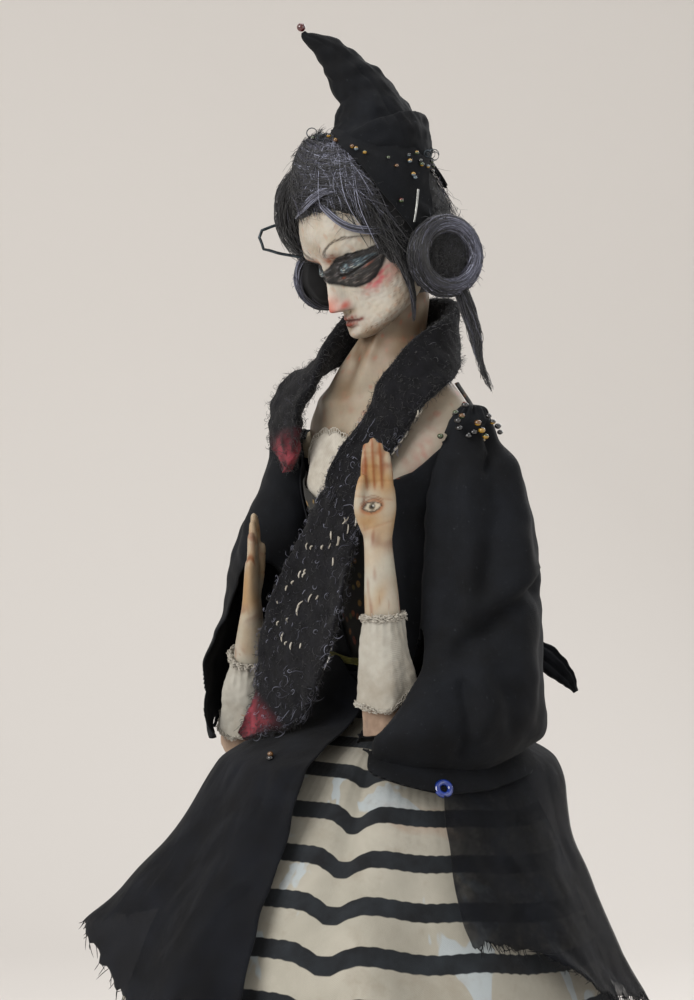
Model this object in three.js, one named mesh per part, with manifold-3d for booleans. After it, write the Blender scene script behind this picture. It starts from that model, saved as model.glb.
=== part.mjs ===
// Art doll of a witch: a painted clay bust and hands on a stuffed wire body, dressed in cloth, felt and
// mohair, standing on a turned wooden base. Millimetres, +Z up, the doll faces -Y, and its left hand is
// on +X. The origin is the centre of the underside of the base.
import * as THREE from "three";
import { mergeVertices } from "three/addons/utils/BufferGeometryUtils.js";
import Module from "manifold-3d";

const wasm = await Module();
wasm.setup();

// Stand
const baseRadius = 70;
const baseHeight = 12;
const baseEdgeRound = 4;
const baseFootInset = 2;
const rodRadius = 2;
const rodClearance = 0.3;
const rodHoleDepth = 8;
const rodReach = 26; // how far the rod goes up into the stuffed body

// Body
const crotchHeight = 206;
const waistHeight = 248;
const waistHalfWidth = 15;
const waistHalfDepth = 12;
const hipHalfWidth = 20;
const hipHalfDepth = 15.5;
const bustSeamRise = 48; // from the waist to where the clay bust sits on the stuffed body
const bustSeamHeight = waistHeight + bustSeamRise;
const chestHalfWidth = 26;
const chestHalfDepth = 18.5;
const shoulderRise = 83; // from the waist to the shoulders
const shoulderHeight = waistHeight + shoulderRise;
const shoulderHalfWidth = 31;
const shoulderHalfDepth = 12.4;
const shoulderSlope = 15; // how far the shoulders rise to the foot of the neck
const neckRadius = 9;
const spineSet = 10.5; // how far the waist and chest stand behind the middle of the base
const spineBendLow = 178;
const spineBendHigh = 243;
const seatGap = 0.3; // between a piece and what it rests against
const bodyEase = 1.2; // how much slimmer the stuffed body is than the form its clothes follow

// Legs and boots
const legSpread = 13;
const hipSpread = 9.5;
const thighRadius = 8.6;
const kneeRadius = 6.6;
const calfRadius = 7;
const ankleRadius = 4.6;
const ankleSet = 4; // how far the ankle stands behind the middle of the base
const bootTopHeight = 60;
const bootShaftRadius = 7.6;
const bootWell = 6; // how deep the leg goes into the boot
const soleThickness = 2;
const heelHeight = 5;
const heelLength = 11;
const footLength = 38;
const footHalfWidth = 6;

// Head
const headHeight = 48;
const headHalfWidth = 17.5;
const faceDepth = 18.5;
const skullDepth = 21;
const headYaw = 20; // degrees to the doll's right
const headPitch = 28; // degrees down
const chinRise = 17.5; // from the foot of the neck to the level of the chin on the head's own axis

// Cloth
const clothWall = 0.7;
const clothGap = 0.55;
const skirtHemHeight = 21;
const skirtHemRadius = 100;
const skirtPleats = 9;
const skirtPleatDepth = 6;
const petticoatLift = 5; // how much shorter the petticoat is than the skirt
const sashHeight = 9;
const sashWall = 0.9;
const ribbonHeight = 1.8;
const ribbonWall = 0.5;
const bowWall = 1.4;

// Arms
const shoulderJointRadius = 5.6;
const elbowJointRadius = 4.2;
const armJointGap = 0.5;
const elbowPlay = 0.8; // room round the elbow in the clay forearm
const armLift = 25; // degrees that an arm lifts forward at the shoulder
const upperArmRadius = 3.9;
const wristRadius = 4.1;
const forearmRadius = 5.2;
const handLength = 30;
const palmHalfWidth = 5.5;
const palmHalfDepth = 2.3;
const fingerRadius = 1.45;
const cuffHeight = 22;
const cuffTopRadius = 6.1;
const cuffFootRadius = 8.9;
const innerSleeveRadius = 7.6;
const innerSleeveHeight = 15;
const cuffTopShare = 0.6; // of the way from elbow to wrist

// Hair, hat and trims
const hairDepth = 4.4;
const hatCapWall = 0.9;
const rollRadius = 11.6;
const rollThickness = 4.4;
const hatFootRadius = 15;
const hatBeadRadius = 1.3;
const wireRadius = 0.45;
const beadRadius = 1.15;
const beadPitch = 5;
const ringBeadRadius = 1.9;
const threadRadius = 0.45;
const stoleHalfThickness = 2.6;

const up = new THREE.Vector3(0, 0, 1);
const rad = THREE.MathUtils.degToRad;
const lerp = THREE.MathUtils.lerp;
const smoothstep = THREE.MathUtils.smoothstep;
const point = (x, y, z) => new THREE.Vector3(x, y, z);
const bump = (x, width) => Math.exp(-((x / width) ** 2));

// Smooth interpolation of rows [key, value, value, ...] given in rising order of the key.
function profile(rows) {
  const last = rows.length - 1;
  return (key) => {
    if (key <= rows[0][0]) return rows[0].slice(1);
    if (key >= rows[last][0]) return rows[last].slice(1);
    let i = 0;
    while (rows[i + 1][0] < key) i++;
    const [a, b] = [rows[i], rows[i + 1]];
    const before = rows[Math.max(i - 1, 0)];
    const after = rows[Math.min(i + 2, last)];
    const span = b[0] - a[0];
    const t = (key - a[0]) / span;
    return a.slice(1).map((value, k) => {
      const c = k + 1;
      const leave = ((b[c] - before[c]) / (b[0] - before[0])) * span;
      const arrive = ((after[c] - a[c]) / (after[0] - a[0])) * span;
      const rise = b[c] - value;
      return value + t * (leave + t * (3 * rise - 2 * leave - arrive + t * (leave + arrive - 2 * rise)));
    });
  };
}

// A closed mesh from points and faces of three or four corners, turned to face out.
function closedMesh(points, faces) {
  const index = [];
  for (const f of faces) {
    index.push(f[0], f[1], f[2]);
    if (f.length === 4) index.push(f[0], f[2], f[3]);
  }
  let volume = 0;
  const cross = new THREE.Vector3();
  for (let i = 0; i < index.length; i += 3) {
    const [a, b, c] = [points[index[i]], points[index[i + 1]], points[index[i + 2]]];
    volume += a.dot(cross.crossVectors(b, c));
  }
  if (volume < 0) index.reverse();
  const geometry = new THREE.BufferGeometry().setFromPoints(points);
  geometry.setIndex(index);
  return geometry;
}

// A solid through rings of equal count, closed by a fan at each end.
function loft(rings) {
  const n = rings[0].length;
  const points = rings.flat();
  const faces = [];
  for (let j = 0; j + 1 < rings.length; j++)
    for (let i = 0; i < n; i++) {
      const k = (i + 1) % n;
      faces.push([j * n + i, j * n + k, (j + 1) * n + k, (j + 1) * n + i]);
    }
  for (const end of [0, rings.length - 1]) {
    const middle = rings[end].reduce((sum, p) => sum.add(p), point(0, 0, 0)).divideScalar(n);
    const hub = points.push(middle) - 1;
    for (let i = 0; i < n; i++) {
      const k = (i + 1) % n;
      faces.push(end ? [end * n + i, end * n + k, hub] : [k, i, hub]);
    }
  }
  return closedMesh(points, faces);
}

// A sheet of cloth with a wall, between surface(u, v) and its offset towards the inside. around closes it
// in u.
function cloth(surface, uSteps, vSteps, wall, around, inside) {
  const step = 1e-3;
  const columns = around ? uSteps : uSteps + 1;
  const outer = [];
  const inner = [];
  for (let j = 0; j <= vSteps; j++)
    for (let i = 0; i < columns; i++) {
      const [u, v] = [i / uSteps, j / vSteps];
      const p = surface(u, v);
      const v0 = Math.min(v, 1 - step);
      const u0 = around ? u : Math.min(u, 1 - step);
      const at = surface(u0, v0);
      const alongU = surface(u0 + step, v0).sub(at);
      const alongV = surface(u0, v0 + step).sub(at);
      const normal = alongU.cross(alongV).normalize();
      if (normal.dot(inside(p).sub(p)) < 0) normal.negate();
      outer.push(p);
      inner.push(p.clone().addScaledVector(normal, wall));
    }
  const count = outer.length;
  const at = (i, j, layer) => layer * count + j * columns + (i % columns);
  const faces = [];
  for (let j = 0; j < vSteps; j++)
    for (let i = 0; i < uSteps; i++) {
      faces.push([at(i, j, 0), at(i + 1, j, 0), at(i + 1, j + 1, 0), at(i, j + 1, 0)]);
      faces.push([at(i, j, 1), at(i, j + 1, 1), at(i + 1, j + 1, 1), at(i + 1, j, 1)]);
    }
  for (let i = 0; i < uSteps; i++) {
    faces.push([at(i, 0, 0), at(i, 0, 1), at(i + 1, 0, 1), at(i + 1, 0, 0)]);
    faces.push([at(i, vSteps, 0), at(i + 1, vSteps, 0), at(i + 1, vSteps, 1), at(i, vSteps, 1)]);
  }
  if (!around)
    for (let j = 0; j < vSteps; j++) {
      faces.push([at(0, j, 0), at(0, j + 1, 0), at(0, j + 1, 1), at(0, j, 1)]);
      faces.push([at(uSteps, j, 0), at(uSteps, j, 1), at(uSteps, j + 1, 1), at(uSteps, j + 1, 0)]);
    }
  return closedMesh([...outer, ...inner], faces);
}

// A ring of a superellipse: half sizes a along side and b along front, rounder at power 2 and squarer above.
function ring(centre, side, front, a, b, sides, power = 2) {
  return Array.from({ length: sides }, (_, i) => {
    const t = (2 * Math.PI * i) / sides;
    const [c, s] = [Math.cos(t), Math.sin(t)];
    const round = (x) => Math.sign(x) * Math.abs(x) ** (2 / power);
    return centre.clone().addScaledVector(side, a * round(c)).addScaledVector(front, b * round(s));
  });
}

// A solid swept through stations { at, a, b } with its b side turned to face the given direction.
function sweep(stations, facing, sides, power = 2) {
  const rings = stations.map((s, i) => {
    const next = stations[Math.min(i + 1, stations.length - 1)].at;
    const before = stations[Math.max(i - 1, 0)].at;
    const along = next.clone().sub(before).normalize();
    const front = facing(s, i).clone();
    front.addScaledVector(along, -front.dot(along)).normalize();
    const side = along.clone().cross(front);
    return ring(s.at, side, front, s.a, s.b, sides, power);
  });
  return loft(rings);
}

// Smooth stations between the given ones, rows of [x, y, z, a, b].
function along(rows, count) {
  const curve = profile(rows.map((row, i) => [i, ...row]));
  return Array.from({ length: count }, (_, i) => {
    const [x, y, z, a, b] = curve((i / (count - 1)) * (rows.length - 1));
    return { at: point(x, y, z), a, b };
  });
}

// A profile of [radius, height] turned about Z.
function turned(outline, segments) {
  const lathe = new THREE.LatheGeometry(outline.map(([r, z]) => new THREE.Vector2(r, z)), segments);
  lathe.rotateX(Math.PI / 2);
  return welded(lathe);
}

// Position only, with shared corners merged and the faces pointing out.
function welded(geometry) {
  const bare = geometry.clone();
  bare.deleteAttribute("normal");
  bare.deleteAttribute("uv");
  const merged = mergeVertices(bare, 1e-4);
  const position = merged.getAttribute("position");
  const points = Array.from({ length: position.count }, (_, i) => point().fromBufferAttribute(position, i));
  const index = merged.index.array;
  const faces = [];
  for (let i = 0; i < index.length; i += 3)
    if (new Set(index.slice(i, i + 3)).size === 3) faces.push([...index.slice(i, i + 3)]);
  return closedMesh(points, faces);
}

// Booleans
function solid(geometry) {
  return new wasm.Manifold(
    new wasm.Mesh({
      numProp: 3,
      vertProperties: new Float32Array(geometry.getAttribute("position").array),
      triVerts: new Uint32Array(geometry.index.array),
    }),
  );
}
function fromSolid(body) {
  const mesh = body.getMesh();
  const geometry = new THREE.BufferGeometry();
  geometry.setAttribute("position", new THREE.BufferAttribute(new Float32Array(mesh.vertProperties), 3));
  geometry.setIndex(new THREE.BufferAttribute(new Uint32Array(mesh.triVerts), 1));
  return geometry;
}
// The largest separate body that is left when others are cut away.
function cut(geometry, ...others) {
  let body = solid(geometry);
  for (const other of others) body = body.subtract(solid(other));
  return fromSolid(largest(body));
}
function largest(body) {
  return body.decompose().reduce((a, b) => (b.volume() > a.volume() ? b : a));
}
function join(...parts) {
  return fromSolid(parts.map(solid).reduce((a, b) => a.add(b)));
}
function overlap(a, b) {
  return fromSolid(largest(solid(a).intersect(solid(b))));
}
function ball(centre, radius, around = 12, rows = 8) {
  return welded(new THREE.SphereGeometry(radius, around, rows)).translate(...centre);
}
function rodBetween(a, b, radius, sides = 8) {
  const axis = b.clone().sub(a);
  const bar = new THREE.CylinderGeometry(radius, radius, axis.length(), sides);
  bar.applyQuaternion(new THREE.Quaternion().setFromUnitVectors(point(0, 1, 0), axis.clone().normalize()));
  return welded(bar).translate(...a.clone().add(b).divideScalar(2));
}

// The body's form. Angles are in degrees from the front, positive to the doll's left.
const turnFromFront = (angle) => ((((angle + 180) % 360) + 360) % 360) - 180;
const outwards = (angle) => point(Math.sin(rad(angle)), -Math.cos(rad(angle)), 0);
const neckFoot = shoulderHeight + shoulderSlope;
const neckTop = neckFoot + chinRise + 7;
function spineAt(z) {
  const forward = 1.5 * smoothstep(z, bustSeamHeight, neckFoot);
  return spineSet * smoothstep(z, spineBendLow, spineBendHigh) - forward;
}
const torsoSize = profile([
  [crotchHeight, hipHalfWidth * 0.62, hipHalfDepth * 0.7],
  [crotchHeight + 12, hipHalfWidth, hipHalfDepth],
  [waistHeight - 12, hipHalfWidth * 0.92, hipHalfDepth * 0.95],
  [waistHeight, waistHalfWidth, waistHalfDepth],
  [waistHeight + 22, waistHalfWidth * 1.18, waistHalfDepth * 1.12],
  [bustSeamHeight, chestHalfWidth * 0.9, chestHalfDepth * 0.94],
  [bustSeamHeight + 16, chestHalfWidth, chestHalfDepth],
  [shoulderHeight - 8, shoulderHalfWidth * 0.93, chestHalfDepth * 0.84],
  [shoulderHeight, shoulderHalfWidth, shoulderHalfDepth],
  [shoulderHeight + shoulderSlope * 0.5, shoulderHalfWidth * 0.86, shoulderHalfDepth * 0.96],
  [neckFoot, shoulderHalfWidth * 0.62, shoulderHalfDepth * 0.88],
  [neckFoot + 6, neckRadius * 1.5, neckRadius * 1.13],
  [neckFoot + 12, neckRadius * 1.06, neckRadius * 1.03],
  [neckTop, neckRadius * 0.95, neckRadius * 0.95],
]);
function torsoCentre(z) {
  const lean = smoothstep(z, neckFoot, neckTop);
  return point(3.2 * lean, spineAt(z) + 1.4 * lean, z);
}
// The breasts, the collarbones and the hollow above the breastbone.
function chestRelief(angle, z) {
  const side = Math.abs(angle);
  const breast = 2.6 * bump(side - 33, 24) * bump(z - bustSeamHeight - 15, 10);
  const collarHeight = shoulderHeight + 5 + 0.05 * side;
  const collarbone = 1.1 * bump(z - collarHeight, 2.4) * smoothstep(side, 6, 20) * bump(side - 35, 40);
  const hollow = -1.6 * bump(angle, 12) * bump(z - shoulderHeight - 9, 4);
  return breast + collarbone + hollow;
}
function torsoPoint(angle, z, grow = 0) {
  const [a, b] = torsoSize(z);
  const t = rad(angle);
  const out = grow + chestRelief(turnFromFront(angle), z);
  return torsoCentre(z).add(point((a + out) * Math.sin(t), -(b + out) * Math.cos(t), 0));
}
function torsoSolid(zLow, zHigh, grow, around = 28, rows = 12) {
  const rings = Array.from({ length: rows + 1 }, (_, j) => {
    const z = lerp(zLow, zHigh, j / rows);
    return Array.from({ length: around }, (_, i) => torsoPoint((360 * i) / around, z, grow));
  });
  return loft(rings);
}
const layerInner = (n) => clothGap + (n - 1) * (clothWall + clothGap);
const layerOuter = (n) => layerInner(n) + clothWall;
const coatLayer = 3;
const bodyUnit = shoulderRise / 83; // the tables of arms, sleeves and stole are for a rise of 83
const headUnit = headHeight / 48; // the tables of the head and hair are for a head 48 high

// The head's own frame: forward, up and to its left, from a point of its axis level with the chin.
const headForward = point(-Math.sin(rad(headYaw)), -Math.cos(rad(headYaw)), 0)
  .multiplyScalar(Math.cos(rad(headPitch)))
  .addScaledVector(up, -Math.sin(rad(headPitch)));
const headLeft = point(Math.cos(rad(headYaw)), -Math.sin(rad(headYaw)), 0);
const headUp = headForward.clone().cross(headLeft);
const headBase = torsoCentre(neckFoot + chinRise).add(point(1.4, 0.9, 0));
function onHead(left, forward, height) {
  return headBase
    .clone()
    .addScaledVector(headLeft, left)
    .addScaledVector(headForward, forward)
    .addScaledVector(headUp, height);
}
function headSpot(left, forward, height) {
  return onHead(left * headUnit, forward * headUnit, height * headUnit);
}
// By share of the head's height: how far the face, the back and the sides stand from its axis, and how
// pointed the front half is in plan.
const headSize = profile([
  [0, 0.8, -0.43, 0.17, 1.3],
  [0.025, 0.95, -0.24, 0.36, 1.4],
  [0.07, 1, 0.05, 0.6, 1.5],
  [0.125, 0.96, 0.29, 0.8, 1.5],
  [0.2, 0.93, 0.5, 0.87, 1.4],
  [0.3, 0.91, 0.69, 0.91, 1.25],
  [0.45, 0.9, 0.88, 0.95, 1.02],
  [0.6, 0.985, 0.98, 0.99, 0.94],
  [0.72, 1, 1, 1, 0.92],
  [0.83, 0.885, 0.9, 0.91, 0.92],
  [0.917, 0.68, 0.69, 0.71, 0.94],
  [0.975, 0.4, 0.38, 0.42, 0.97],
  [1, 0.12, 0.12, 0.12, 1],
]);
// Nose, eyes, mouth, chin and cheeks, as a height over the plain face, in head units.
function faceRelief(left, height) {
  const side = Math.abs(left);
  const noseRun = THREE.MathUtils.clamp((26 - height) / 13.5, 0, 1);
  const noseFoot = smoothstep(height, 9.6, 12) * smoothstep(28 - height, 0, 4);
  const nose = noseFoot * (0.9 + 4.2 * noseRun ** 1.15) * bump(left, 1.5 + 1.3 * noseRun);
  const wings = 1.3 * bump(side - 2.6, 1.3) * bump(height - 11.6, 1.5);
  const socket = -2.3 * bump(side - 7.4, 4.6) * bump(height - 23.8, 3.2);
  const lid = 2.2 * bump(side - 8, 4.2) * bump(height - 22.2, 2.4);
  const brow = 0.9 * bump(side - 7, 5) * bump(height - 28.6, 2.2);
  const lips = 1.1 * bump(left, 3.2) * (bump(height - 8, 0.9) + bump(height - 6, 0.95));
  const mouthLine = -0.5 * bump(left, 3.8) * bump(height - 7, 0.5);
  const underLip = -0.9 * bump(left, 3) * bump(height - 4.5, 0.9);
  const chin = 0.5 * bump(left, 3.4) * bump(height - 2.6, 1.6);
  const cheek = 1.1 * bump(side - 10, 3.6) * bump(height - 17.5, 4);
  const hollow = -0.8 * bump(side - 9, 3.6) * bump(height - 9.6, 3.6);
  return nose + wings + socket + lid + brow + lips + mouthLine + underLip + chin + cheek + hollow;
}
function headPoint(turn, share, grow = 0) {
  const [face, back, wide, pointed] = headSize(share);
  const [c, s] = [Math.cos(turn), Math.sin(turn)];
  const middle = (faceDepth * face - skullDepth * back) / 2;
  const half = (faceDepth * face + skullDepth * back) / 2;
  const front = smoothstep(c, -0.1, 0.5);
  const left = (headHalfWidth * wide + grow) * Math.sign(s) * Math.abs(s) ** lerp(0.95, pointed, front);
  const spread = (share < 0.5 ? -grow : grow) * (1 - Math.abs(Math.sin(Math.PI * share)));
  const height = headHeight * share + spread;
  const relief = front * headUnit * faceRelief(left / headUnit, height / headUnit);
  return onHead(left, middle + (half + grow) * c + relief, height);
}
// The face has more steps than the back of the skull.
function headSolid(grow, around = 32, rows = 24) {
  const rings = Array.from({ length: rows + 1 }, (_, j) => {
    const even = j / rows;
    const share = even - 0.055 * Math.sin(2 * Math.PI * even);
    return Array.from({ length: around }, (_, i) => {
      const t = (2 * Math.PI * i) / around;
      return headPoint(t - 0.42 * Math.sin(t), share, grow);
    });
  });
  return loft(rings);
}

// The doll's three-quarter directions, which its sleeves, hat and loose hair follow.
const toRight = point(Math.SQRT1_2, Math.SQRT1_2, 0);
const toNear = point(Math.SQRT1_2, -Math.SQRT1_2, 0);
function shifted(from, right, near, rise) {
  return from.clone().addScaledVector(toRight, right).addScaledVector(toNear, near).addScaledVector(up, rise);
}

// Shoulders, elbows and wrists. A palm faces the given way, with its thumb on the given side, and the upper
// arm hangs behind the elbow before it comes forward to it.
const fromWaist = (x, y, rise) => point(x, y, rise).multiplyScalar(bodyUnit).add(point(0, 0, waistHeight));
const arms = {
  left: {
    shoulder: point(shoulderHalfWidth + 1, spineSet - 0.5, shoulderHeight - 6),
    elbow: fromWaist(22.2, -16.4, -7),
    wrist: fromWaist(20.9, -20.2, 48),
    hang: point(5, 6, -50).multiplyScalar(bodyUnit),
    bend: point(13, 30, 5).multiplyScalar(bodyUnit),
    palm: point(0.67, -0.74, 0),
    thumbSide: 1,
  },
  right: {
    shoulder: point(-shoulderHalfWidth - 1, spineSet - 0.5, shoulderHeight - 7),
    elbow: fromWaist(-50, -2, -10),
    wrist: fromWaist(-33.7, -16.2, 26),
    hang: point(-6, 4, -45).multiplyScalar(bodyUnit),
    bend: point(-6, 12, 12).multiplyScalar(bodyUnit),
    palm: point(0.86, 0.5, 0),
    thumbSide: -1,
  },
};
for (const arm of Object.values(arms)) {
  arm.reach = arm.elbow.distanceTo(arm.wrist);
  arm.axis = arm.wrist.clone().sub(arm.elbow).divideScalar(arm.reach);
  arm.palm.addScaledVector(arm.axis, -arm.palm.dot(arm.axis)).normalize();
  arm.side = arm.palm.clone().cross(arm.axis);
  arm.lift = up.clone().lerp(arm.axis, 0.3).normalize();
}
const alongArm = (arm, distance) => arm.elbow.clone().addScaledVector(arm.axis, distance);
function nearestOnArm(arm) {
  return (p) => alongArm(arm, p.clone().sub(arm.elbow).dot(arm.axis));
}

// Stand: a turned disc with a blind hole for the rod, and the rod up into the stuffed body.
function makeBase() {
  const hole = rodRadius + rodClearance;
  const floor = baseHeight - rodHoleDepth;
  const edge = [0, 1, 2, 3].map((i) => {
    const t = (i / 3) * (Math.PI / 2);
    const out = baseRadius - baseEdgeRound + baseEdgeRound * Math.cos(t);
    return [out, baseHeight - baseEdgeRound + baseEdgeRound * Math.sin(t)];
  });
  const foot = [baseRadius - baseFootInset, 0];
  const rim = [baseRadius, baseFootInset];
  return turned([[0, 0], foot, rim, ...edge, [hole, baseHeight], [hole, floor], [0, floor]], 26);
}
const rodTop = crotchHeight + rodReach;
function makeRod() {
  const low = point(0, 0, baseHeight - rodHoleDepth + seatGap);
  return rodBetween(low, point(0, 0, rodTop), rodRadius, 12);
}

// Stuffed body, with a socket for the rod.
function makeTorsoCore() {
  const mouth = point(0, 0, crotchHeight - 5);
  const socket = rodBetween(mouth, point(0, 0, rodTop + seatGap), rodRadius + rodClearance, 12);
  return cut(torsoSolid(crotchHeight, bustSeamHeight - seatGap, -bodyEase, 14, 7), socket);
}

// Legs, cut to sit under the body and in the tops of the boots.
const soleRise = (y) => smoothstep(y, ankleSet - 10, ankleSet);
const soleTop = (y) => baseHeight + lerp(soleThickness, heelHeight, soleRise(y));
const footBack = ankleSet + heelLength - 1;
const footToe = footBack - footLength;
function makeLeg(side) {
  const ankleHeight = bootTopHeight - bootWell + seatGap * 1.5;
  const hip = point(side * hipSpread, spineAt(crotchHeight), crotchHeight + 6);
  const knee = point(side * lerp(hipSpread, legSpread, 0.5), 0, lerp(bootTopHeight, crotchHeight, 0.38));
  const ankle = point(side * legSpread, ankleSet, ankleHeight);
  const rows = [
    [...hip, thighRadius, thighRadius],
    [...hip.clone().lerp(knee, 0.45), thighRadius * 0.92, thighRadius * 0.95],
    [...knee, kneeRadius, kneeRadius],
    [...knee.clone().lerp(ankle, 0.4), calfRadius, calfRadius],
    [...ankle, ankleRadius * 1.1, ankleRadius * 1.1],
  ];
  const leg = sweep(along(rows, 7), () => point(0, -1, 0), 9);
  const rod = rodBetween(point(0, 0, baseHeight), point(0, 0, rodTop), rodRadius + rodClearance);
  return cut(leg, torsoSolid(crotchHeight - seatGap, waistHeight, seatGap, 16, 6), rod);
}
function makeBoot(side) {
  const x = side * legSpread;
  const shaft = bootShaftRadius;
  const sole = baseHeight + soleThickness;
  const instep = baseHeight + heelHeight;
  const rows = [
    [x, ankleSet, bootTopHeight, shaft, shaft],
    [x, ankleSet, lerp(instep, bootTopHeight, 0.62), shaft * 0.9, shaft * 0.92],
    [x, ankleSet - 0.5, instep + 16, shaft * 0.78, shaft * 0.86],
    [x, ankleSet - 4, instep + 8, shaft * 0.8, shaft * 1.05],
    [x, lerp(ankleSet, footToe, 0.4), sole + 6.5, footHalfWidth, shaft * 0.8],
    [x, lerp(ankleSet, footToe, 0.7), sole + 4, footHalfWidth, shaft * 0.58],
    [x, footToe + 3, sole + 2.2, footHalfWidth * 0.8, shaft * 0.36],
    [x, footToe, sole + 1.2, footHalfWidth * 0.3, shaft * 0.12],
  ];
  const upper = sweep(along(rows, 8), () => point(0, -1, 0.6), 8, 2.3);
  const heel = sweep(
    [
      { at: point(x, footBack - 7, baseHeight), a: footHalfWidth * 0.85, b: 7 },
      { at: point(x, footBack - 8.5, instep + 17), a: shaft * 0.75, b: 6.4 },
    ],
    () => point(0, -1, 0),
    8,
  );
  const wellFloor = point(x, ankleSet, bootTopHeight - bootWell);
  const well = rodBetween(wellFloor, point(x, ankleSet, bootTopHeight + 5), shaft - 1.4, 10);
  return cut(join(upper, heel), well, soleBlock(side, baseHeight - 20, seatGap));
}
// Everything under the sole's top line, from a side outline extruded across the foot.
function acrossFoot(outline, side) {
  const width = footHalfWidth * 4;
  const block = new THREE.ExtrudeGeometry(outline, { depth: width, bevelEnabled: false, curveSegments: 4 });
  const turn = new THREE.Matrix4().makeBasis(point(0, 1, 0), point(0, 0, 1), point(1, 0, 0));
  return welded(block.applyMatrix4(turn).translate(side * legSpread - width / 2, 0, 0));
}
function soleBlock(side, bottom, grow) {
  const outline = new THREE.Shape();
  const back = footBack + 3;
  const toe = footToe - 6;
  outline.moveTo(back, bottom);
  outline.lineTo(back, soleTop(back) + grow);
  for (const step of [0, 2.5, 5, 7.5, 10]) outline.lineTo(ankleSet - step, soleTop(ankleSet - step) + grow);
  outline.lineTo(toe, soleTop(toe) + grow);
  outline.lineTo(toe, bottom);
  outline.closePath();
  return acrossFoot(outline, side);
}
// Outsole with its heel: the foot's outline as high as the top line, less the arch.
function makeSole(side) {
  const x = side * legSpread;
  const wide = footHalfWidth;
  const toe = footToe + 1;
  const heelCentre = footBack - 7;
  const waist = footBack - 14;
  const ball = lerp(footBack, footToe, 0.72);
  const outline = new THREE.Shape();
  outline.absellipse(x, heelCentre, wide * 0.95, 7, 0, Math.PI);
  outline.bezierCurveTo(x - wide, waist, x - wide * 1.15, ball, x - wide * 0.5, toe);
  outline.quadraticCurveTo(x, toe - 3, x + wide * 0.5, toe);
  outline.bezierCurveTo(x + wide * 1.15, ball, x + wide, waist, x + wide * 0.95, heelCentre);
  const tall = new THREE.ExtrudeGeometry(outline, { depth: 12, bevelEnabled: false, curveSegments: 5 });
  tall.translate(0, 0, baseHeight + seatGap);
  const heelFront = footBack - heelLength;
  const arch = new THREE.Shape();
  arch.moveTo(heelFront, baseHeight - 2);
  arch.lineTo(heelFront - 0.6, soleTop(heelFront) - soleThickness * 0.9);
  arch.quadraticCurveTo(heelFront - 7, baseHeight + 1.2, heelFront - 13, baseHeight - 2);
  return cut(overlap(welded(tall), soleBlock(side, baseHeight, 0)), acrossFoot(arch, side));
}

// Clay bust: chest, neck and head in one casting, with a hollow at each shoulder for the arm.
function makeBust() {
  const chest = torsoSolid(bustSeamHeight, neckTop, 0, 24, 13);
  const socketRadius = shoulderJointRadius + armJointGap + 0.2;
  const sockets = Object.values(arms).map((arm) => ball(arm.shoulder, socketRadius, 8, 6));
  return cut(join(chest, headSolid(0, 28, 20)), ...sockets);
}

// Skirt and coat tails share one flared form.
const share = (part) => lerp(skirtHemHeight, waistHeight, part);
const skirtSize = profile([
  [share(0), skirtHemRadius],
  [share(0.09), skirtHemRadius * 0.985],
  [share(0.27), skirtHemRadius * 0.93],
  [share(0.44), skirtHemRadius * 0.845],
  [share(0.605), skirtHemRadius * 0.73],
  [share(0.77), skirtHemRadius * 0.585],
  [share(0.87), skirtHemRadius * 0.455],
  [share(0.94), skirtHemRadius * 0.33],
  [share(1), waistHalfWidth + layerOuter(1)],
]);
function flareRadius(angle, z, extra) {
  const [radius] = skirtSize(z);
  const t = rad(angle);
  const a = waistHalfWidth + layerOuter(1);
  const b = waistHalfDepth + layerOuter(1);
  const waist = (a * b) / Math.hypot(b * Math.sin(t), a * Math.cos(t));
  return lerp(radius, waist, smoothstep(z, waistHeight - 18, waistHeight)) + extra;
}
const flarePoint = (angle, z, radius) => point(0, spineAt(z), z).addScaledVector(outwards(angle), radius);
const onSpine = (p) => point(0, spineAt(p.z), p.z);
function pleatDepth(z) {
  return skirtPleatDepth * (1 - smoothstep(z, skirtHemHeight, waistHeight)) ** 0.7 + 0.15;
}
function pleat(angle, z) {
  const t = rad(angle);
  const broad = 0.62 * Math.cos(skirtPleats * t + 0.6 + 0.3 * Math.sin(2 * t));
  return pleatDepth(z) * (broad + 0.38 * Math.cos(14 * t + 2.1)) - tuck(angle, z);
}
// One deep gather at the front left, under the hand.
function tuck(angle, z) {
  return 3.2 * bump(turnFromFront(angle) - 34, 5) * bump(z - waistHeight + 32, 26);
}
function makeSkirt() {
  const surface = (u, v) => {
    const z = lerp(waistHeight - 1, skirtHemHeight, (1 - v) ** 1.8);
    return flarePoint(360 * u, z, flareRadius(360 * u, z, pleat(360 * u, z)));
  };
  return cloth(surface, 42, 7, clothWall, true, onSpine);
}
const petticoatTop = waistHeight - 18;
function makePetticoat() {
  const inside = (z) => pleatDepth(z) + clothWall + 4.4 + tuck(34, z);
  const surface = (u, v) => {
    const z = lerp(skirtHemHeight + petticoatLift, petticoatTop, v);
    return flarePoint(360 * u, z, flareRadius(360 * u, z, -inside(z)));
  };
  return cloth(surface, 16, 3, clothWall, true, onSpine);
}

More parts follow.
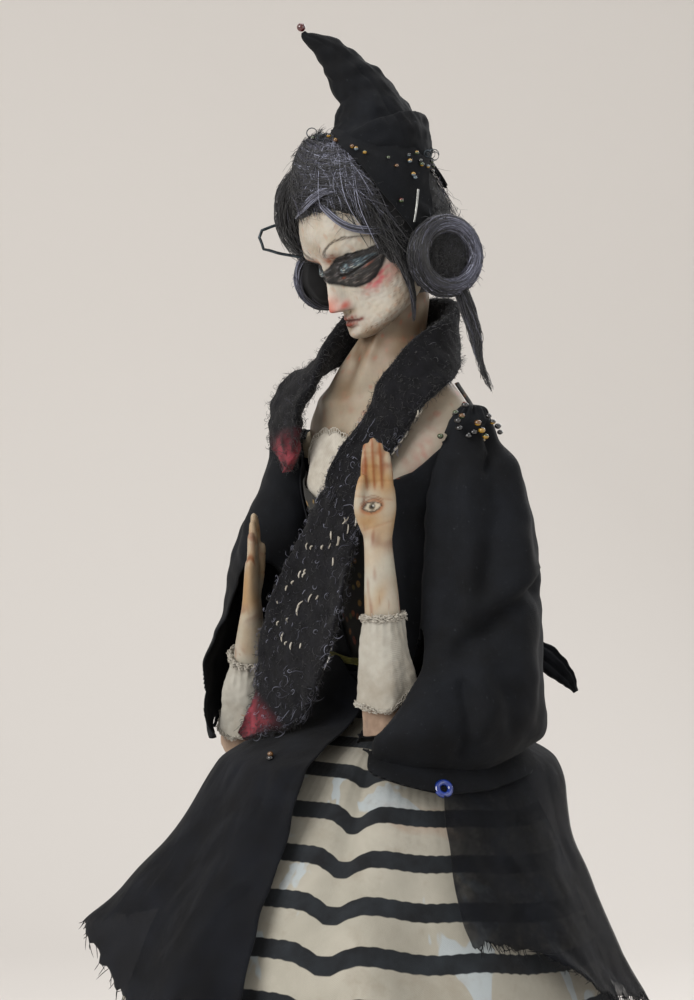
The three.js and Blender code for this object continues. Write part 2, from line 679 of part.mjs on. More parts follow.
// Coat tails stand out from the waist, lie over the ridges of the pleats and swing out in flutes.
const coatEase = layerInner(coatLayer) - layerOuter(1) + clothWall;
function coatRadius(angle, z) {
  const turn = turnFromFront(angle);
  const fall = waistHeight - z;
  const drop = THREE.MathUtils.clamp(fall / 90, 0, 1);
  const peplum = smoothstep(fall, 0, 12) * (1 - smoothstep(fall, 14, 44));
  const room = 10 - 8 * bump(turn + 84, 26) - 8 * bump(turn - 78, 30);
  const frontFlute = 22 * drop ** 1.6 * bump(turn + 46, 17);
  const ripple = 1.6 * drop * (1 + Math.cos(rad(turn * 11 + 40)));
  return flareRadius(turn, z, pleatDepth(z) + coatEase + peplum * room + frontFlute + ripple);
}
function makeTail(frontEdge, backEdge, hem, uSteps) {
  const surface = (u, v) => {
    const angle = lerp(lerp(...frontEdge, v), backEdge, u);
    const z = lerp(waistHeight - seatGap, waistHeight - hem(angle), (1 - v) ** 1.5);
    return flarePoint(angle, z, coatRadius(angle, z));
  };
  return cloth(surface, uSteps, 7, clothWall, false, onSpine);
}
// How far a tail falls from the waist at each angle.
function leftHem(angle) {
  return 57 + 33 * smoothstep(angle, 50, 138) - 2 * Math.cos(rad(angle * 9));
}
function rightHem(angle) {
  return 66 + 24 * smoothstep(angle, -46, 0) + 16 * smoothstep(-angle, 80, 150) - 1.5 * Math.cos(rad(angle * 8));
}
const makeLeftTail = () => makeTail([55, 63.5], 179.4, leftHem, 15);
const makeRightTail = () => makeTail([11, 13.5], -179.4, rightHem, 19);

// Garments that follow the body: a sheet between zLow and a top line that depends on the angle. Its rows
// crowd towards the top at a power below 1.
function torsoGarment(layer, zLow, top, from, to, uSteps, vSteps, crowd) {
  const surface = (u, v) => {
    const angle = lerp(from, to, u);
    return torsoPoint(angle, lerp(zLow, top(turnFromFront(angle)), v ** crowd), layerOuter(layer));
  };
  return cloth(surface, uSteps, vSteps, clothWall, to - from >= 360, (p) => torsoCentre(p.z));
}
function camisoleTop(turn) {
  return shoulderHeight - 3 - 4 * bump(turn, 9) - 9 * smoothstep(Math.abs(turn), 28, 60);
}
const bodiceTop = (turn) => shoulderHeight - 24 + 10 * smoothstep(Math.abs(turn + 6), 4, 60);
function coatTop(turn) {
  const left = shoulderHeight - 17 + 12 * smoothstep(turn, 34, 70);
  const right = lerp(waistHeight + 6, shoulderHeight - 5, smoothstep(-turn, -6, 66));
  return turn > 20 ? left : right;
}
// Room for each arm to hang and to lift forward.
const armholes = () =>
  Object.values(arms).flatMap((arm) => {
    const limbs = [0, armLift / 2, armLift].map((turn) => {
      const hang = arm.hang.clone().applyAxisAngle(point(-1, 0, 0), rad(turn));
      return rodBetween(arm.shoulder, arm.shoulder.clone().add(hang), upperArmRadius + armJointGap * 3);
    });
    return [...limbs, ball(arm.shoulder, shoulderJointRadius + armJointGap * 2, 8, 6)];
  });
const makeCamisole = () => torsoGarment(1, bustSeamHeight + 2, camisoleTop, -60, 60, 8, 5, 1);
function makeBodice() {
  return cut(torsoGarment(2, waistHeight + seatGap, bodiceTop, -75, 150, 15, 7, 0.7), ...armholes());
}
function makeCoatBodice() {
  return cut(torsoGarment(coatLayer, waistHeight, coatTop, 30, 360, 22, 6, 0.7), ...armholes());
}
// Strap of the bodice behind the left shoulder, up to the stole.
function makeStrap() {
  const rows = [
    [136, -12.5],
    [128, -5],
    [120, 3],
    [110, 12],
  ].map(([angle, rise]) => [...torsoPoint(angle, shoulderHeight + rise, layerInner(2) - 0.1), 2, 0.4]);
  const away = (s) => s.at.clone().sub(torsoCentre(s.at.z)).setZ(4);
  return sweep(along(rows, 7), away, 6, 3);
}

// Sash and a narrow ribbon round the waist, over the coat.
const sashInner = layerOuter(coatLayer) + clothGap + 0.5;
function waistBand(low, high, wall, tilt) {
  const surface = (u, v) => {
    const z = lerp(low, high, v) + tilt * Math.sin(2 * Math.PI * u);
    return torsoPoint(360 * u, z, sashInner + wall);
  };
  return cloth(surface, 20, 1, wall, true, (p) => torsoCentre(p.z));
}
const sashLow = waistHeight + seatGap;
const sashTop = sashLow + sashHeight;
const makeSash = () => waistBand(sashLow, sashTop, sashWall, 0);
const makeRibbon = () => waistBand(sashTop + 2, sashTop + 2 + ribbonHeight, ribbonWall, -1.2);
// Bow at the back: a knot, two loops and two long ends.
function makeBow() {
  const back = torsoPoint(180, (sashLow + sashTop) / 2, sashInner + sashWall + seatGap);
  const at = ([x, y, z]) => back.clone().add(point(x, y, z).multiplyScalar(bodyUnit));
  const knotEnds = [-4, 0, 4].map((x) => {
    const narrow = Math.abs(x);
    return { at: at([x, 2.9, 0]), a: 4.2 - narrow / 4, b: 2.8 - narrow / 5 };
  });
  const knot = sweep(knotEnds, () => point(0, 1, 0), 8);
  const band = (rows) => {
    const stations = along(rows.map(([x, y, z, a]) => [...at([x, y, z]), a, bowWall / 2]), 6);
    return sweep(stations, (s) => point(s.at.x * 0.02, 0.35, 1), 4, 2);
  };
  const loop = (side) =>
    band([
      [side * 2, 3, 0.5, 3],
      [side * 10, 7, 5, 4.6],
      [side * 19, 10, 3, 5],
      [side * 21, 11, -1.5, 4.8],
      [side * 12, 7.5, -3.5, 4.2],
      [side * 2.5, 3.4, -1.5, 3],
    ]);
  const leftEnd = band([
    [1, 3, 0, 3],
    [10, 9, 5, 4.4],
    [21, 13, 9, 4.8],
    [30, 16.5, 8, 4.6],
    [37, 19.5, 2, 3],
    [40, 21, -3, 0.8],
  ]);
  const rightEnd = band([
    [-1, 3, 0, 3],
    [-10, 10, 2, 4.2],
    [-20, 17, 0, 4.6],
    [-28, 22, -6, 3.6],
    [-31, 24, -12, 0.8],
  ]);
  return join(knot, loop(-1), loop(1), leftEnd, rightEnd);
}

// Stole: one felted band round the neck with a pointed end each side. Each row is the angle round the body,
// the share of the way from waist to shoulder, how far it stands off the body, and its half width.
const stoleLine = [
  [-48, 0.83, 7.4, 1.2],
  [-42, 0.9, 8.7, 6],
  [-40, 0.99, 10, 9],
  [-42, 1.08, 9.4, 9.2],
  [-48, 1.18, 8.4, 8.4],
  [-72, 1.28, 6, 8],
  [-110, 1.35, 5, 8.2],
  [-169, 1.37, 4.4, 8.6],
  [-211, 1.36, 5, 8.6],
  [-246, 1.32, 8, 8.4],
  [-271, 1.27, 8.4, 8.2],
  [-301, 1.19, 6.4, 8.2],
  [-328, 1.09, 4.2, 8.2],
  [-339, 1.01, 3.8, 7.4],
  [-343, 0.94, 3.6, 7.4],
  [-350, 0.83, 3.4, 8],
  [-354, 0.72, 4.2, 9],
  [-360, 0.65, 6.7, 10.2],
  [-365, 0.51, 10.6, 12],
  [-369, 0.36, 14.8, 13.2],
  [-374, 0.22, 19.4, 14.4],
  [-379, 0.07, 23, 13.2],
  [-382, 0, 25.1, 11.6],
  [-386, -0.07, 28.2, 5.5],
  [-389, -0.13, 30.9, 1.2],
];
function makeStole() {
  const stations = stoleLine.map(([angle, part, off, halfWidth]) => {
    const wide = halfWidth * bodyUnit;
    const at = torsoPoint(angle, lerp(waistHeight, shoulderHeight, part), off * bodyUnit);
    return [...at, wide, Math.min(stoleHalfThickness, 0.9 + wide * 0.3)];
  });
  const facing = (s) => {
    const behind = smoothstep(s.at.y, -8, 8);
    const side = s.at.x / 18;
    return point(side * lerp(0.3, 1, behind), (s.at.y - 4) / 10, 0.15 + 0.5 * bump(s.at.y - 4, 7));
  };
  const band = sweep(along(stations, 25), facing, 7, 2.4);
  return cut(band, neckAndChest(), dressedBody(layerOuter(coatLayer)), coatEnvelope(), headTrim());
}
const neckAndChest = () => torsoSolid(bustSeamHeight, neckTop, layerOuter(2) + seatGap, 20, 10);
const dressedBody = (grow) => torsoSolid(waistHeight - 2, shoulderHeight - 4, grow + seatGap, 18, 8);
// The coat's outside with a little room, closed to a solid.
function coatEnvelope() {
  const rings = Array.from({ length: 8 }, (_, j) => {
    const z = lerp(waistHeight, waistHeight - 95, (j / 7) ** 1.5);
    return Array.from({ length: 30 }, (_, i) => flarePoint(12 * i, z, coatRadius(12 * i, z) + seatGap + 1.6));
  });
  return loft(rings);
}

// Hair: combed mohair over the skull, less the head, with rolls, locks and a loose tail.
const hairMiddle = { forward: -4, height: headHeight * 0.79 };
function hairPoint(turn, tilt, grow) {
  const [c, s] = [Math.cos(turn), Math.sin(turn)];
  const [rise, out] = [Math.cos(tilt), Math.sin(tilt)];
  const lump = 0.9 * Math.sin(3 * turn + 1) * Math.sin(2 * tilt) + 0.7 * Math.sin(5 * turn + 2) * out;
  const crest = 3.5 * bump(turnFromFront((turn * 180) / Math.PI + 20), 60) * bump(tilt - 0.55, 0.5);
  const low = Math.max(-rise, 0);
  const spread = rise < 0 ? (1 - low ** 3) ** (1 / 3) : out;
  const middle = hairMiddle.forward - 5 * low;
  const reach = c > 0 ? faceDepth + 1.5 : skullDepth + hairDepth + hairMiddle.forward;
  const height = (rise < 0 ? headHeight * 0.7 : headHeight * 0.33 + hairDepth) + grow + lump + crest;
  return onHead(
    (headHalfWidth + hairDepth * 0.9 + grow + lump) * s * spread,
    middle + (reach + grow + lump + crest * 0.4) * c * spread,
    hairMiddle.height + height * rise,
  );
}
function hairForm(grow, around = 20, rows = 11) {
  const rings = Array.from({ length: rows + 1 }, (_, j) => {
    const tilt = Math.PI * (0.03 + 0.94 * (j / rows));
    return Array.from({ length: around }, (_, i) => hairPoint((2 * Math.PI * i) / around, tilt, grow));
  });
  return loft(rings);
}
// The place on the hair's surface under a point, seen from the middle of the hair.
function onHair(p, grow) {
  const from = p.clone().sub(onHead(0, hairMiddle.forward, hairMiddle.height));
  const [left, forward, height] = [from.dot(headLeft), from.dot(headForward), from.dot(headUp)];
  return hairPoint(Math.atan2(left, forward), Math.atan2(Math.hypot(left, forward), height), grow);
}
const neckTrim = () => torsoSolid(neckFoot, neckTop, seatGap, 20, 4);
const headTrim = () => headSolid(seatGap * 3, 18, 13);
const makeHairCap = () => cut(hairForm(0), headTrim(), neckTrim());
// A lock swept through rows of [left, forward, height, radius, radius] in the head's frame.
function lock(rows, count, sides, ...trims) {
  const placed = rows.map(([left, forward, height, a, b]) => {
    return [...headSpot(left, forward, height), a * headUnit, b * headUnit];
  });
  const away = (s) => s.at.clone().sub(onHead(0, 0, headHeight / 2));
  return cut(sweep(along(placed, count), away, sides), ...trims);
}
// A roll of hair: a flattened ring filled by a lower boss, turned to face out from the head.
function makeRoll(place, size, ...trims) {
  const [radius, roll] = [rollRadius * size, rollThickness * size];
  const rim = Array.from({ length: 7 }, (_, i) => {
    const t = Math.PI * (1 - i / 6);
    return [radius - roll + roll * Math.cos(t), roll * 1.25 * Math.sin(t)];
  });
  const boss = [[0, roll * 0.55], [(radius - 2 * roll) * 0.6, roll * 0.5]];
  const back = [[radius * 0.55, -roll * 0.9], [0, -roll]];
  const roller = turned([...boss, ...rim.slice(1), ...back], 14);
  const side = Math.sign(place[0]);
  const outward = headLeft.clone().multiplyScalar(side);
  const basis = new THREE.Matrix4().makeBasis(headForward, headUp.clone().multiplyScalar(side), outward);
  roller.applyMatrix4(basis).translate(...headSpot(...place));
  return cut(welded(roller), hairForm(seatGap), headTrim(), neckTrim(), ...trims);
}
const leftRollPlace = [24, -7.2, 14.2];
const rightRollPlace = [-21.5, 8, 18.5];
function makeSideLock(grow) {
  return lock(
    [
      [-8, 4, 52, 3 + grow, 3 + grow],
      [-14, 9, 47, 6 + grow, 5 + grow],
      [-18.5, 11, 38, 6 + grow, 5 + grow],
      [-19, 10.5, 30, 4.6 + grow, 4 + grow],
      [-18, 9, 25, 2 + grow, 2 + grow],
    ],
    7,
    8,
    hairForm(seatGap),
    headTrim(),
  );
}
const makeBrowLock = () =>
  lock(
    [
      [2, 10.5, 49, 0.9, 0.8],
      [6, 13.4, 44.5, 1.5, 1.1],
      [11.2, 14, 38.4, 1.6, 1.1],
      [15, 12, 33.4, 1.6, 1.1],
      [18, 6.5, 29.6, 1.5, 1.1],
      [19.6, 0.4, 28.4, 0.9, 0.8],
    ],
    10,
    5,
    hairForm(seatGap),
    headTrim(),
  );
const makeCheekLock = () =>
  lock(
    [
      [19, 3.6, 28, 1, 1],
      [18.7, 3.4, 22, 2.1, 1.6],
      [17.6, 3, 14, 2, 1.5],
      [16.4, 3.4, 6.5, 1.4, 1.1],
      [14.8, 5.6, 0, 0.6, 0.5],
    ],
    9,
    6,
    hairForm(seatGap),
    headTrim(),
    neckTrim(),
  );
// The loose tail hangs from under the left roll.
function makeHairTail() {
  const root = headSpot(...leftRollPlace);
  const rows = [
    [3, 0.5, -5, 2.6],
    [7, 0, -16, 2.8],
    [9.6, 0, -24.5, 2.1],
    [11.8, 0, -32, 1.5],
    [14.6, 0, -39.5, 0.5],
  ].map(([right, near, rise, radius]) => {
    const at = shifted(root, right * headUnit, near * headUnit, rise * headUnit);
    return [...at, radius * headUnit, radius * headUnit * 0.7];
  });
  const roll = makeRoll(leftRollPlace, 1 + (2 * seatGap) / rollRadius);
  return cut(sweep(along(rows, 10), () => toNear, 6), roll, hairForm(seatGap), headTrim());
}
// A bent wire that sticks out of the hair at the right temple.
function makeWireLoop() {
  const bends = [
    [-31, -4, 18],
    [-42.2, -4.5, 20.4],
    [-43.5, -4.5, 24],
    [-42.8, -4.5, 26.2],
    [-38.4, -4.5, 27.8],
    [-31, -4, 29],
  ].map(([right, near, rise]) => shifted(headBase, right * headUnit, near * headUnit, rise * headUnit));
  const wire = tube(new THREE.CatmullRomCurve3(bends, false, "catmullrom", 0.15), wireRadius, 16, 5);
  return cut(wire, makeSideLock(seatGap), hairForm(seatGap), headTrim());
}

// A round bar along a curve.
function tube(curve, radius, steps, sides) {
  const rings = curve.getSpacedPoints(steps).map((at, i) => {
    const tangent = curve.getTangentAt(i / steps);
    const side = tangent.clone().cross(Math.abs(tangent.z) > 0.9 ? toNear : up).normalize();
    return ring(at, side, tangent.clone().cross(side), radius, radius, sides);
  });
  return loft(rings);
}

// Hat: a bent cone of stuffed cotton on a draped cap.
const hatFoot = headSpot(5, -12.6, 46.5);
const hatLine = [
  [0, 0, -8, 14, 13],
  [0, 0, 2.5, 15, 14],
  [-1.5, -0.9, 7.2, 14.6, 13],
  [-2.7, -0.9, 12.3, 11.6, 11],
  [-5.1, -0.9, 18.9, 8.4, 8.4],
  [-9.3, -0.9, 24, 6.9, 6.6],
  [-14, -0.9, 29.9, 4.9, 4.7],
  [-18.8, -0.9, 33.5, 3, 3],
  [-22.1, -0.9, 35.4, 1.6, 1.6],
  [-23.1, -0.9, 36.9, 0.7, 0.7],
];
const hatScale = hatFootRadius / 15;
const hatPlace = (right, near, rise) => shifted(hatFoot, right * hatScale, near * hatScale, rise * hatScale);
const hatCapOuter = seatGap + hatCapWall;
function makeHatCone() {
  const rows = hatLine.map(([right, near, rise, a, b]) => {
    return [...hatPlace(right, near, rise), a * hatScale, b * hatScale];
  });
  return cut(sweep(along(rows, 12), () => toNear, 11), hairForm(hatCapOuter + seatGap));
}
function makeHatBead() {
  const tip = hatPlace(...hatLine[hatLine.length - 1]);
  return ball(tip.add(point(-0.5, -0.4, hatBeadRadius + 0.1)), hatBeadRadius, 8, 6);
}
// The cap is a sheet over the hair, from under the cone down to the left temple.
function makeHatCap() {
  const rows = [
    [hatFoot, hatFootRadius + 1.5, 12],
    [headSpot(10, -9, 45), hatFootRadius - 1, 14],
    [headSpot(16, -7, 42), 9.5, 12],
    [headSpot(20, -4.5, 34), 6, 9],
    [headSpot(21.5, -1.8, 27.5), 1.5, 5],
  ].map(([at, a, b]) => [...at, a, b]);
  const away = (s) => s.at.clone().sub(onHead(0, hairMiddle.forward, hairMiddle.height));
  const spread = sweep(along(rows, 7), away, 10);
  return cut(overlap(hairForm(hatCapOuter), spread), hairForm(seatGap));
}
const makeHatPin = () => {
  const rest = hatCapOuter + seatGap + 0.4;
  return rodBetween(onHair(headSpot(20, -9, 36), rest), onHair(headSpot(20, -2, 31.5), rest), 0.4, 6);
};

// Seed beads on a thread through the given points: thread, bead and thread again at each step.
function beadString(points) {
  const curve = new THREE.CatmullRomCurve3(points);
  const length = curve.getLength();
  const count = Math.round(length / beadPitch);
  const shape = [
    [-1, threadRadius],
    [-0.5, beadRadius * 0.9],
    [0.5, beadRadius * 0.9],
    [1, threadRadius],
  ];
  const stations = Array.from({ length: count }, (_, i) =>
    shape.map(([step, radius]) => {
      const t = (i + 0.5) / count + (step * beadRadius) / length;
      return { at: curve.getPointAt(t), a: radius, b: radius };
    }),
  ).flat();
  return sweep(stations, () => up, 5);
}
function makeHatBeads() {
  const reach = hatFootRadius + beadRadius + 1.6;
  const rest = hatCapOuter + beadRadius + seatGap * 2.5;
  const points = [-95, -63, -32, 0, 32, 63, 95].map((angle) => {
    const [near, right] = [reach * Math.cos(rad(angle)), reach * Math.sin(rad(angle))];
    return onHair(shifted(hatFoot, right, near, 0), rest);
  });
  return beadString(points);
}

// Upper arm: stuffed cloth over wire, with a ball at each end.
function makeUpperArm(arm, grow = 0) {
  const curve = new THREE.CubicBezierCurve3(
    arm.shoulder,
    arm.shoulder.clone().add(arm.hang),
    arm.elbow.clone().add(arm.bend),
    arm.elbow,
  );
  const limb = tube(curve, upperArmRadius + grow, 7, 7);
  const shoulder = ball(arm.shoulder, shoulderJointRadius + grow, 7, 5);
  const sides = grow > 0 ? 12 : 7;
  return join(limb, shoulder, ball(arm.elbow, elbowJointRadius + grow, sides, sides - 3));
}
// Forearm and hand in one clay casting, hollow at its foot for the elbow.
function makeForearm(arm) {
  const { palm, side, reach } = arm;
  const hand = (h) => arm.wrist.clone().addScaledVector(arm.lift, h);
  const palmLength = handLength * 0.5;
  const rows = [
    [...alongArm(arm, elbowJointRadius * 0.6), forearmRadius, forearmRadius],
    [...alongArm(arm, reach * 0.3), forearmRadius, forearmRadius],
    [...alongArm(arm, reach * 0.65), forearmRadius * 0.98, forearmRadius * 0.9],
    [...alongArm(arm, reach * 0.88), wristRadius * 1.06, wristRadius * 0.92],
    [...arm.wrist, wristRadius, wristRadius * 0.78],
    [...hand(palmLength * 0.3), palmHalfWidth * 0.86, palmHalfDepth * 1.15],
    [...hand(palmLength * 0.65), palmHalfWidth, palmHalfDepth],
    [...hand(palmLength), palmHalfWidth * 0.94, palmHalfDepth * 0.85],
  ];
  const bulk = sweep(along(rows, 9), () => palm, 8, 2.2);
  const finger = (place, length, spread) => {
    const foot = hand(palmLength * 0.82).addScaledVector(side, place * fingerRadius * 1.72);
    const tip = hand(palmLength + length).addScaledVector(side, place * fingerRadius * spread);
    const middle = foot.clone().lerp(tip, 0.6).addScaledVector(palm, 0.4);
    const stations = [
      { at: foot, a: fingerRadius, b: fingerRadius },
      { at: middle, a: fingerRadius * 0.95, b: fingerRadius * 0.9 },
      { at: tip, a: fingerRadius * 0.4, b: fingerRadius * 0.4 },
    ];
    return sweep(stations, () => palm, 6);
  };
  const lengths = [0.36, 0.45, 0.5, 0.45].map((part) => part * handLength);
  const fingers = [-1.5, -0.5, 0.5, 1.5].map((place, i) => finger(place * arm.thumbSide, lengths[i], 1.3));
  const out = palmHalfWidth * arm.thumbSide;
  const joint = (reachOut, h, front) => hand(h).addScaledVector(side, reachOut).addScaledVector(palm, front);
  const thumbLine = [
    { at: joint(out * 0.5, palmLength * 0.2, 0.4), a: 1.7, b: 1.8 },
    { at: joint(out * 0.9, palmLength * 0.6, 1.2), a: 1.7, b: 1.6 },
    { at: joint(out * 0.9, palmLength * 1.05, 2), a: 1.35, b: 1.3 },
    { at: joint(out * 0.7, palmLength * 1.3, 2.2), a: 0.5, b: 0.5 },
  ];
  return cut(join(bulk, ...fingers, sweep(thumbLine, () => palm, 6)), makeUpperArm(arm, elbowPlay));
}
// Cotton cuff with a frayed lace edge, flared and a little askew, and the sleeve's lining below it.
function armCloth(arm, low, high, radiusAt, lean, uSteps, vSteps) {
  const surface = (u, v) => {
    const t = 2 * Math.PI * u;
    const radius = radiusAt(t, v);
    return alongArm(arm, lerp(low(t), high, v))
      .addScaledVector(arm.side, radius * Math.cos(t) + lean * (1 - v))
      .addScaledVector(arm.palm, radius * Math.sin(t));
  };
  return cloth(surface, uSteps, vSteps, clothWall, true, nearestOnArm(arm));
}
const cuffTop = (arm) => arm.reach * cuffTopShare;
function makeCuff(arm) {
  const low = (t) => cuffTop(arm) - cuffHeight + 3 * Math.cos(t + arm.thumbSide * 2.2) + Math.sin(3 * t);
  const radiusAt = (t, v) => lerp(cuffFootRadius, cuffTopRadius, v ** 0.8) + 0.5 * Math.sin(5 * t) * (1 - v);
  const cuff = armCloth(arm, low, cuffTop(arm), radiusAt, 0.5 * arm.thumbSide, 14, 2);
  return cut(cuff, makeUpperArm(arm, armJointGap), coatEnvelope());
}
function makeInnerSleeve(arm) {
  const high = cuffTop(arm) - cuffHeight + 5;
  const low = (t) => high - innerSleeveHeight - 1.5 * Math.cos(t);
  const radiusAt = (t, v) => innerSleeveRadius * (1 - 0.14 * v) + 0.2 * Math.cos(4 * t);
  const lining = armCloth(arm, low, high, radiusAt, 0, 12, 1);
  return cut(lining, makeUpperArm(arm, armJointGap), coatEnvelope());
}

// Sleeves: bags of cotton with a wall, given as level rings. Each ring is the share of the way from elbow
// to shoulder, its shift from that line to the right and to the near side, its half sizes and its turn.
const leftSleeveRings = [
  [-0.19, 17.8, -10.6, 5, 4, 28],
  [-0.148, 19.0, -8.0, 15.4, 10, 28],
  [-0.102, 18.5, -5.4, 22.7, 14, 30],
  [-0.024, 20.9, -3.3, 28.6, 17, 32],
  [0.044, 20.2, -1.4, 27.9, 18, 32],
  [0.131, 19.3, -1.3, 23.7, 18, 24],
  [0.236, 19.7, -1.9, 18.8, 18, 12],
  [0.375, 17.5, -2.7, 17.5, 16, 0],
  [0.583, 13.0, -1.2, 17.4, 14, 0],
  [0.762, 7.4, -0.7, 15.7, 12.5, 0],
  [0.905, 2.8, -0.1, 13.2, 11, 0],
  [0.992, -1.2, 0.3, 9.4, 9, 0],
  [1.062, -3.4, 1.2, 7.2, 7.5, 0],
  [1.1, -4.2, 1.7, 5, 5.4, 0],
];
const rightSleeveRings = [
  [-0.043, -9.7, 6.6, 1, 3, 0],
  [0.031, -5.5, 5.6, 8, 11, 0],
  [0.14, -3.8, 5.3, 12, 17, 0],
  [0.262, -4.3, 4.4, 13, 18, 0],
  [0.395, -3.2, 3.6, 12.8, 17, 0],
  [0.57, -4.8, 1.9, 13, 15, 0],
  [0.709, -5.6, 1.0, 12, 13, 0],
  [0.872, -5.0, 0.5, 9.2, 11, 0],
  [1.012, -5.5, 0.5, 7.5, 9, 0],
  [1.069, -3.8, 0.4, 6, 7, 0],
];
function sleeveForm(arm, rings, shrink) {
  const placed = rings.map(([part, ...sizes]) => {
    const [right, near, a, b] = sizes.map((size) => size * bodyUnit);
    const turn = sizes[4];
    const folds = 0.7 * Math.sin(Math.PI * THREE.MathUtils.clamp(part, 0, 1));
    const centre = shifted(arm.elbow.clone().lerp(arm.shoulder, part), right, near, 0);
    const long = toRight.clone().applyAxisAngle(up, rad(turn));
    const short = toNear.clone().applyAxisAngle(up, rad(turn));
    return Array.from({ length: 12 }, (_, i) => {
      const t = (2 * Math.PI * i) / 12;
      const out = folds * Math.cos(4 * t + 4 * part) - shrink;
      const wide = Math.max(a + out, 0.4) * Math.cos(t);
      const deep = Math.max(b + out, 0.4) * Math.sin(t);
      return centre.clone().addScaledVector(long, wide).addScaledVector(short, deep);
    });
  });
  for (const p of placed[0]) p.z += shrink;
  for (const p of placed[placed.length - 1]) p.z -= shrink;
  return loft(placed);
}
function makeSleeve(arm, rings) {
  const inside = sleeveForm(arm, rings, clothWall);
  const clothes = dressedBody(sashInner + sashWall + seatGap);
  const wearer = [clothes, neckAndChest(), coatEnvelope(), makeUpperArm(arm, armJointGap)];
  return cut(sleeveForm(arm, rings, 0), inside, ...wearer, sleeveOpening(arm));
}
// The end of a sleeve, round the cuff that comes out of it.
function sleeveOpening(arm) {
  const rows = [
    [...alongArm(arm, -6), cuffFootRadius, cuffFootRadius],
    [...alongArm(arm, 5), cuffFootRadius + 0.6, cuffFootRadius + 0.6],
    [...alongArm(arm, arm.reach * 0.5), cuffFootRadius + 2, cuffFootRadius + 2],
    [...arm.wrist, cuffFootRadius + 2, cuffFootRadius + 2],
    [...arm.wrist.clone().addScaledVector(arm.lift, handLength), palmHalfWidth * 2, palmHalfWidth * 2],
  ];
  return sweep(along(rows, 6), () => arm.palm, 12);
}
// Beads sewn round the gathers of the left sleeve.
function makeShoulderBeads() {
  const { left } = arms;
  const centre = shifted(left.shoulder, -2.2, 0.8, 5);
  const points = [-50, -20, 15, 50, 85, 120, 150].map((angle) => {
    const [c, s] = [Math.cos(rad(angle)), Math.sin(rad(angle))];
    const rise = 0.6 + 0.5 * Math.sin(rad(angle * 4));
    return shifted(centre, (7.2 + beadRadius + 0.5) * c, (7.5 + beadRadius + 0.5) * s, rise);
  });
  return beadString(points);
}
// A ring bead and two small beads sewn on the coat.
function coatSpot(angle, fall, out) {
  const z = waistHeight - fall;
  return flarePoint(angle, z, coatRadius(angle, z) + seatGap + out);
}
function makeRingBead() {
  const bead = new THREE.TorusGeometry(ringBeadRadius, 0.9, 5, 10);
  const face = new THREE.Quaternion().setFromUnitVectors(up, outwards(58).setZ(0.5).normalize());
  return welded(bead.applyQuaternion(face)).translate(...coatSpot(59, 21.5, 1.8));
}

const parts = new THREE.Group();
const finishes = {};
function finish(name, color, roughness, metalness = 0) {
  finishes[name] = new THREE.MeshStandardMaterial({ name, color, roughness, metalness });
}
finish("clay", 0xcfc2ab, 0.35);
finish("wood", 0x3a2a20, 0.5);
finish("steel", 0x9a9a98, 0.35, 1);
finish("leather", 0x1b1715, 0.45);
finish("stuffed_cloth", 0xc9bda8, 0.9);
finish("striped_cotton", 0xc4bba8, 0.9);
finish("cream_cotton", 0xcfc6b4, 0.9);
finish("leaf_print", 0x6a4a30, 0.85);
finish("black_cotton", 0x0b0c10, 0.8);
finish("sheer_black", 0x121216, 0.9);
finish("felt", 0x0d0d11, 0.95);
finish("mohair", 0x2e2d38, 0.7);
finish("lace", 0xd6cfc0, 0.9);
finish("ribbon", 0x6d6a2a, 0.7);
finish("amber_bead", 0x8a5a1c, 0.15);
finish("red_bead", 0x4a1214, 0.2);
finish("blue_bead", 0x1c3c8c, 0.15);
finish("wire", 0x2b3236, 0.4, 0.8);

function add(name, geometry, finishName) {
  const mesh = new THREE.Mesh(geometry, finishes[finishName]);
  mesh.name = name;
  parts.add(mesh);
}

add("base_disc", makeBase(), "wood");
add("support_rod", makeRod(), "steel");
for (const [name, side] of [["left", 1], ["right", -1]]) {
  add(`${name}_sole`, makeSole(side), "leather");
  add(`${name}_boot`, makeBoot(side), "leather");
  add(`${name}_leg`, makeLeg(side), "stuffed_cloth");
}
add("torso_core", makeTorsoCore(), "stuffed_cloth");
add("bust_casting", makeBust(), "clay");
add("petticoat", makePetticoat(), "cream_cotton");
add("skirt", makeSkirt(), "striped_cotton");
add("camisole", makeCamisole(), "lace");
add("bodice", makeBodice(), "leaf_print");
add("bodice_strap", makeStrap(), "leaf_print");
add("coat_bodice", makeCoatBodice(), "black_cotton");
add("coat_left_tail", makeLeftTail(), "sheer_black");
add("coat_right_tail", makeRightTail(), "black_cotton");
add("waist_sash", makeSash(), "black_cotton");
add("waist_ribbon", makeRibbon(), "ribbon");
add("sash_bow", makeBow(), "black_cotton");
add("stole", makeStole(), "felt");
add("hair_cap", makeHairCap(), "mohair");
add("left_hair_roll", makeRoll(leftRollPlace, 1), "mohair");
add("right_hair_roll", makeRoll(rightRollPlace, 0.8, makeSideLock(seatGap)), "mohair");
add("right_side_lock", makeSideLock(0), "mohair");
add("brow_lock", makeBrowLock(), "mohair");
add("cheek_lock", makeCheekLock(), "mohair");
add("hair_tail", makeHairTail(), "mohair");
add("hair_wire_loop", makeWireLoop(), "wire");
add("hat_cap", makeHatCap(), "black_cotton");
add("hat_cone", makeHatCone(), "black_cotton");
add("hat_tip_bead", makeHatBead(), "red_bead");
add("hat_bead_string", makeHatBeads(), "amber_bead");
add("hat_pin", makeHatPin(), "steel");
for (const [name, arm] of Object.entries(arms)) {
  add(`${name}_upper_arm`, makeUpperArm(arm), "stuffed_cloth");
  add(`${name}_forearm`, makeForearm(arm), "clay");
  add(`${name}_cuff`, makeCuff(arm), "lace");
  add(`${name}_inner_sleeve`, makeInnerSleeve(arm), "cream_cotton");
}
add("left_sleeve", makeSleeve(arms.left, leftSleeveRings), "black_cotton");
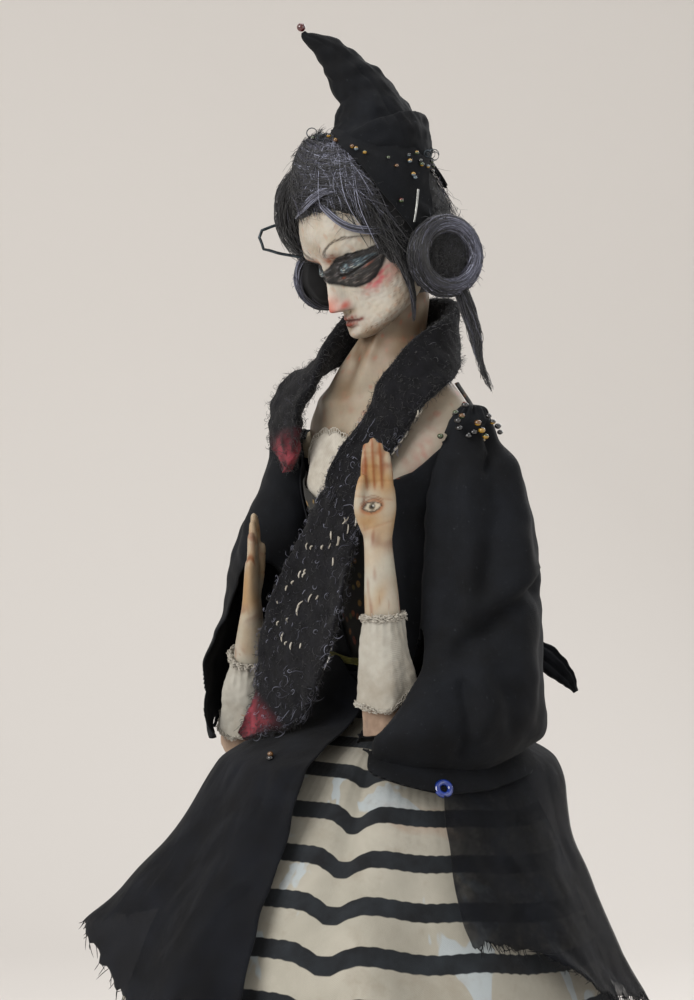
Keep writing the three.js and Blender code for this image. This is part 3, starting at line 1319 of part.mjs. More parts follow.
add("right_sleeve", makeSleeve(arms.right, rightSleeveRings), "black_cotton");
add("shoulder_bead_string", makeShoulderBeads(), "amber_bead");
add("coat_ring_bead", makeRingBead(), "blue_bead");
add("coat_upper_bead", ball(coatSpot(-30, 5, beadRadius + 1.8), beadRadius, 6, 5), "amber_bead");
add("coat_lower_bead", ball(coatSpot(-6, 14, beadRadius + 0.5), beadRadius, 6, 5), "amber_bead");

export default parts;
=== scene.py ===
# An art doll of a witch: bust and hands of painted clay, clothes of raw-edged cotton, felt stole, mohair hair.
import math
import bmesh
import bpy
import numpy as np
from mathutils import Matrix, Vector


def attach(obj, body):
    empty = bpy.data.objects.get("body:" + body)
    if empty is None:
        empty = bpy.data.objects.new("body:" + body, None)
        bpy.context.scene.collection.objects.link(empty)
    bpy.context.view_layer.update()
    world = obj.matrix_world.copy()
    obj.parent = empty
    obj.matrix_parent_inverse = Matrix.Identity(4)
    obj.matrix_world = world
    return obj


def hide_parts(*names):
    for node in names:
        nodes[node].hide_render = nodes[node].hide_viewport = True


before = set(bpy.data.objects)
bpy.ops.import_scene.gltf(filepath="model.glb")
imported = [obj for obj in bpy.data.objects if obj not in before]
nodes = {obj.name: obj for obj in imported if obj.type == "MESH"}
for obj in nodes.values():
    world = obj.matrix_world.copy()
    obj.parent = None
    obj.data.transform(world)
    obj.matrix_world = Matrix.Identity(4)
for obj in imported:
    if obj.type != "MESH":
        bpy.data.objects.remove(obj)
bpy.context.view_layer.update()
mm = 0.001
print("frame:", len(nodes), "nodes")

# the doll's own form, in millimetres, as its solids have it
body = {"crotch": 206, "waist": 248, "waistWide": 15, "waistDeep": 12, "hipWide": 20, "hipDeep": 15.5,
        "bustSeam": 296, "chestWide": 26, "chestDeep": 18.5, "shoulder": 331, "shoulderWide": 31,
        "shoulderDeep": 12.4, "slope": 15, "neck": 9, "spine": 10.5, "bendLow": 178, "bendHigh": 243}
head = {"high": 48, "halfWide": 17.5, "face": 18.5, "skull": 21, "yaw": 20, "pitch": 28, "chinRise": 17.5,
        "hair": 4.4}
skirt = {"hem": 21, "hemRadius": 100, "pleats": 9, "pleatDepth": 6}
layer = {"gap": 0.55, "wall": 0.7}
thinWall = 0.45
waist, shoulder = body["waist"], body["shoulder"]
neckFoot = shoulder + body["slope"]
neckTop = neckFoot + head["chinRise"] + 7
toRight = np.array([1, 1, 0]) / math.sqrt(2)
toNear = np.array([1, -1, 0]) / math.sqrt(2)
upward = np.array([0.0, 0, 1])


def lerp(a, b, t):
    return a + (b - a) * t


def smooth(x, low, high):
    t = np.clip((np.asarray(x, float) - low) / (high - low), 0, 1)
    return t * t * (3 - 2 * t)


def bump(x, width):
    return np.exp(-((np.asarray(x, float) / width) ** 2))


def unit(v):
    return v / np.maximum(np.linalg.norm(v, axis=-1, keepdims=True), 1e-9)


def vec(x, y, z):
    return np.stack(np.broadcast_arrays(*(np.asarray(c, float) for c in (x, y, z))), -1)


def offLine(way, front):  # the part of front that stands square to the way
    return unit(front - np.sum(front * way, -1, keepdims=True) * way)


def tilted(angle):  # a turn about the doll's left
    c, s = math.cos(angle), math.sin(angle)
    return np.array([[1, 0, 0], [0, c, -s], [0, s, c]])


def profile(rows):  # a smooth line through rows [key, value, ...], read at any keys
    table = np.array(rows, float)
    keys = table[:, 0]

    def read(key):
        key = np.clip(np.asarray(key, float), keys[0], keys[-1])
        i = np.clip(np.searchsorted(keys, key, side="right") - 1, 0, len(keys) - 2)
        before, after = np.maximum(i - 1, 0), np.minimum(i + 2, len(keys) - 1)
        span = (keys[i + 1] - keys[i])[..., None]
        t = (key - keys[i])[..., None] / span
        a, b = table[i, 1:], table[i + 1, 1:]
        leave = (b - table[before, 1:]) / (keys[i + 1] - keys[before])[..., None] * span
        arrive = (table[after, 1:] - a) / (keys[after] - keys[i])[..., None] * span
        rise = b - a
        value = a + t * (leave + t * (3 * rise - 2 * leave - arrive + t * (leave + arrive - 2 * rise)))
        return np.moveaxis(value, -1, 0)

    return read


def along(rows, count):  # count smooth stations between the given ones
    return profile([[i, *row] for i, row in enumerate(rows)])(np.linspace(0, len(rows) - 1, count)).T


def ripple(points, size, seed, waves=10):  # a soft random field with lumps of about that size
    rng = np.random.default_rng(seed)
    field = np.zeros(points.shape[:-1])
    for _ in range(waves):
        way = unit(rng.normal(size=3)) * rng.uniform(0.7, 1.6)
        field += np.sin(points @ way * (2 * math.pi / size) + rng.uniform(0, 2 * math.pi))
    return field / math.sqrt(waves)


def spineAt(z):
    return body["spine"] * smooth(z, body["bendLow"], body["bendHigh"]) - 1.5 * smooth(z, body["bustSeam"], neckFoot)


torsoSize = profile([
    [body["crotch"], body["hipWide"] * 0.62, body["hipDeep"] * 0.7],
    [body["crotch"] + 12, body["hipWide"], body["hipDeep"]],
    [waist - 12, body["hipWide"] * 0.92, body["hipDeep"] * 0.95],
    [waist, body["waistWide"], body["waistDeep"]],
    [waist + 22, body["waistWide"] * 1.18, body["waistDeep"] * 1.12],
    [body["bustSeam"], body["chestWide"] * 0.9, body["chestDeep"] * 0.94],
    [body["bustSeam"] + 16, body["chestWide"], body["chestDeep"]],
    [shoulder - 8, body["shoulderWide"] * 0.93, body["chestDeep"] * 0.84],
    [shoulder, body["shoulderWide"], body["shoulderDeep"]],
    [shoulder + body["slope"] * 0.5, body["shoulderWide"] * 0.86, body["shoulderDeep"] * 0.96],
    [neckFoot, body["shoulderWide"] * 0.62, body["shoulderDeep"] * 0.88],
    [neckFoot + 6, body["neck"] * 1.5, body["neck"] * 1.13],
    [neckFoot + 12, body["neck"] * 1.06, body["neck"] * 1.03],
    [neckTop, body["neck"] * 0.95, body["neck"] * 0.95],
])


def torsoCentre(z):
    lean = smooth(z, neckFoot, neckTop)
    return vec(3.2 * lean, spineAt(z) + 1.4 * lean, z)


def fromFront(angle):
    return (np.asarray(angle, float) + 180) % 360 - 180


def chestRelief(angle, z):
    side = np.abs(angle)
    breast = 2.6 * bump(side - 33, 24) * bump(z - body["bustSeam"] - 15, 10)
    collarbone = 1.1 * bump(z - shoulder - 5 - 0.05 * side, 2.4) * smooth(side, 6, 20) * bump(side - 35, 40)
    return breast + collarbone - 1.6 * bump(angle, 12) * bump(z - shoulder - 9, 4)


def torsoPoint(angle, z, grow=0.0):  # degrees from the front, positive to the doll's left
    wide, deep = torsoSize(z)
    out = grow + chestRelief(fromFront(angle), z)
    t = np.radians(angle)
    return torsoCentre(z) + vec((wide + out) * np.sin(t), -(deep + out) * np.cos(t), 0 * out)


def layerInner(n):
    return layer["gap"] + (n - 1) * (layer["wall"] + layer["gap"])


def layerOuter(n):
    return layerInner(n) + layer["wall"]


yaw, pitch = math.radians(head["yaw"]), math.radians(head["pitch"])
headForward = np.array([-math.sin(yaw) * math.cos(pitch), -math.cos(yaw) * math.cos(pitch), -math.sin(pitch)])
headLeft = np.array([math.cos(yaw), -math.sin(yaw), 0])
headUp = np.cross(headForward, headLeft)
headBase = torsoCentre(neckFoot + head["chinRise"]) + np.array([1.4, 0.9, 0])


def onHead(left, forward, height):
    left, forward, height = np.broadcast_arrays(*(np.asarray(v, float) for v in (left, forward, height)))
    return headBase + left[..., None] * headLeft + forward[..., None] * headForward + height[..., None] * headUp


def inHead(points):
    away = points - headBase
    return away @ headLeft, away @ headForward, away @ headUp


headSize = profile([
    [0, 0.8, -0.43, 0.17, 1.3], [0.025, 0.95, -0.24, 0.36, 1.4], [0.07, 1, 0.05, 0.6, 1.5],
    [0.125, 0.96, 0.29, 0.8, 1.5], [0.2, 0.93, 0.5, 0.87, 1.4], [0.3, 0.91, 0.69, 0.91, 1.25],
    [0.45, 0.9, 0.88, 0.95, 1.02], [0.6, 0.985, 0.98, 0.99, 0.94], [0.72, 1, 1, 1, 0.92],
    [0.83, 0.885, 0.9, 0.91, 0.92], [0.917, 0.68, 0.69, 0.71, 0.94], [0.975, 0.4, 0.38, 0.42, 0.97],
    [1, 0.12, 0.12, 0.12, 1],
])


def faceRelief(left, height):
    side = np.abs(left)
    noseRun = np.clip((26 - height) / 13.5, 0, 1)
    nose = smooth(height, 9.6, 12) * smooth(28 - height, 0, 4) * (0.9 + 4.2 * noseRun ** 1.15)
    nose = nose * bump(left, 1.5 + 1.3 * noseRun)
    wings = 1.3 * bump(side - 2.6, 1.3) * bump(height - 11.6, 1.5)
    nostrils = -0.9 * bump(side - 1.7, 0.8) * bump(height - 10, 0.7)
    socket = -2.3 * bump(side - 7.4, 4.6) * bump(height - 23.8, 3.2)
    lid = 2.2 * bump(side - 8, 4.2) * bump(height - 22.2, 2.4)
    slitLine = 20.6 + 0.13 * np.maximum(side - 8, 0) ** 1.4
    slit = -0.75 * bump(height - slitLine, 0.5) * smooth(side, 2.4, 4) * smooth(16 - side, 0, 2)
    crease = -0.4 * bump(height - slitLine - 4, 0.45) * smooth(side, 3.5, 6) * smooth(15 - side, 0, 3)
    brow = 0.9 * bump(side - 7, 5) * bump(height - 28.6, 2.2)
    lips = 1.1 * bump(left, 3.2) * (bump(height - 8, 0.9) + bump(height - 6, 0.95))
    mouthLine = -0.65 * bump(left, 3.8) * bump(height - 7 + 0.03 * side ** 2, 0.42)
    underLip = -0.9 * bump(left, 3) * bump(height - 4.5, 0.9)
    philtrum = -0.3 * bump(left, 0.7) * bump(height - 9.2, 0.8)
    chin = 0.5 * bump(left, 3.4) * bump(height - 2.6, 1.6)
    cheek = 1.1 * bump(side - 10, 3.6) * bump(height - 17.5, 4)
    hollow = -0.8 * bump(side - 9, 3.6) * bump(height - 9.6, 3.6)
    broad = 1.5 * bump(side - 9.5, 4) * bump(height - 27, 6)
    return (broad + nose + wings + nostrils + socket + lid + slit + crease + brow + lips + mouthLine + underLip
            + philtrum + chin + cheek + hollow)


def headPoint(turn, share, grow=0.0):
    face, back, wide, pointed = headSize(share)
    c, s = np.cos(turn), np.sin(turn)
    middle = (head["face"] * face - head["skull"] * back) / 2
    half = (head["face"] * face + head["skull"] * back) / 2
    front = smooth(c, -0.1, 0.5)
    left = (head["halfWide"] * wide + grow) * np.sign(s) * np.abs(s) ** lerp(0.95, pointed, front)
    height = head["high"] * share
    return left, middle + (half + grow) * c + front * faceRelief(left, height), height


hairMiddle = {"forward": -4, "height": head["high"] * 0.79}


def hairPoint(turn, tilt, grow=0.0):  # the outside of the combed hair, seen from its middle
    c, s, rise, out = np.cos(turn), np.sin(turn), np.cos(tilt), np.sin(tilt)
    lump = 0.9 * np.sin(3 * turn + 1) * np.sin(2 * tilt) + 0.7 * np.sin(5 * turn + 2) * out
    crest = 3.5 * bump(fromFront(np.degrees(turn) + 20), 60) * bump(tilt - 0.55, 0.5)
    low = np.maximum(-rise, 0)
    spread = np.where(rise < 0, np.cbrt(1 - low ** 3), out)
    middle = hairMiddle["forward"] - 5 * low
    reach = np.where(c > 0, head["face"] + 1.5, head["skull"] + head["hair"] + hairMiddle["forward"])
    height = np.where(rise < 0, head["high"] * 0.7, head["high"] * 0.33 + head["hair"]) + grow + lump + crest
    return onHead((head["halfWide"] + head["hair"] * 0.9 + grow + lump) * s * spread,
            middle + (reach + grow + lump + crest * 0.4) * c * spread, hairMiddle["height"] + height * rise)


def onHair(points, grow):  # the places on the hair under the given points
    left, forward, height = inHead(points)
    forward, height = forward - hairMiddle["forward"], height - hairMiddle["height"]
    return hairPoint(np.arctan2(left, forward), np.arctan2(np.hypot(left, forward), height), grow)


def shifted(start, right, near, rise):
    return start + np.multiply.outer(right, toRight) + np.multiply.outer(near, toNear) + np.multiply.outer(rise, upward)


def fromWaist(x, y, rise):
    return np.array([x, y, waist + rise], float)


arms = {
    "left": {"shoulder": np.array([body["shoulderWide"] + 1, body["spine"] - 0.5, shoulder - 6]),
             "elbow": fromWaist(22.2, -16.4, -7), "wrist": fromWaist(20.9, -20.2, 48),
             "hang": np.array([5.0, 6, -50]), "bend": np.array([13.0, 30, 5]),
             "palm": np.array([0.67, -0.74, 0]), "thumb": 1},
    "right": {"shoulder": np.array([-body["shoulderWide"] - 1, body["spine"] - 0.5, shoulder - 7]),
              "elbow": fromWaist(-50, -2, -10), "wrist": fromWaist(-33.7, -16.2, 26),
              "hang": np.array([-6.0, 4, -45]), "bend": np.array([-6.0, 12, 12]),
              "palm": np.array([0.86, 0.5, 0]), "thumb": -1},
}
armSize = {"limb": 3.9, "shoulderBall": 5.6, "elbowBall": 4.2, "elbowRoom": 5.0, "shoulderRoom": 6.35,
        "cutRoom": 6.7, "sleeveRoom": 5.3}
for arm in arms.values():
    arm["reach"] = float(np.linalg.norm(arm["wrist"] - arm["elbow"]))
    arm["axis"] = (arm["wrist"] - arm["elbow"]) / arm["reach"]
    arm["palm"] = unit(arm["palm"] - arm["palm"] @ arm["axis"] * arm["axis"])
    arm["side"] = np.cross(arm["palm"], arm["axis"])
    arm["lift"] = unit(lerp(upward, arm["axis"], 0.3))


# meshes
def addObject(name, mesh):
    made = bpy.data.objects.new(name, mesh)
    bpy.context.scene.collection.objects.link(made)
    return made

def gridPiece(name, points, around=False, uv=None, caps=(False, False), inside=None, keep=None, keepQuads=None):
    # points is rows by columns; uv has one column more where the grid goes around
    rows, cols = points.shape[:2]
    i, j = np.meshgrid(np.arange(cols if around else cols - 1), np.arange(rows - 1))
    quads = np.stack([j * cols + i, j * cols + (i + 1) % cols, (j + 1) * cols + (i + 1) % cols, (j + 1) * cols + i], -1)
    wide = cols + 1 if around else cols
    corners = np.stack([j * wide + i, j * wide + i + 1, (j + 1) * wide + i + 1, (j + 1) * wide + i], -1)
    quads, corners = quads.reshape(-1, 4), corners.reshape(-1, 4)
    flat = points.reshape(-1, 3)
    middle = flat[quads].mean(1)
    if keep is not None or keepQuads is not None:
        wanted = keep(middle) if keepQuads is None else keepQuads(quads)
        quads, corners, middle = quads[wanted], corners[wanted], middle[wanted]
    ref = np.broadcast_to(points.mean(1, keepdims=True), points.shape) if inside is None else inside
    normal = np.cross(flat[quads[:, 2]] - flat[quads[:, 0]], flat[quads[:, 3]] - flat[quads[:, 1]])
    turned = np.sum(normal * (middle - ref.reshape(-1, 3)[quads].mean(1))) < 0
    if turned:
        quads, corners = quads[:, ::-1], corners[:, ::-1]
    faces = quads.tolist()
    flat = flat.tolist()
    for low, wantedCap in zip((True, False), caps):
        if wantedCap:
            hub = len(flat)
            row = 0 if low else rows - 1
            flat.append(points[row].mean(0).tolist())
            for k in range(cols):
                a, b = row * cols + k, row * cols + (k + 1) % cols
                faces.append([b, a, hub] if low != turned else [a, b, hub])
    mesh = bpy.data.meshes.new(name)
    mesh.from_pydata((np.array(flat) * mm).tolist(), [], faces)
    if uv is not None:
        spots = uv.reshape(-1, 2)[corners.ravel()]
        spare = len(mesh.loops) - len(spots)
        spots = np.vstack([spots, np.zeros((spare, 2))])
        mesh.uv_layers.new(name="cloth").uv.foreach_set("vector", spots.ravel().astype(np.float32))
    mesh.shade_smooth()
    made = addObject(name, mesh)
    if keep is not None or keepQuads is not None:
        dropLoose(made)
    return made


def dropLoose(piece):
    edit = bmesh.new()
    edit.from_mesh(piece.data)
    for v in [v for v in edit.verts if not v.link_faces]:
        edit.verts.remove(v)
    edit.to_mesh(piece.data)
    edit.free()


def settle(piece):  # what the modifiers show becomes the mesh
    shown = bpy.data.meshes.new_from_object(piece.evaluated_get(bpy.context.evaluated_depsgraph_get()))
    piece.modifiers.clear()
    piece.data = shown
    return piece


def thicken(piece, wall):
    wallMod = piece.modifiers.new("wall", "SOLIDIFY")
    wallMod.thickness = wall * mm
    wallMod.offset = -1
    return settle(piece)


def remesh(piece, voxel, rounds):  # joined forms become one skin
    mesh = piece.modifiers.new("mesh", "REMESH")
    mesh.mode, mesh.voxel_size = "VOXEL", voxel * mm
    piece.modifiers.new("soft", "SMOOTH").iterations = rounds
    settle(piece).data.shade_smooth()


def places(piece):  # its vertices in millimetres
    spots = np.empty(len(piece.data.vertices) * 3, np.float32)
    piece.data.vertices.foreach_get("co", spots)
    return spots.reshape(-1, 3).astype(float) / mm


def mark(piece, name, values):
    piece.data.attributes.new(name, "FLOAT", "POINT").data.foreach_set("value", np.asarray(values, np.float32).ravel())


def paintOn(piece, colours, name="paint"):
    full = np.ones((len(colours), 4), np.float32)
    full[:, :3] = colours
    piece.data.attributes.new(name, "FLOAT_COLOR", "POINT").data.foreach_set("color", full.ravel())


def fuse(name, pieces):  # several meshes into one piece
    for other in bpy.context.selected_objects:
        other.select_set(False)
    for part in pieces:
        part.select_set(True)
    bpy.context.view_layer.objects.active = pieces[0]
    bpy.ops.object.join()
    pieces[0].name = name
    pieces[0].data.name = name
    return pieces[0]


def dress(piece, finish, slotName, *replaced, onBody="torso"):
    piece.data.materials.clear()
    piece.data.materials.append(finishes[finish])
    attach(piece, onBody)
    if replaced:
        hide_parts(*replaced)
    return piece


def clothSize(points, around=False):
    ring = np.concatenate([points, points[:, :1]], 1) if around else points
    across = np.linalg.norm(np.diff(ring, axis=1), axis=-1).sum(1).max()
    down = np.linalg.norm(np.diff(points, axis=0), axis=-1).sum(0).max()
    cell = np.cross(ring[1:, 1:] - ring[:-1, :-1], ring[1:, :-1] - ring[:-1, 1:])
    area = 0.5 * np.linalg.norm(cell, axis=-1).sum()
    return (across * mm, down * mm), min(area, across * down) * mm * mm


def arcUv(points, around=False):  # millimetres along the cloth from its first row, and across it
    ring = np.concatenate([points, points[:, :1]], 1) if around else points
    down = np.zeros(ring.shape[:2])
    down[1:] = np.cumsum(np.linalg.norm(np.diff(ring, axis=0), axis=-1), 0)
    middle = ring[len(ring) // 2]
    across = np.concatenate([[0], np.cumsum(np.linalg.norm(np.diff(middle, axis=0), axis=-1))])
    return np.stack([np.broadcast_to(across, down.shape), down], -1)


def sweepRings(stations, facing, sides, power=2.0):  # stations x, y, z, half width, half depth
    centre, a, b = stations[:, :3], stations[:, 3], stations[:, 4]
    way = np.empty_like(centre)
    way[1:-1] = centre[2:] - centre[:-2]
    way[0], way[-1] = centre[1] - centre[0], centre[-1] - centre[-2]
    way = unit(way)
    front = offLine(way, facing)
    side = np.cross(way, front)
    t = np.arange(sides) * 2 * math.pi / sides
    c, s = (np.sign(x) * np.abs(x) ** (2 / power) for x in (np.cos(t), np.sin(t)))
    rings = (centre[:, None] + a[:, None, None] * c[None, :, None] * side[:, None]
            + b[:, None, None] * s[None, :, None] * front[:, None])
    return rings, way, side, front


def keepOff(points, gap):  # moves what would be inside the dressed body or the coat tails out to their surface
    flat = points.reshape(-1, 3).copy()
    z = flat[:, 2]
    x, y = flat[:, 0], flat[:, 1] - spineAt(z)
    wide, deep = torsoSize(z)
    grow = np.where(z < shoulder - 4, layerOuter(3), layerOuter(1)) + gap
    grow = grow + chestRelief(np.degrees(np.arctan2(x, -y)), z)
    reach = np.hypot(x / (wide + grow), y / (deep + grow))
    torso = np.where((z > waist - 2) & (z < neckFoot), 1 / np.maximum(reach, 1e-3), 0)
    tail = coatRadius(np.degrees(np.arctan2(x, -y)), z) + gap + 1
    tail = np.where((z <= waist) & (z > waist - 100), tail / np.maximum(np.hypot(x, y), 1e-3), 0)
    push = np.maximum(np.maximum(torso, tail), 1)
    flat[:, 0] = x * push
    flat[:, 1] = y * push + spineAt(z)
    return flat.reshape(points.shape)


# finishes
def linear(code):
    values = [int(code[k:k + 2], 16) / 255 for k in (1, 3, 5)]
    return tuple(v / 12.92 if v <= 0.04045 else ((v + 0.055) / 1.055) ** 2.4 for v in values)


now = {}  # the node tree that is being made, and its shader


def startFinish(name, colour, roughness=0.8, **sockets):
    finish = bpy.data.materials.new(name)
    finish.use_nodes = True
    now["tree"] = finish.node_tree
    now["shader"] = shader = finish.node_tree.nodes["Principled BSDF"]
    shader.inputs["Base Color"].default_value = (*linear(colour), 1)
    shader.inputs["Roughness"].default_value = roughness
    for socket, value in sockets.items():
        shader.inputs[socket.replace("_", " ")].default_value = value
    return finish


def addNode(kind, inputs=None, **settings):
    made = now["tree"].nodes.new(kind)
    for key, value in settings.items():
        setattr(made, key, value)
    for key, value in (inputs or {}).items():
        if isinstance(value, bpy.types.NodeSocket):
            now["tree"].links.new(value, made.inputs[key])
        else:
            made.inputs[key].default_value = value
    return made


def objectPlace():
    return addNode("ShaderNodeTexCoord").outputs["Object"]


def clothPlace():
    return addNode("ShaderNodeUVMap", uv_map="cloth").outputs["UV"]


def noise(where, scale, detail=4.0, roughness=0.55, distortion=0.0):
    return addNode("ShaderNodeTexNoise", {"Vector": where, "Scale": scale, "Detail": detail, "Roughness": roughness,
            "Distortion": distortion}).outputs["Fac"]


def stretched(where, size):
    return addNode("ShaderNodeMapping", {"Vector": where, "Scale": size}).outputs["Vector"]


def ramp(factor, stops, interpolation="LINEAR"):
    made = addNode("ShaderNodeValToRGB", {"Fac": factor})
    made.color_ramp.interpolation = interpolation
    while len(made.color_ramp.elements) < len(stops):
        made.color_ramp.elements.new(0.5)
    for element, (position, colour) in zip(made.color_ramp.elements, stops):
        element.position = position
        element.color = (*linear(colour), 1) if isinstance(colour, str) else (colour, colour, colour, 1)
    return made.outputs["Color"]


def mixColour(factor, a, b, blend="MIX"):
    made = addNode("ShaderNodeMix", data_type="RGBA", blend_type=blend)
    for socket, value in zip((made.inputs[0], made.inputs[6], made.inputs[7]), (factor, a, b)):
        if isinstance(value, bpy.types.NodeSocket):
            now["tree"].links.new(value, socket)
        else:
            socket.default_value = (*linear(value), 1) if isinstance(value, str) else value
    return made.outputs[2]


def sums(operation, a, b=None, clamp=False):
    made = addNode("ShaderNodeMath", {0: a} if b is None else {0: a, 1: b}, operation=operation)
    made.use_clamp = clamp
    return made.outputs[0]


def times(a, b):
    return sums("MULTIPLY", a, b)


def plus(a, b):
    return sums("ADD", a, b)


def relief(height, strength, distance, under=None):
    inputs = {"Height": height, "Strength": strength, "Distance": distance * mm}
    if under is not None:
        inputs["Normal"] = under
    made = addNode("ShaderNodeBump", inputs).outputs["Normal"]
    toShader(made, "Normal")
    return made


def toShader(socket, name="Base Color"):
    now["tree"].links.new(socket, now["shader"].inputs[name])


def attribute(name, output="Fac"):
    return addNode("ShaderNodeAttribute", attribute_name=name).outputs[output]


def weave(where, pitch):  # threads crossing at that pitch in millimetres, from the cloth's own map
    parts = addNode("ShaderNodeSeparateXYZ", {"Vector": where})
    waves = [sums("SINE", times(parts.outputs[k], 2 * math.pi / pitch)) for k in (0, 1)]
    return plus(times(times(waves[0], waves[1]), 0.5), 0.5)


def makeClay():  # painted and waxed paper clay: its colours come with each piece as painted strokes
    finish = startFinish("paintedClay", "#c3b49c", 0.45, Specular_IOR_Level=0.22, Subsurface_Weight=0.03,
            Subsurface_Scale=0.002, Coat_Weight=0.05, Coat_Roughness=0.35)
    where = objectPlace()
    blotch = ramp(noise(where, 90, 6, 0.6), [(0.3, 0.86), (0.62, 1.0)])
    grain = ramp(noise(where, 700, 5, 0.7), [(0.3, 0.9), (0.7, 1.0)])
    painted = mixColour(1.0, attribute("paint", "Color"), blotch, "MULTIPLY")
    painted = mixColour(0.8, painted, grain, "MULTIPLY")
    toShader(painted)
    rough = ramp(noise(where, 240, 4), [(0.3, 0.34), (0.75, 0.62)])
    toShader(rough, "Roughness")
    soft = relief(noise(where, 160, 5), 0.35, 0.5)
    relief(noise(where, 1100, 3), 0.25, 0.12, soft)
    return finish


def makeBlackCotton(name, colour, light, roughness=0.85):  # washed black cotton, dusty on its folds
    finish = startFinish(name, colour, roughness, Sheen_Weight=0.03, Sheen_Roughness=0.4, Specular_IOR_Level=0.2)
    where = objectPlace()
    worn = ramp(noise(where, 60, 7, 0.62), [(0.38, 0.0), (0.74, 1.0)])
    lint = ramp(noise(where, 900, 3, 0.8), [(0.66, 0.0), (0.76, 1.0)])
    base = mixColour(worn, colour, light)
    base = mixColour(times(lint, 0.25), base, "#6b7078")
    toShader(base)
    threads = weave(clothPlace(), 0.62)
    first = relief(noise(where, 220, 5), 0.5, 0.5)
    relief(threads, 0.35, 0.12, first)
    return finish


def makeStriped():  # cream twill with woven black stripes, stained pale blue and peach
    finish = startFinish("stripedTwill", "#b9b4a4", 0.88, Sheen_Weight=0.1, Specular_IOR_Level=0.25)
    cloth, where = clothPlace(), objectPlace()
    fall = addNode("ShaderNodeSeparateXYZ", {"Vector": cloth}).outputs["Y"]
    fall = plus(fall, times(noise(where, 45, 2), 0.9))
    part = sums("FRACT", sums("DIVIDE", plus(fall, skirtCloth["stripeStart"]), skirtCloth["stripePitch"]))
    share = skirtCloth["stripeWide"] / skirtCloth["stripePitch"]
    stripe = ramp(part, [(0.0, 0.0), (0.02, 1.0), (share, 1.0), (share + 0.025, 0.0)])
    blotch = noise(where, 26, 6, 0.6, 0.6)
    cream = ramp(blotch, [(0.3, "#8e897d"), (0.5, "#9d998d"), (0.62, "#a8a397"), (0.74, "#a5917f")])
    patch = noise(stretched(where, (1.0, 1.0, 0.45)), 62, 3, 0.5, 0.4)
    cream = mixColour(ramp(patch, [(0.575, 0.0), (0.59, 0.7)]), cream, "#a4afb6")
    stain = ramp(noise(where, 70, 5, 0.7), [(0.55, 0.0), (0.72, 0.4)])
    cream = mixColour(stain, cream, "#83796a")
    black = ramp(noise(where, 120, 5), [(0.35, "#0c0e12"), (0.75, "#23282d")])
    base = mixColour(stripe, cream, black)
    threads = weave(cloth, 0.55)
    base = mixColour(0.5, base, ramp(threads, [(0.0, 0.72), (1.0, 1.0)]), "MULTIPLY")
    toShader(base)
    first = relief(noise(where, 180, 5), 0.5, 0.6)
    relief(threads, 0.45, 0.14, first)
    return finish


def makeSheer():  # black voile: the weave lets what is under it show
    finish = startFinish("blackVoile", "#0d0e12", 0.85, Sheen_Weight=0.04, Specular_IOR_Level=0.15)
    where, cloth = objectPlace(), clothPlace()
    worn = ramp(noise(where, 70, 6, 0.65), [(0.4, "#05060a"), (0.75, "#10131a")])
    toShader(worn)
    thin = attribute("thin")
    cover = ramp(noise(where, 200, 5, 0.7), [(0.3, 0.5), (0.7, 0.9)])
    cover = sums("MAXIMUM", cover, sums("SUBTRACT", 1.0, thin), True)
    toShader(cover, "Alpha")
    first = relief(noise(where, 230, 5), 0.6, 0.5)
    relief(weave(cloth, 0.7), 0.4, 0.14, first)
    return finish


def makeCream(name, light, dark, pitch, scale=60):  # unbleached cotton, tea stained
    finish = startFinish(name, light, 0.9, Sheen_Weight=0.1, Specular_IOR_Level=0.25)
    where = objectPlace()
    toShader(ramp(noise(where, scale, 6, 0.62), [(0.32, dark), (0.62, light)]))
    first = relief(noise(where, 260, 5), 0.5, 0.4)
    relief(weave(clothPlace(), pitch), 0.5, 0.16, first)
    return finish


def makeLeafPrint():  # dark cotton with scattered leaves in orange, brown and green
    finish = startFinish("leafPrint", "#42231b", 0.85, Sheen_Weight=0.08)
    cloth = clothPlace()
    cells = addNode("ShaderNodeTexVoronoi", {"Vector": stretched(cloth, (0.42, 0.3, 1)), "Scale": 1.0,
            "Randomness": 1.0})
    leaf = ramp(cells.outputs["Distance"], [(0.26, 1.0), (0.36, 0.0)])
    tone = addNode("ShaderNodeSeparateColor", {"Color": cells.outputs["Color"]}).outputs["Red"]
    colours = ramp(tone, [(0.0, "#7a3a20"), (0.35, "#8a6a34"), (0.6, "#4c5230"), (0.85, "#6a3020")])
    veins = ramp(noise(cloth, 2.2, 5), [(0.4, 0.55), (0.6, 1.0)])
    base = mixColour(leaf, "#15130f", mixColour(1.0, colours, veins, "MULTIPLY"))
    toShader(base)
    relief(weave(cloth, 0.5), 0.4, 0.14)
    return finish


def makeFelt():  # black felt, its ends felted through with dusky pink
    finish = startFinish("felt", "#101015", 0.95, Sheen_Weight=0.06, Sheen_Roughness=0.6, Specular_IOR_Level=0.15)
    where = objectPlace()
    black = ramp(noise(where, 330, 7, 0.75), [(0.35, "#040406"), (0.75, "#15151a")])
    pink = ramp(noise(where, 110, 6, 0.6), [(0.3, "#5a2228"), (0.6, "#8a3a44"), (0.78, "#a86070")])
    toShader(mixColour(attribute("pink"), black, pink))
    first = relief(noise(where, 170, 6, 0.7), 0.8, 1.0)
    relief(noise(where, 900, 4, 0.8), 0.6, 0.2, first)
    return finish


def makeHairFinish(name, roughness=0.55):  # mohair: each strand has its own tone from black to grey lavender; on the rolls the tone also holds a painted highlight
    finish = startFinish(name, "#17161c", roughness, Specular_IOR_Level=0.5, Sheen_Weight=0.15)
    tone = attribute("tone")
    toShader(ramp(tone, [(0.0, "#040406"), (0.4, "#101016"), (0.7, "#3c3c4c"), (1.0, "#9093a6")]))
    return finish


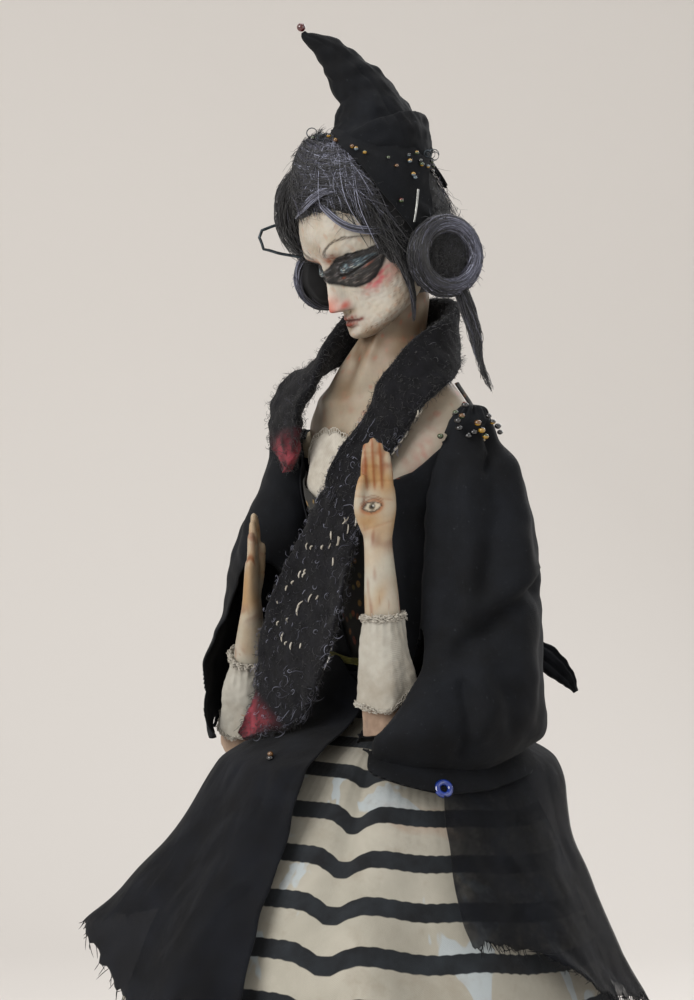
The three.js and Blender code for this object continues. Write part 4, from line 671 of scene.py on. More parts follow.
def makeWood():
    finish = startFinish("stainedWood", "#3a2a20", 0.45, Coat_Weight=0.2, Coat_Roughness=0.3)
    where = stretched(objectPlace(), (1.0, 0.12, 1.0))
    rings = addNode("ShaderNodeTexWave", {"Vector": where, "Scale": 60.0, "Distortion": 7.0, "Detail": 4.0,
            "Detail Scale": 2.5}, bands_direction="X").outputs["Fac"]
    fine = noise(stretched(objectPlace(), (14, 1, 4)), 60, 5)
    both = plus(times(rings, 0.6), times(fine, 0.4))
    toShader(ramp(both, [(0.2, "#22160f"), (0.5, "#3d2a1e"), (0.8, "#59402c")]))
    relief(both, 0.3, 0.25)
    return finish


def makeLeather():
    finish = startFinish("bootLeather", "#1b1715", 0.42, Coat_Weight=0.1, Coat_Roughness=0.4)
    where = objectPlace()
    scuff = ramp(noise(where, 130, 6, 0.65), [(0.45, "#15110f"), (0.8, "#4a3a30")])
    toShader(scuff)
    pebble = addNode("ShaderNodeTexVoronoi", {"Vector": where, "Scale": 1300.0}).outputs["Distance"]
    first = relief(noise(where, 240, 5), 0.4, 0.5)
    relief(pebble, 0.35, 0.12, first)
    return finish


def makeMetal(name, colour, dark, roughness):
    finish = startFinish(name, colour, roughness, Metallic=1.0)
    where = objectPlace()
    toShader(ramp(noise(where, 350, 5, 0.7), [(0.35, dark), (0.65, colour)]))
    relief(noise(where, 1500, 3), 0.2, 0.05)
    return finish


def makeGlass(name, colour, dark):  # the red bead and the blue one
    finish = startFinish(name, colour, 0.12, Coat_Weight=0.6, Coat_Roughness=0.05, Transmission_Weight=0.15, IOR=1.5,
            Specular_IOR_Level=0.7)
    where = objectPlace()
    toShader(ramp(noise(where, 300, 3), [(0.3, dark), (0.62, colour)]))
    relief(noise(where, 900, 2), 0.15, 0.08)
    return finish


def makeBeadMix():  # mixed seed beads, coloured bead by bead
    finish = startFinish("seedBeads", "#8a5a1c", 0.14, Coat_Weight=0.6, Coat_Roughness=0.05, Specular_IOR_Level=0.7)
    tone = attribute("tone")
    toShader(ramp(tone, [(0.0, "#5c3a0c"), (0.16, "#94701c"), (0.34, "#2e3d18"), (0.5, "#060609"), (0.86, "#56646c"),
            (0.95, "#5a1f14")], "CONSTANT"))
    return finish


skirtCloth = {"stripePitch": 14.5, "stripeWide": 5.5, "stripeStart": 0.75, "wall": 0.6}
finishes = {
    "clay": makeClay(), "striped": makeStriped(), "voile": makeSheer(), "leaf": makeLeafPrint(), "felt": makeFelt(),
    "black": makeBlackCotton("blackCotton", "#050609", "#0f1218"),
    "hatBlack": makeBlackCotton("hatCotton", "#050609", "#0d1016"),
    "cream": makeCream("creamCotton", "#a8a59c", "#8a8377", 0.6),
    "pinkish": makeCream("teaCotton", "#a48d7a", "#6e5a4c", 0.6),
    "calico": makeCream("calico", "#b9ab93", "#8e7f69", 0.7),
    "lace": makeCream("lace", "#b3aea4", "#938c80", 0.9, 140),
    "ribbon": makeCream("oliveRibbon", "#6d6a2a", "#3d3c1c", 0.45, 200),
    "mohair": makeHairFinish("mohair"), "mohairBase": makeHairFinish("mohairBase", 0.9), "wood": makeWood(),
    "leather": makeLeather(), "steel": makeMetal("steel", "#b8b8b4", "#6f6f6c", 0.28),
    "wire": makeMetal("darkWire", "#4a5258", "#23282b", 0.38), "redBead": makeGlass("redBead", "#5a1416", "#22080a"),
    "blueBead": makeGlass("blueBead", "#1c3c9c", "#0c1a40"), "beads": makeBeadMix(),
}
print("finishes:", len(finishes))

# geometry nodes: strands along edges, fibres on a surface, beads along a line
def startTree(name, sizes):
    now["tree"] = tree = bpy.data.node_groups.new(name, "GeometryNodeTree")
    tree.interface.new_socket("Geometry", in_out="INPUT", socket_type="NodeSocketGeometry")
    for label, (kind, value) in sizes.items():
        socket = tree.interface.new_socket(label, in_out="INPUT", socket_type=kind)
        if value is not None:
            socket.default_value = value
    tree.interface.new_socket("Geometry", in_out="OUTPUT", socket_type="NodeSocketGeometry")
    return addNode("NodeGroupInput").outputs


def endTree(geometry, finish):
    real = addNode("GeometryNodeRealizeInstances", {"Geometry": geometry}).outputs["Geometry"]
    done = addNode("GeometryNodeSetMaterial", {"Geometry": real, "Material": finish}).outputs["Geometry"]
    addNode("NodeGroupOutput", {"Geometry": done})
    return now["tree"]


def named(name):
    return addNode("GeometryNodeInputNamedAttribute", {"Name": name}, data_type="FLOAT").outputs["Attribute"]


def makeStrandTree():
    given = startTree("strands", {"Thickness": ("NodeSocketFloat", 0.0001), "Sides": ("NodeSocketInt", 3),
            "Finish": ("NodeSocketMaterial", None)})
    curve = addNode("GeometryNodeMeshToCurve", {"Mesh": given["Geometry"]}).outputs["Curve"]
    circle = addNode("GeometryNodeCurvePrimitiveCircle", {"Resolution": given["Sides"], "Radius": 1.0})
    size = times(named("girth"), given["Thickness"])
    hair = addNode("GeometryNodeCurveToMesh", {"Curve": curve, "Profile Curve": circle.outputs["Curve"],
            "Scale": size}).outputs["Mesh"]
    smoothHair = addNode("GeometryNodeSetShadeSmooth", {"Geometry": hair}).outputs["Geometry"]
    return endTree(smoothHair, given["Finish"])


def makeFibreTree():  # bent fibres standing on a surface, thickest where its "fuzz" attribute is high
    given = startTree("fibres", {"Density": ("NodeSocketFloat", 1e5), "Length": ("NodeSocketFloat", 0.002),
            "Thickness": ("NodeSocketFloat", 0.0001), "Lean": ("NodeSocketFloat", 1.0), "Seed": ("NodeSocketInt", 1),
            "Finish": ("NodeSocketMaterial", None)})
    spread = addNode("GeometryNodeDistributePointsOnFaces", {
        "Mesh": given["Geometry"], "Density": times(given["Density"], named("fuzz")),
        "Seed": given["Seed"]})
    bend = addNode("GeometryNodeCurvePrimitiveBezierSegment",
            {"Resolution": 4, "Start": (0, 0, 0), "Start Handle": (0, 0, 0.5), "End Handle": (0.25, 0.3, 0.8),
            "End": (0.75, 0.2, 0.85)})
    tip = addNode("GeometryNodeSplineParameter").outputs["Factor"]
    thick = sums("DIVIDE", given["Thickness"], given["Length"])
    taper = times(thick, sums("SUBTRACT", 1.1, tip))
    circle = addNode("GeometryNodeCurvePrimitiveCircle", {"Resolution": 3, "Radius": 1.0})
    fibre = addNode("GeometryNodeCurveToMesh",
            {"Curve": bend.outputs["Curve"], "Scale": taper,
            "Profile Curve": circle.outputs["Curve"]}).outputs["Mesh"]
    sway = addNode("FunctionNodeRandomValue", {"Seed": given["Seed"]}, data_type="FLOAT_VECTOR")
    sway.inputs[0].default_value = (-1, -1, -1)
    sway.inputs[1].default_value = (1, 1, 1)
    lean = addNode("ShaderNodeVectorMath", {0: sway.outputs[0], "Scale": given["Lean"]}, operation="SCALE")
    aim = addNode("ShaderNodeVectorMath", {0: spread.outputs["Normal"], 1: lean.outputs["Vector"]},
            operation="ADD").outputs["Vector"]
    turn = addNode("FunctionNodeAlignRotationToVector", {"Vector": aim}, axis="Z").outputs["Rotation"]
    size = addNode("FunctionNodeRandomValue", {"Seed": 7}, data_type="FLOAT")
    size.inputs[2].default_value = 0.4
    size.inputs[3].default_value = 1.2
    length = times(size.outputs[1], given["Length"])
    put = addNode("GeometryNodeInstanceOnPoints", {"Points": spread.outputs["Points"], "Instance": fibre,
            "Rotation": turn, "Scale": length})
    return endTree(put.outputs["Instances"], given["Finish"])


def makeBeadTree():  # beads along a line, a little uneven in size and place
    given = startTree("beadRow", {"Pitch": ("NodeSocketFloat", 0.0024), "Radius": ("NodeSocketFloat", 0.001),
            "Seed": ("NodeSocketInt", 1), "Finish": ("NodeSocketMaterial", None)})
    curve = addNode("GeometryNodeMeshToCurve", {"Mesh": given["Geometry"]}).outputs["Curve"]
    even = addNode("GeometryNodeResampleCurve", {"Curve": curve, "Length": given["Pitch"]}, mode="LENGTH")
    bead = addNode("GeometryNodeMeshUVSphere", {"Segments": 10, "Rings": 6, "Radius": 1.0}).outputs["Mesh"]
    bead = addNode("GeometryNodeSetShadeSmooth", {"Geometry": bead}).outputs["Geometry"]
    along = addNode("GeometryNodeInputTangent").outputs["Tangent"]
    turn = addNode("FunctionNodeAlignRotationToVector", {"Vector": along}, axis="Z").outputs["Rotation"]
    size = addNode("FunctionNodeRandomValue", {"Seed": given["Seed"]}, data_type="FLOAT")
    size.inputs[2].default_value = 0.8
    size.inputs[3].default_value = 1.15
    wide = times(size.outputs[1], given["Radius"])
    shape = addNode("ShaderNodeCombineXYZ", {"X": wide, "Y": wide, "Z": times(wide, 0.78)})
    put = addNode("GeometryNodeInstanceOnPoints",
            {"Points": even.outputs["Curve"], "Instance": bead, "Rotation": turn, "Scale": shape.outputs["Vector"]})
    tone = addNode("FunctionNodeRandomValue", {"Seed": plus(given["Seed"], 3)}, data_type="FLOAT")
    tinted = addNode("GeometryNodeStoreNamedAttribute", {"Geometry": put.outputs["Instances"], "Name": "tone",
            "Value": tone.outputs[1]}, data_type="FLOAT", domain="INSTANCE").outputs["Geometry"]
    return endTree(tinted, given["Finish"])


trees = {"strands": makeStrandTree(), "fibres": makeFibreTree(), "beads": makeBeadTree()}


def grow(source, treeName, finish, sizes, name=None):  # runs a tree over a source mesh and keeps a plain mesh
    tree = trees[treeName]
    work = source.modifiers.new(treeName, "NODES")
    work.node_group = tree
    ids = {item.name: item.identifier for item in tree.interface.items_tree if item.in_out == "INPUT"}
    work[ids["Finish"]] = finishes[finish]
    for label, value in sizes.items():
        work[ids[label]] = value
    shown = bpy.data.meshes.new_from_object(source.evaluated_get(bpy.context.evaluated_depsgraph_get()))
    source.modifiers.remove(work)
    made = addObject(name or source.name, shown)
    made.data.name = made.name
    return made


def makeLines(name, lines, girth=None, tone=None):  # a mesh of open polylines, in millimetres
    counts = np.array([len(line) for line in lines])
    spots = np.concatenate(lines)
    ends = np.cumsum(counts)
    first = np.arange(len(spots) - 1)
    first = first[~np.isin(first + 1, ends[:-1])]
    mesh = bpy.data.meshes.new(name)
    mesh.from_pydata((spots * mm).tolist(), np.stack([first, first + 1], -1).tolist(), [])
    made = addObject(name, mesh)
    taper = np.concatenate([np.sin(math.pi * np.clip(np.linspace(0.12, 0.97, n), 0, 1)) ** 0.5 for n in counts])
    mark(made, "girth", taper if girth is None else taper * np.repeat(girth, counts))
    mark(made, "tone", np.repeat(np.full(len(lines), 0.3) if tone is None else tone, counts))
    return made


def strandPiece(name, lines, finish, thickness, girth=None, tone=None, sides=3):
    source = makeLines(name + "Lines", lines, girth, tone)
    made = grow(source, "strands", finish, {"Thickness": thickness * mm, "Sides": sides}, name)
    bpy.data.objects.remove(source)
    return made


class Strands:  # lines of hair, each with its own girth and tone
    def __init__(self, rng):
        self.rng, self.lines, self.girth, self.tone = rng, [], [], []

    def add(self, line, thin, thick, tone, spread):
        self.lines.append(line)
        self.girth.append(self.rng.uniform(thin, thick))
        self.tone.append(float(np.clip(self.rng.normal(tone, spread), 0, 1)))

    def piece(self, name):
        return dress(strandPiece(name, self.lines, "mohair", hair["strand"], self.girth, self.tone), "mohair", "mohair")


def wirePiece(name, path, finish, thickness):
    source = makeLines(name + "Line", [path])
    source.data.attributes["girth"].data.foreach_set("value", np.ones(len(path), np.float32))
    made = grow(source, "strands", finish, {"Thickness": thickness * mm, "Sides": 8}, name)
    bpy.data.objects.remove(source)
    return made


def curlPiece(name, places, levels, count, seed, finish, tones, steps=(0.3, 0.75), lift=0.7, thickness=0.08, bend=0.5):
    # short curled fibres lying on a surface, each with the tone of its place and some of its own
    rng = np.random.default_rng(seed)
    pick = rng.integers(0, len(places), count)
    level = levels[pick]
    first = unit(np.cross(level, rng.normal(0, 1, (count, 3))))
    second = np.cross(level, first)
    k = np.arange(7)[None, :]
    step = rng.uniform(*steps, (count, 1))
    turn = rng.normal(0, bend, (count, 1)) * k + rng.normal(0, 0.12, (count, 1)) * k ** 2
    ahead = np.cumsum(step * np.cos(turn), 1) - step
    aside = np.cumsum(step * np.sin(turn), 1)
    rise = 0.08 + rng.uniform(0, lift, (count, 1)) * np.sin(k / 6 * math.pi * rng.uniform(0.5, 1, (count, 1)))
    lines = (places[pick][:, None] + ahead[..., None] * first[:, None] + aside[..., None] * second[:, None]
            + rise[..., None] * level[:, None])
    tone = np.clip(tones[pick] + rng.normal(0, 0.13, count), 0, 1)
    return strandPiece(name, list(lines), finish, thickness, rng.uniform(0.5, 1.25, count), tone)


def rowPiece(name, treeName, lines, finish, sizes):
    source = makeLines(name + "Lines", lines)
    made = grow(source, treeName, finish, sizes, name)
    bpy.data.objects.remove(source)
    return made


print("trees:", ", ".join(trees))

# skirt and petticoat
skirtSize = profile([
    [lerp(skirt["hem"], waist, part), skirt["hemRadius"] * size] for part, size in
    ((0, 1), (0.09, 0.985), (0.27, 0.93), (0.44, 0.845), (0.605, 0.73), (0.77, 0.585), (0.87, 0.455), (0.94, 0.33))
] + [[waist, body["waistWide"] + layerOuter(1)]])


def flareRadius(angle, z):
    t = np.radians(angle)
    a, b = body["waistWide"] + layerOuter(1), body["waistDeep"] + layerOuter(1)
    band = a * b / np.hypot(b * np.sin(t), a * np.cos(t))
    return lerp(skirtSize(z)[0], band, smooth(z, waist - 18, waist))


def flarePoint(angle, z, radius):
    t = np.radians(angle)
    return vec(radius * np.sin(t), spineAt(z) - radius * np.cos(t), z)


def onSpine(points):
    return vec(0 * points[..., 2], spineAt(points[..., 2]), points[..., 2])


def pleatDepth(z):
    return skirt["pleatDepth"] * (1 - smooth(z, skirt["hem"], waist)) ** 0.7 + 0.15


def tuck(angle, z):
    return 3.2 * bump(fromFront(angle) - 30, 5) * bump(z - waist + 32, 26)


def pleat(angle, z):
    t = np.radians(angle)
    broad = 0.62 * np.cos(skirt["pleats"] * t + 0.6 + 0.3 * np.sin(2 * t))
    return pleatDepth(z) * (broad + 0.38 * np.cos(14 * t + 2.1)) - tuck(angle, z)


def makeSkirt():
    angle, v = np.meshgrid(np.arange(0, 360, 1), np.linspace(0, 1, 92))
    z = lerp(waist - 1, skirt["hem"], v ** 1.15)
    z = z + 0.8 * smooth(v, 0.9, 1) * np.sin(np.radians(angle) * 23)
    fall = waist - z
    radius = flareRadius(angle, z) + pleat(angle, z)
    rough = flarePoint(angle, z, radius)
    t = np.radians(angle)
    gathers = 0.55 * np.cos(52 * t + 2 * np.sin(5 * t)) * bump(fall, 26) * smooth(fall, 0, 4)
    shallow = 0.5 * ripple(rough, 24, 11) + 0.22 * ripple(rough, 8, 12)
    radius = radius - np.abs(gathers) - 0.35 * smooth(fall, 6, 30) * np.abs(shallow)
    points = flarePoint(angle, z, radius)
    uv = arcUv(points, True)
    turn = np.concatenate([angle, angle[:, :1]], 1)
    drop = np.concatenate([fall, fall[:, :1]], 1)
    dip = 3.4 * bump(fromFront(turn) - 30, 5.5) * smooth(drop, 6, 36) * (1 - 0.7 * smooth(drop, 110, 200))
    uv = np.stack([uv[..., 0], uv[..., 1] - dip], -1)
    piece = gridPiece("skirtCloth", points, True, uv, inside=onSpine(points))
    thicken(piece, skirtCloth["wall"])
    dress(piece, "striped", "striped_cotton", "skirt")
    return points


def makePetticoat():
    angle, v = np.meshgrid(np.arange(0, 360, 2), np.linspace(0, 1, 40))
    z = lerp(skirt["hem"] + 5, waist - 18, v)
    inside = pleatDepth(z) + layer["wall"] + 4.4 + tuck(34, z)
    radius = flareRadius(angle, z) - inside
    radius = radius - np.abs(1.2 * np.cos(np.radians(angle) * 17 + 1)) * smooth(1 - v, 0, 0.6)
    points = flarePoint(angle, z, radius)
    piece = gridPiece("petticoatCloth", points, True, arcUv(points, True), inside=onSpine(points))
    thicken(piece, 0.5)
    dress(piece, "cream", "cream_cotton", "petticoat")


# coat: a fitted body and two tails with raw hems
def coatRadius(angle, z):
    turn = fromFront(angle)
    fall = waist - z
    drop = np.clip(fall / 90, 0, 1)
    peplum = smooth(fall, 0, 12) * (1 - smooth(fall, 14, 44))
    room = 10 - 8 * bump(turn + 84, 26) - 8 * bump(turn - 78, 30)
    frontFlute = 22 * drop ** 1.6 * bump(turn + 46, 17)
    waves = 1.6 * drop * (1 + np.cos(np.radians(turn * 11 + 40)))
    ease = layerInner(3) - layerOuter(1) + layer["wall"]
    return flareRadius(turn, z) + pleatDepth(z) + ease + peplum * room + frontFlute + waves


def leftHem(angle):
    return 57 + 33 * smooth(angle, 50, 138) - 2 * np.cos(np.radians(angle * 9))


def rightHem(angle):
    return 66 + 24 * smooth(angle, -46, 0) + 16 * smooth(-angle, 80, 150) - 1.5 * np.cos(np.radians(angle * 8))


tails = {
    "left": {"front": (55, 63.5), "back": 179.4, "hem": leftHem, "node": "coat_left_tail", "thin": 1.0, "seed": 21,
        "flap": 0},
    "right": {"front": (11, 13.5), "back": -179.4, "hem": rightHem, "node": "coat_right_tail", "thin": 0.1,
        "seed": 22, "flap": 14},
}


def makeTail(name, made):
    u, v = np.meshgrid(np.linspace(0, 1, 210), np.linspace(0, 1, 110))
    angle = lerp(lerp(made["front"][0], made["front"][1], v), made["back"], u)
    ragged = 0.9 * ripple(vec(angle, 0, 0), 5, made["seed"]) + 0.5 * ripple(vec(angle, 0, 0), 1.6, made["seed"] + 5)
    flap = made["flap"] * bump(angle + 28, 38) * smooth(angle, -74, -54)
    fall = (made["hem"](angle) + ragged + flap) * (v ** 1.25) + 0.3 - flap
    z = waist - fall
    rough = flarePoint(angle, z, coatRadius(angle, z))
    t = np.radians(angle)
    nearHem = smooth(v, 0.9, 1)
    curl = nearHem ** 2 * (1.6 + 1.5 * ripple(vec(angle, 0, 0), 22, made["seed"] + 1))
    nearFront = (1 - smooth(u, 0, 0.035)) * smooth(v, 0.1, 0.3)
    curl = curl + nearFront * (1.2 + 1.2 * ripple(rough, 20, made["seed"] + 2))
    crease = 0.55 * ripple(rough * np.array([1, 1, 0.45]), 13, made["seed"] + 3) * smooth(v, 0.05, 0.3)
    gathers = 0.5 * np.abs(np.cos(40 * t)) * bump(fall, 12) * (1 - smooth(flap, 0.5, 4))
    curl = curl + 0.62 * flap * bump(fall - 1, 12)
    points = flarePoint(angle, z, coatRadius(angle, z) + curl + 0.6 * np.abs(crease) + 0.35 * crease - gathers)
    piece = gridPiece(name + "CoatTail", points, False, arcUv(points), inside=onSpine(points))
    mark(piece, "thin", made["thin"] * (smooth(fall, 14, 40) * (1 - 0.7 * smooth(np.abs(angle), 110, 140))).ravel())
    thicken(piece, thinWall)
    dress(piece, "voile", "sheer_black", made["node"])
    rng = np.random.default_rng(made["seed"])
    lines = []
    edge = points[-1]
    for k in np.sort(rng.choice(len(edge) - 2, 190, replace=False)) + 1:  # threads pulled out of the raw hem
        start = lerp(edge[k], edge[k + 1], rng.uniform(0, 1)) - outward(edge[k]) * 0.2
        way = unit(unit(edge[k + 1] - edge[k - 1]) * rng.normal(0, 1.1) + outward(edge[k]) * rng.uniform(-0.1, 0.7)
                - upward * rng.uniform(0.3, 1.3))
        step = rng.uniform(0.4, 1.1)
        bend = rng.normal(0, 0.35, 3)
        lines.append(np.array([start + step * (way * n + bend * (n / 3) ** 2) for n in range(5)]))
    dress(strandPiece(name + "TailFrays", lines, "black", 0.13), "black", "sheer_black")


def outward(points):
    away = points - onSpine(points)
    return unit(away * np.array([1, 1, 0]))


def coatTop(turn):
    left = shoulder - 17 + 12 * smooth(turn, 34, 70)
    right = lerp(waist + 6, shoulder - 5, smooth(-turn, -6, 66))
    return np.where(turn > 20, left, right)


def bodiceTop(turn):
    return shoulder - 24 + 10 * smooth(np.abs(turn + 6), 4, 60)


def camisoleTop(turn):
    return shoulder - 3 - 4 * bump(turn, 9) - 9 * smooth(np.abs(turn), 28, 60) - 24 * smooth(turn, 6, 26)


def clearOfArms(middle):  # leaves the room that the solids leave for the arms
    wanted = np.ones(len(middle), bool)
    for arm in arms.values():
        for lift in (0, 12.5, 25):
            hang = arm["hang"] @ tilted(math.radians(lift))
            away = middle - arm["shoulder"]
            t = np.clip(away @ hang / (hang @ hang), 0, 1)
            wanted &= np.linalg.norm(away - t[:, None] * hang, axis=1) > armSize["shoulderBall"]
        wanted &= np.linalg.norm(middle - arm["shoulder"], axis=1) > armSize["cutRoom"]
    return wanted


def makeGarment(name, level, low, top, span, steps, finish, slotName, node, seed, gather=0.3, keep=clearOfArms):
    around = span[1] - span[0] >= 360
    u, v = np.meshgrid(np.linspace(0, 1, steps[0], endpoint=not around), np.linspace(0, 1, steps[1]))
    angle = lerp(*span, u)
    z = lerp(low, top(fromFront(angle)), v)
    rough = torsoPoint(angle, z, layerOuter(level))
    wrinkle = gather * ripple(rough * np.array([1, 1, 0.8]), 9, seed)
    points = torsoPoint(angle, z, layerOuter(level) + np.clip(wrinkle, -0.25, 0.5))
    piece = gridPiece(name, points, around, arcUv(points, around), inside=torsoCentre(points[..., 2]), keep=keep)
    thicken(piece, thinWall)
    dress(piece, finish, slotName, node)
    return points


def makeClothes():
    makeSkirt()
    makePetticoat()
    print("skirt and petticoat")
    for name, made in tails.items():
        makeTail(name, made)
    makeGarment("coatBody", 3, waist, coatTop, (30, 360), (230, 60), "black", "black_cotton", "coat_bodice", 31)
    makeGarment("bodiceCloth", 2, waist + 0.3, bodiceTop, (-75, 150), (170, 56), "leaf", "leaf_print", "bodice", 32)
    print("coat and bodice")

# waist: sash, ribbon and the bow behind
waistBands = {"sashInner": layerOuter(3) + layer["gap"] + 0.5, "sashWall": 0.9, "low": waist + 0.3, "high": 9,
        "ribbon": 1.8}


def makeBand(name, low, high, wall, tilt, finish, slotName, node, folds, seed):
    angle, v = np.meshgrid(np.arange(0, 360, 1.5), np.linspace(0, 1, 22))
    z = lerp(low, high, v) + tilt * np.sin(np.radians(angle))
    z = z + 0.5 * ripple(vec(angle, 0, 0), 60, seed)
    creases = folds * (np.cos(v * 13 + 1.6 * np.sin(np.radians(angle) * 2 + seed)) + 0.6 * np.cos(v * 24 + angle / 17))
    points = torsoPoint(angle, z, waistBands["sashInner"] + wall + np.clip(creases, -0.4, 0.5))
    piece = gridPiece(name, points, True, arcUv(points, True), inside=torsoCentre(points[..., 2]))
    thicken(piece, min(wall, 0.5))
    dress(piece, finish, slotName, node)


def makeBow():
    low = waistBands["low"]
    back = torsoPoint(180, low + waistBands["high"] / 2, waistBands["sashInner"] + waistBands["sashWall"] + 0.3)
    loop = [[-2, 3, 0.5, 3], [-10, 7, 5, 4.6], [-19, 10, 3, 5], [-21, 11, -1.5, 4.8], [-12, 7.5, -3.5, 4.2],
            [-2.5, 3.4, -1.5, 3]]
    bands = [
        loop, [[-x, y, z, half] for x, y, z, half in loop],
        [[1, 3, 0, 3], [10, 9, 5, 4.4], [21, 13, 9, 4.8], [30, 16.5, 8, 4.6], [37, 19.5, 2, 3],
                    [40, 21, -3, 0.8]],
        [[-1, 3, 0, 3], [-10, 10, 2, 4.2], [-20, 17, 0, 4.6], [-28, 22, -6, 3.6], [-31, 24, -12, 0.8]],
    ]
    pieces, width, length, area = [], 0, 0, 0
    for number, rows in enumerate(bands):
        line = along(rows, 54)
        centre = back + line[:, :3]
        way = unit(np.gradient(centre, axis=0))
        facing = np.stack([centre[:, 0] * 0.02, np.full(54, 0.35), np.ones(54)], -1)
        if number == 2:  # the end to the left lies turned
            facing = np.array([0.66, -0.7, 0.35])
        front = offLine(way, facing)
        side = np.cross(way, front)
        s = np.linspace(-1, 1, 15)
        reach = line[:, 3, None] * (1 + 0.07 * ripple(vec(np.arange(54), number, 0), 7, 41)[:, None] * np.abs(s))
        folds = 0.75 * np.cos(s * 7 + number) + 0.4 * np.cos(s * 15)
        points = (centre[:, None] + (reach * s)[..., None] * side[:, None]
                + (folds * smooth(line[:, 3, None], 0.5, 3) - 0.5 * s ** 2)[..., None] * front[:, None])
        points = points + 0.35 * ripple(points, 6, 42 + number)[..., None] * front[:, None]
        pieces.append(gridPiece("bow" + str(number), points, False, arcUv(points), inside=points - front[:, None] * 3))
        size, part = clothSize(points)
        width, length, area = max(width, min(size)), length + max(size), area + part
    bowCloth = fuse("sashBow", pieces)
    thicken(bowCloth, thinWall)
    knot = along([[-4.6, 2.6, -0.3, 0.8, 0.6], [-3.4, 2.9, 0, 3.4, 2.1], [0, 3.1, 0, 4.3, 2.9],
            [3.4, 2.9, 0, 3.4, 2.1], [4.6, 2.6, 0.3, 0.8, 0.6]], 30)
    knot[:, :3] += back
    rings, _, _, front = sweepRings(knot, np.array([0.0, 1, 0]), 40)
    t = np.arange(40) * 2 * math.pi / 40
    rings = rings + (0.3 * np.cos(9 * t) * np.sin(np.linspace(0, math.pi, 30))[:, None])[..., None] * front[:, None]
    knotPiece = gridPiece("sashKnot", rings, True, arcUv(rings, True), (True, True))
    dress(bowCloth, "black", "black_cotton", "sash_bow")
    dress(knotPiece, "black", "black_cotton")


# stole: felted band with curled edges, pink ends, a running stitch and loose fibres
stole = {"half": 2.6, "rows": 300, "sides": 44, "fibreLength": 1.7, "fibres": 0.75e6}
stoleLine = [
    [-48, 0.83, 7.4, 1.2], [-42, 0.9, 8.7, 6], [-40, 0.99, 10, 9], [-42, 1.08, 9.4, 9.2], [-48, 1.18, 8.4, 8.4],
    [-72, 1.28, 6, 8], [-110, 1.35, 5, 8.2], [-169, 1.37, 4.4, 8.6], [-211, 1.36, 5, 8.6], [-246, 1.32, 8, 8.4],
    [-271, 1.27, 8.4, 8.2], [-301, 1.19, 6.4, 8.2], [-328, 1.09, 4.2, 8.2], [-339, 1.01, 3.8, 7.4],
    [-343, 0.94, 3.6, 7.4], [-350, 0.83, 3.4, 8], [-354, 0.72, 4.2, 9], [-360, 0.65, 6.7, 10.2],
    [-365, 0.51, 10.6, 12], [-369, 0.36, 14.8, 13.2], [-374, 0.22, 19.4, 14.4], [-379, 0.07, 23, 13.2],
    [-382, 0, 25.1, 11.6], [-386, -0.07, 28.2, 5.5], [-389, -0.13, 30.9, 1.2],
]


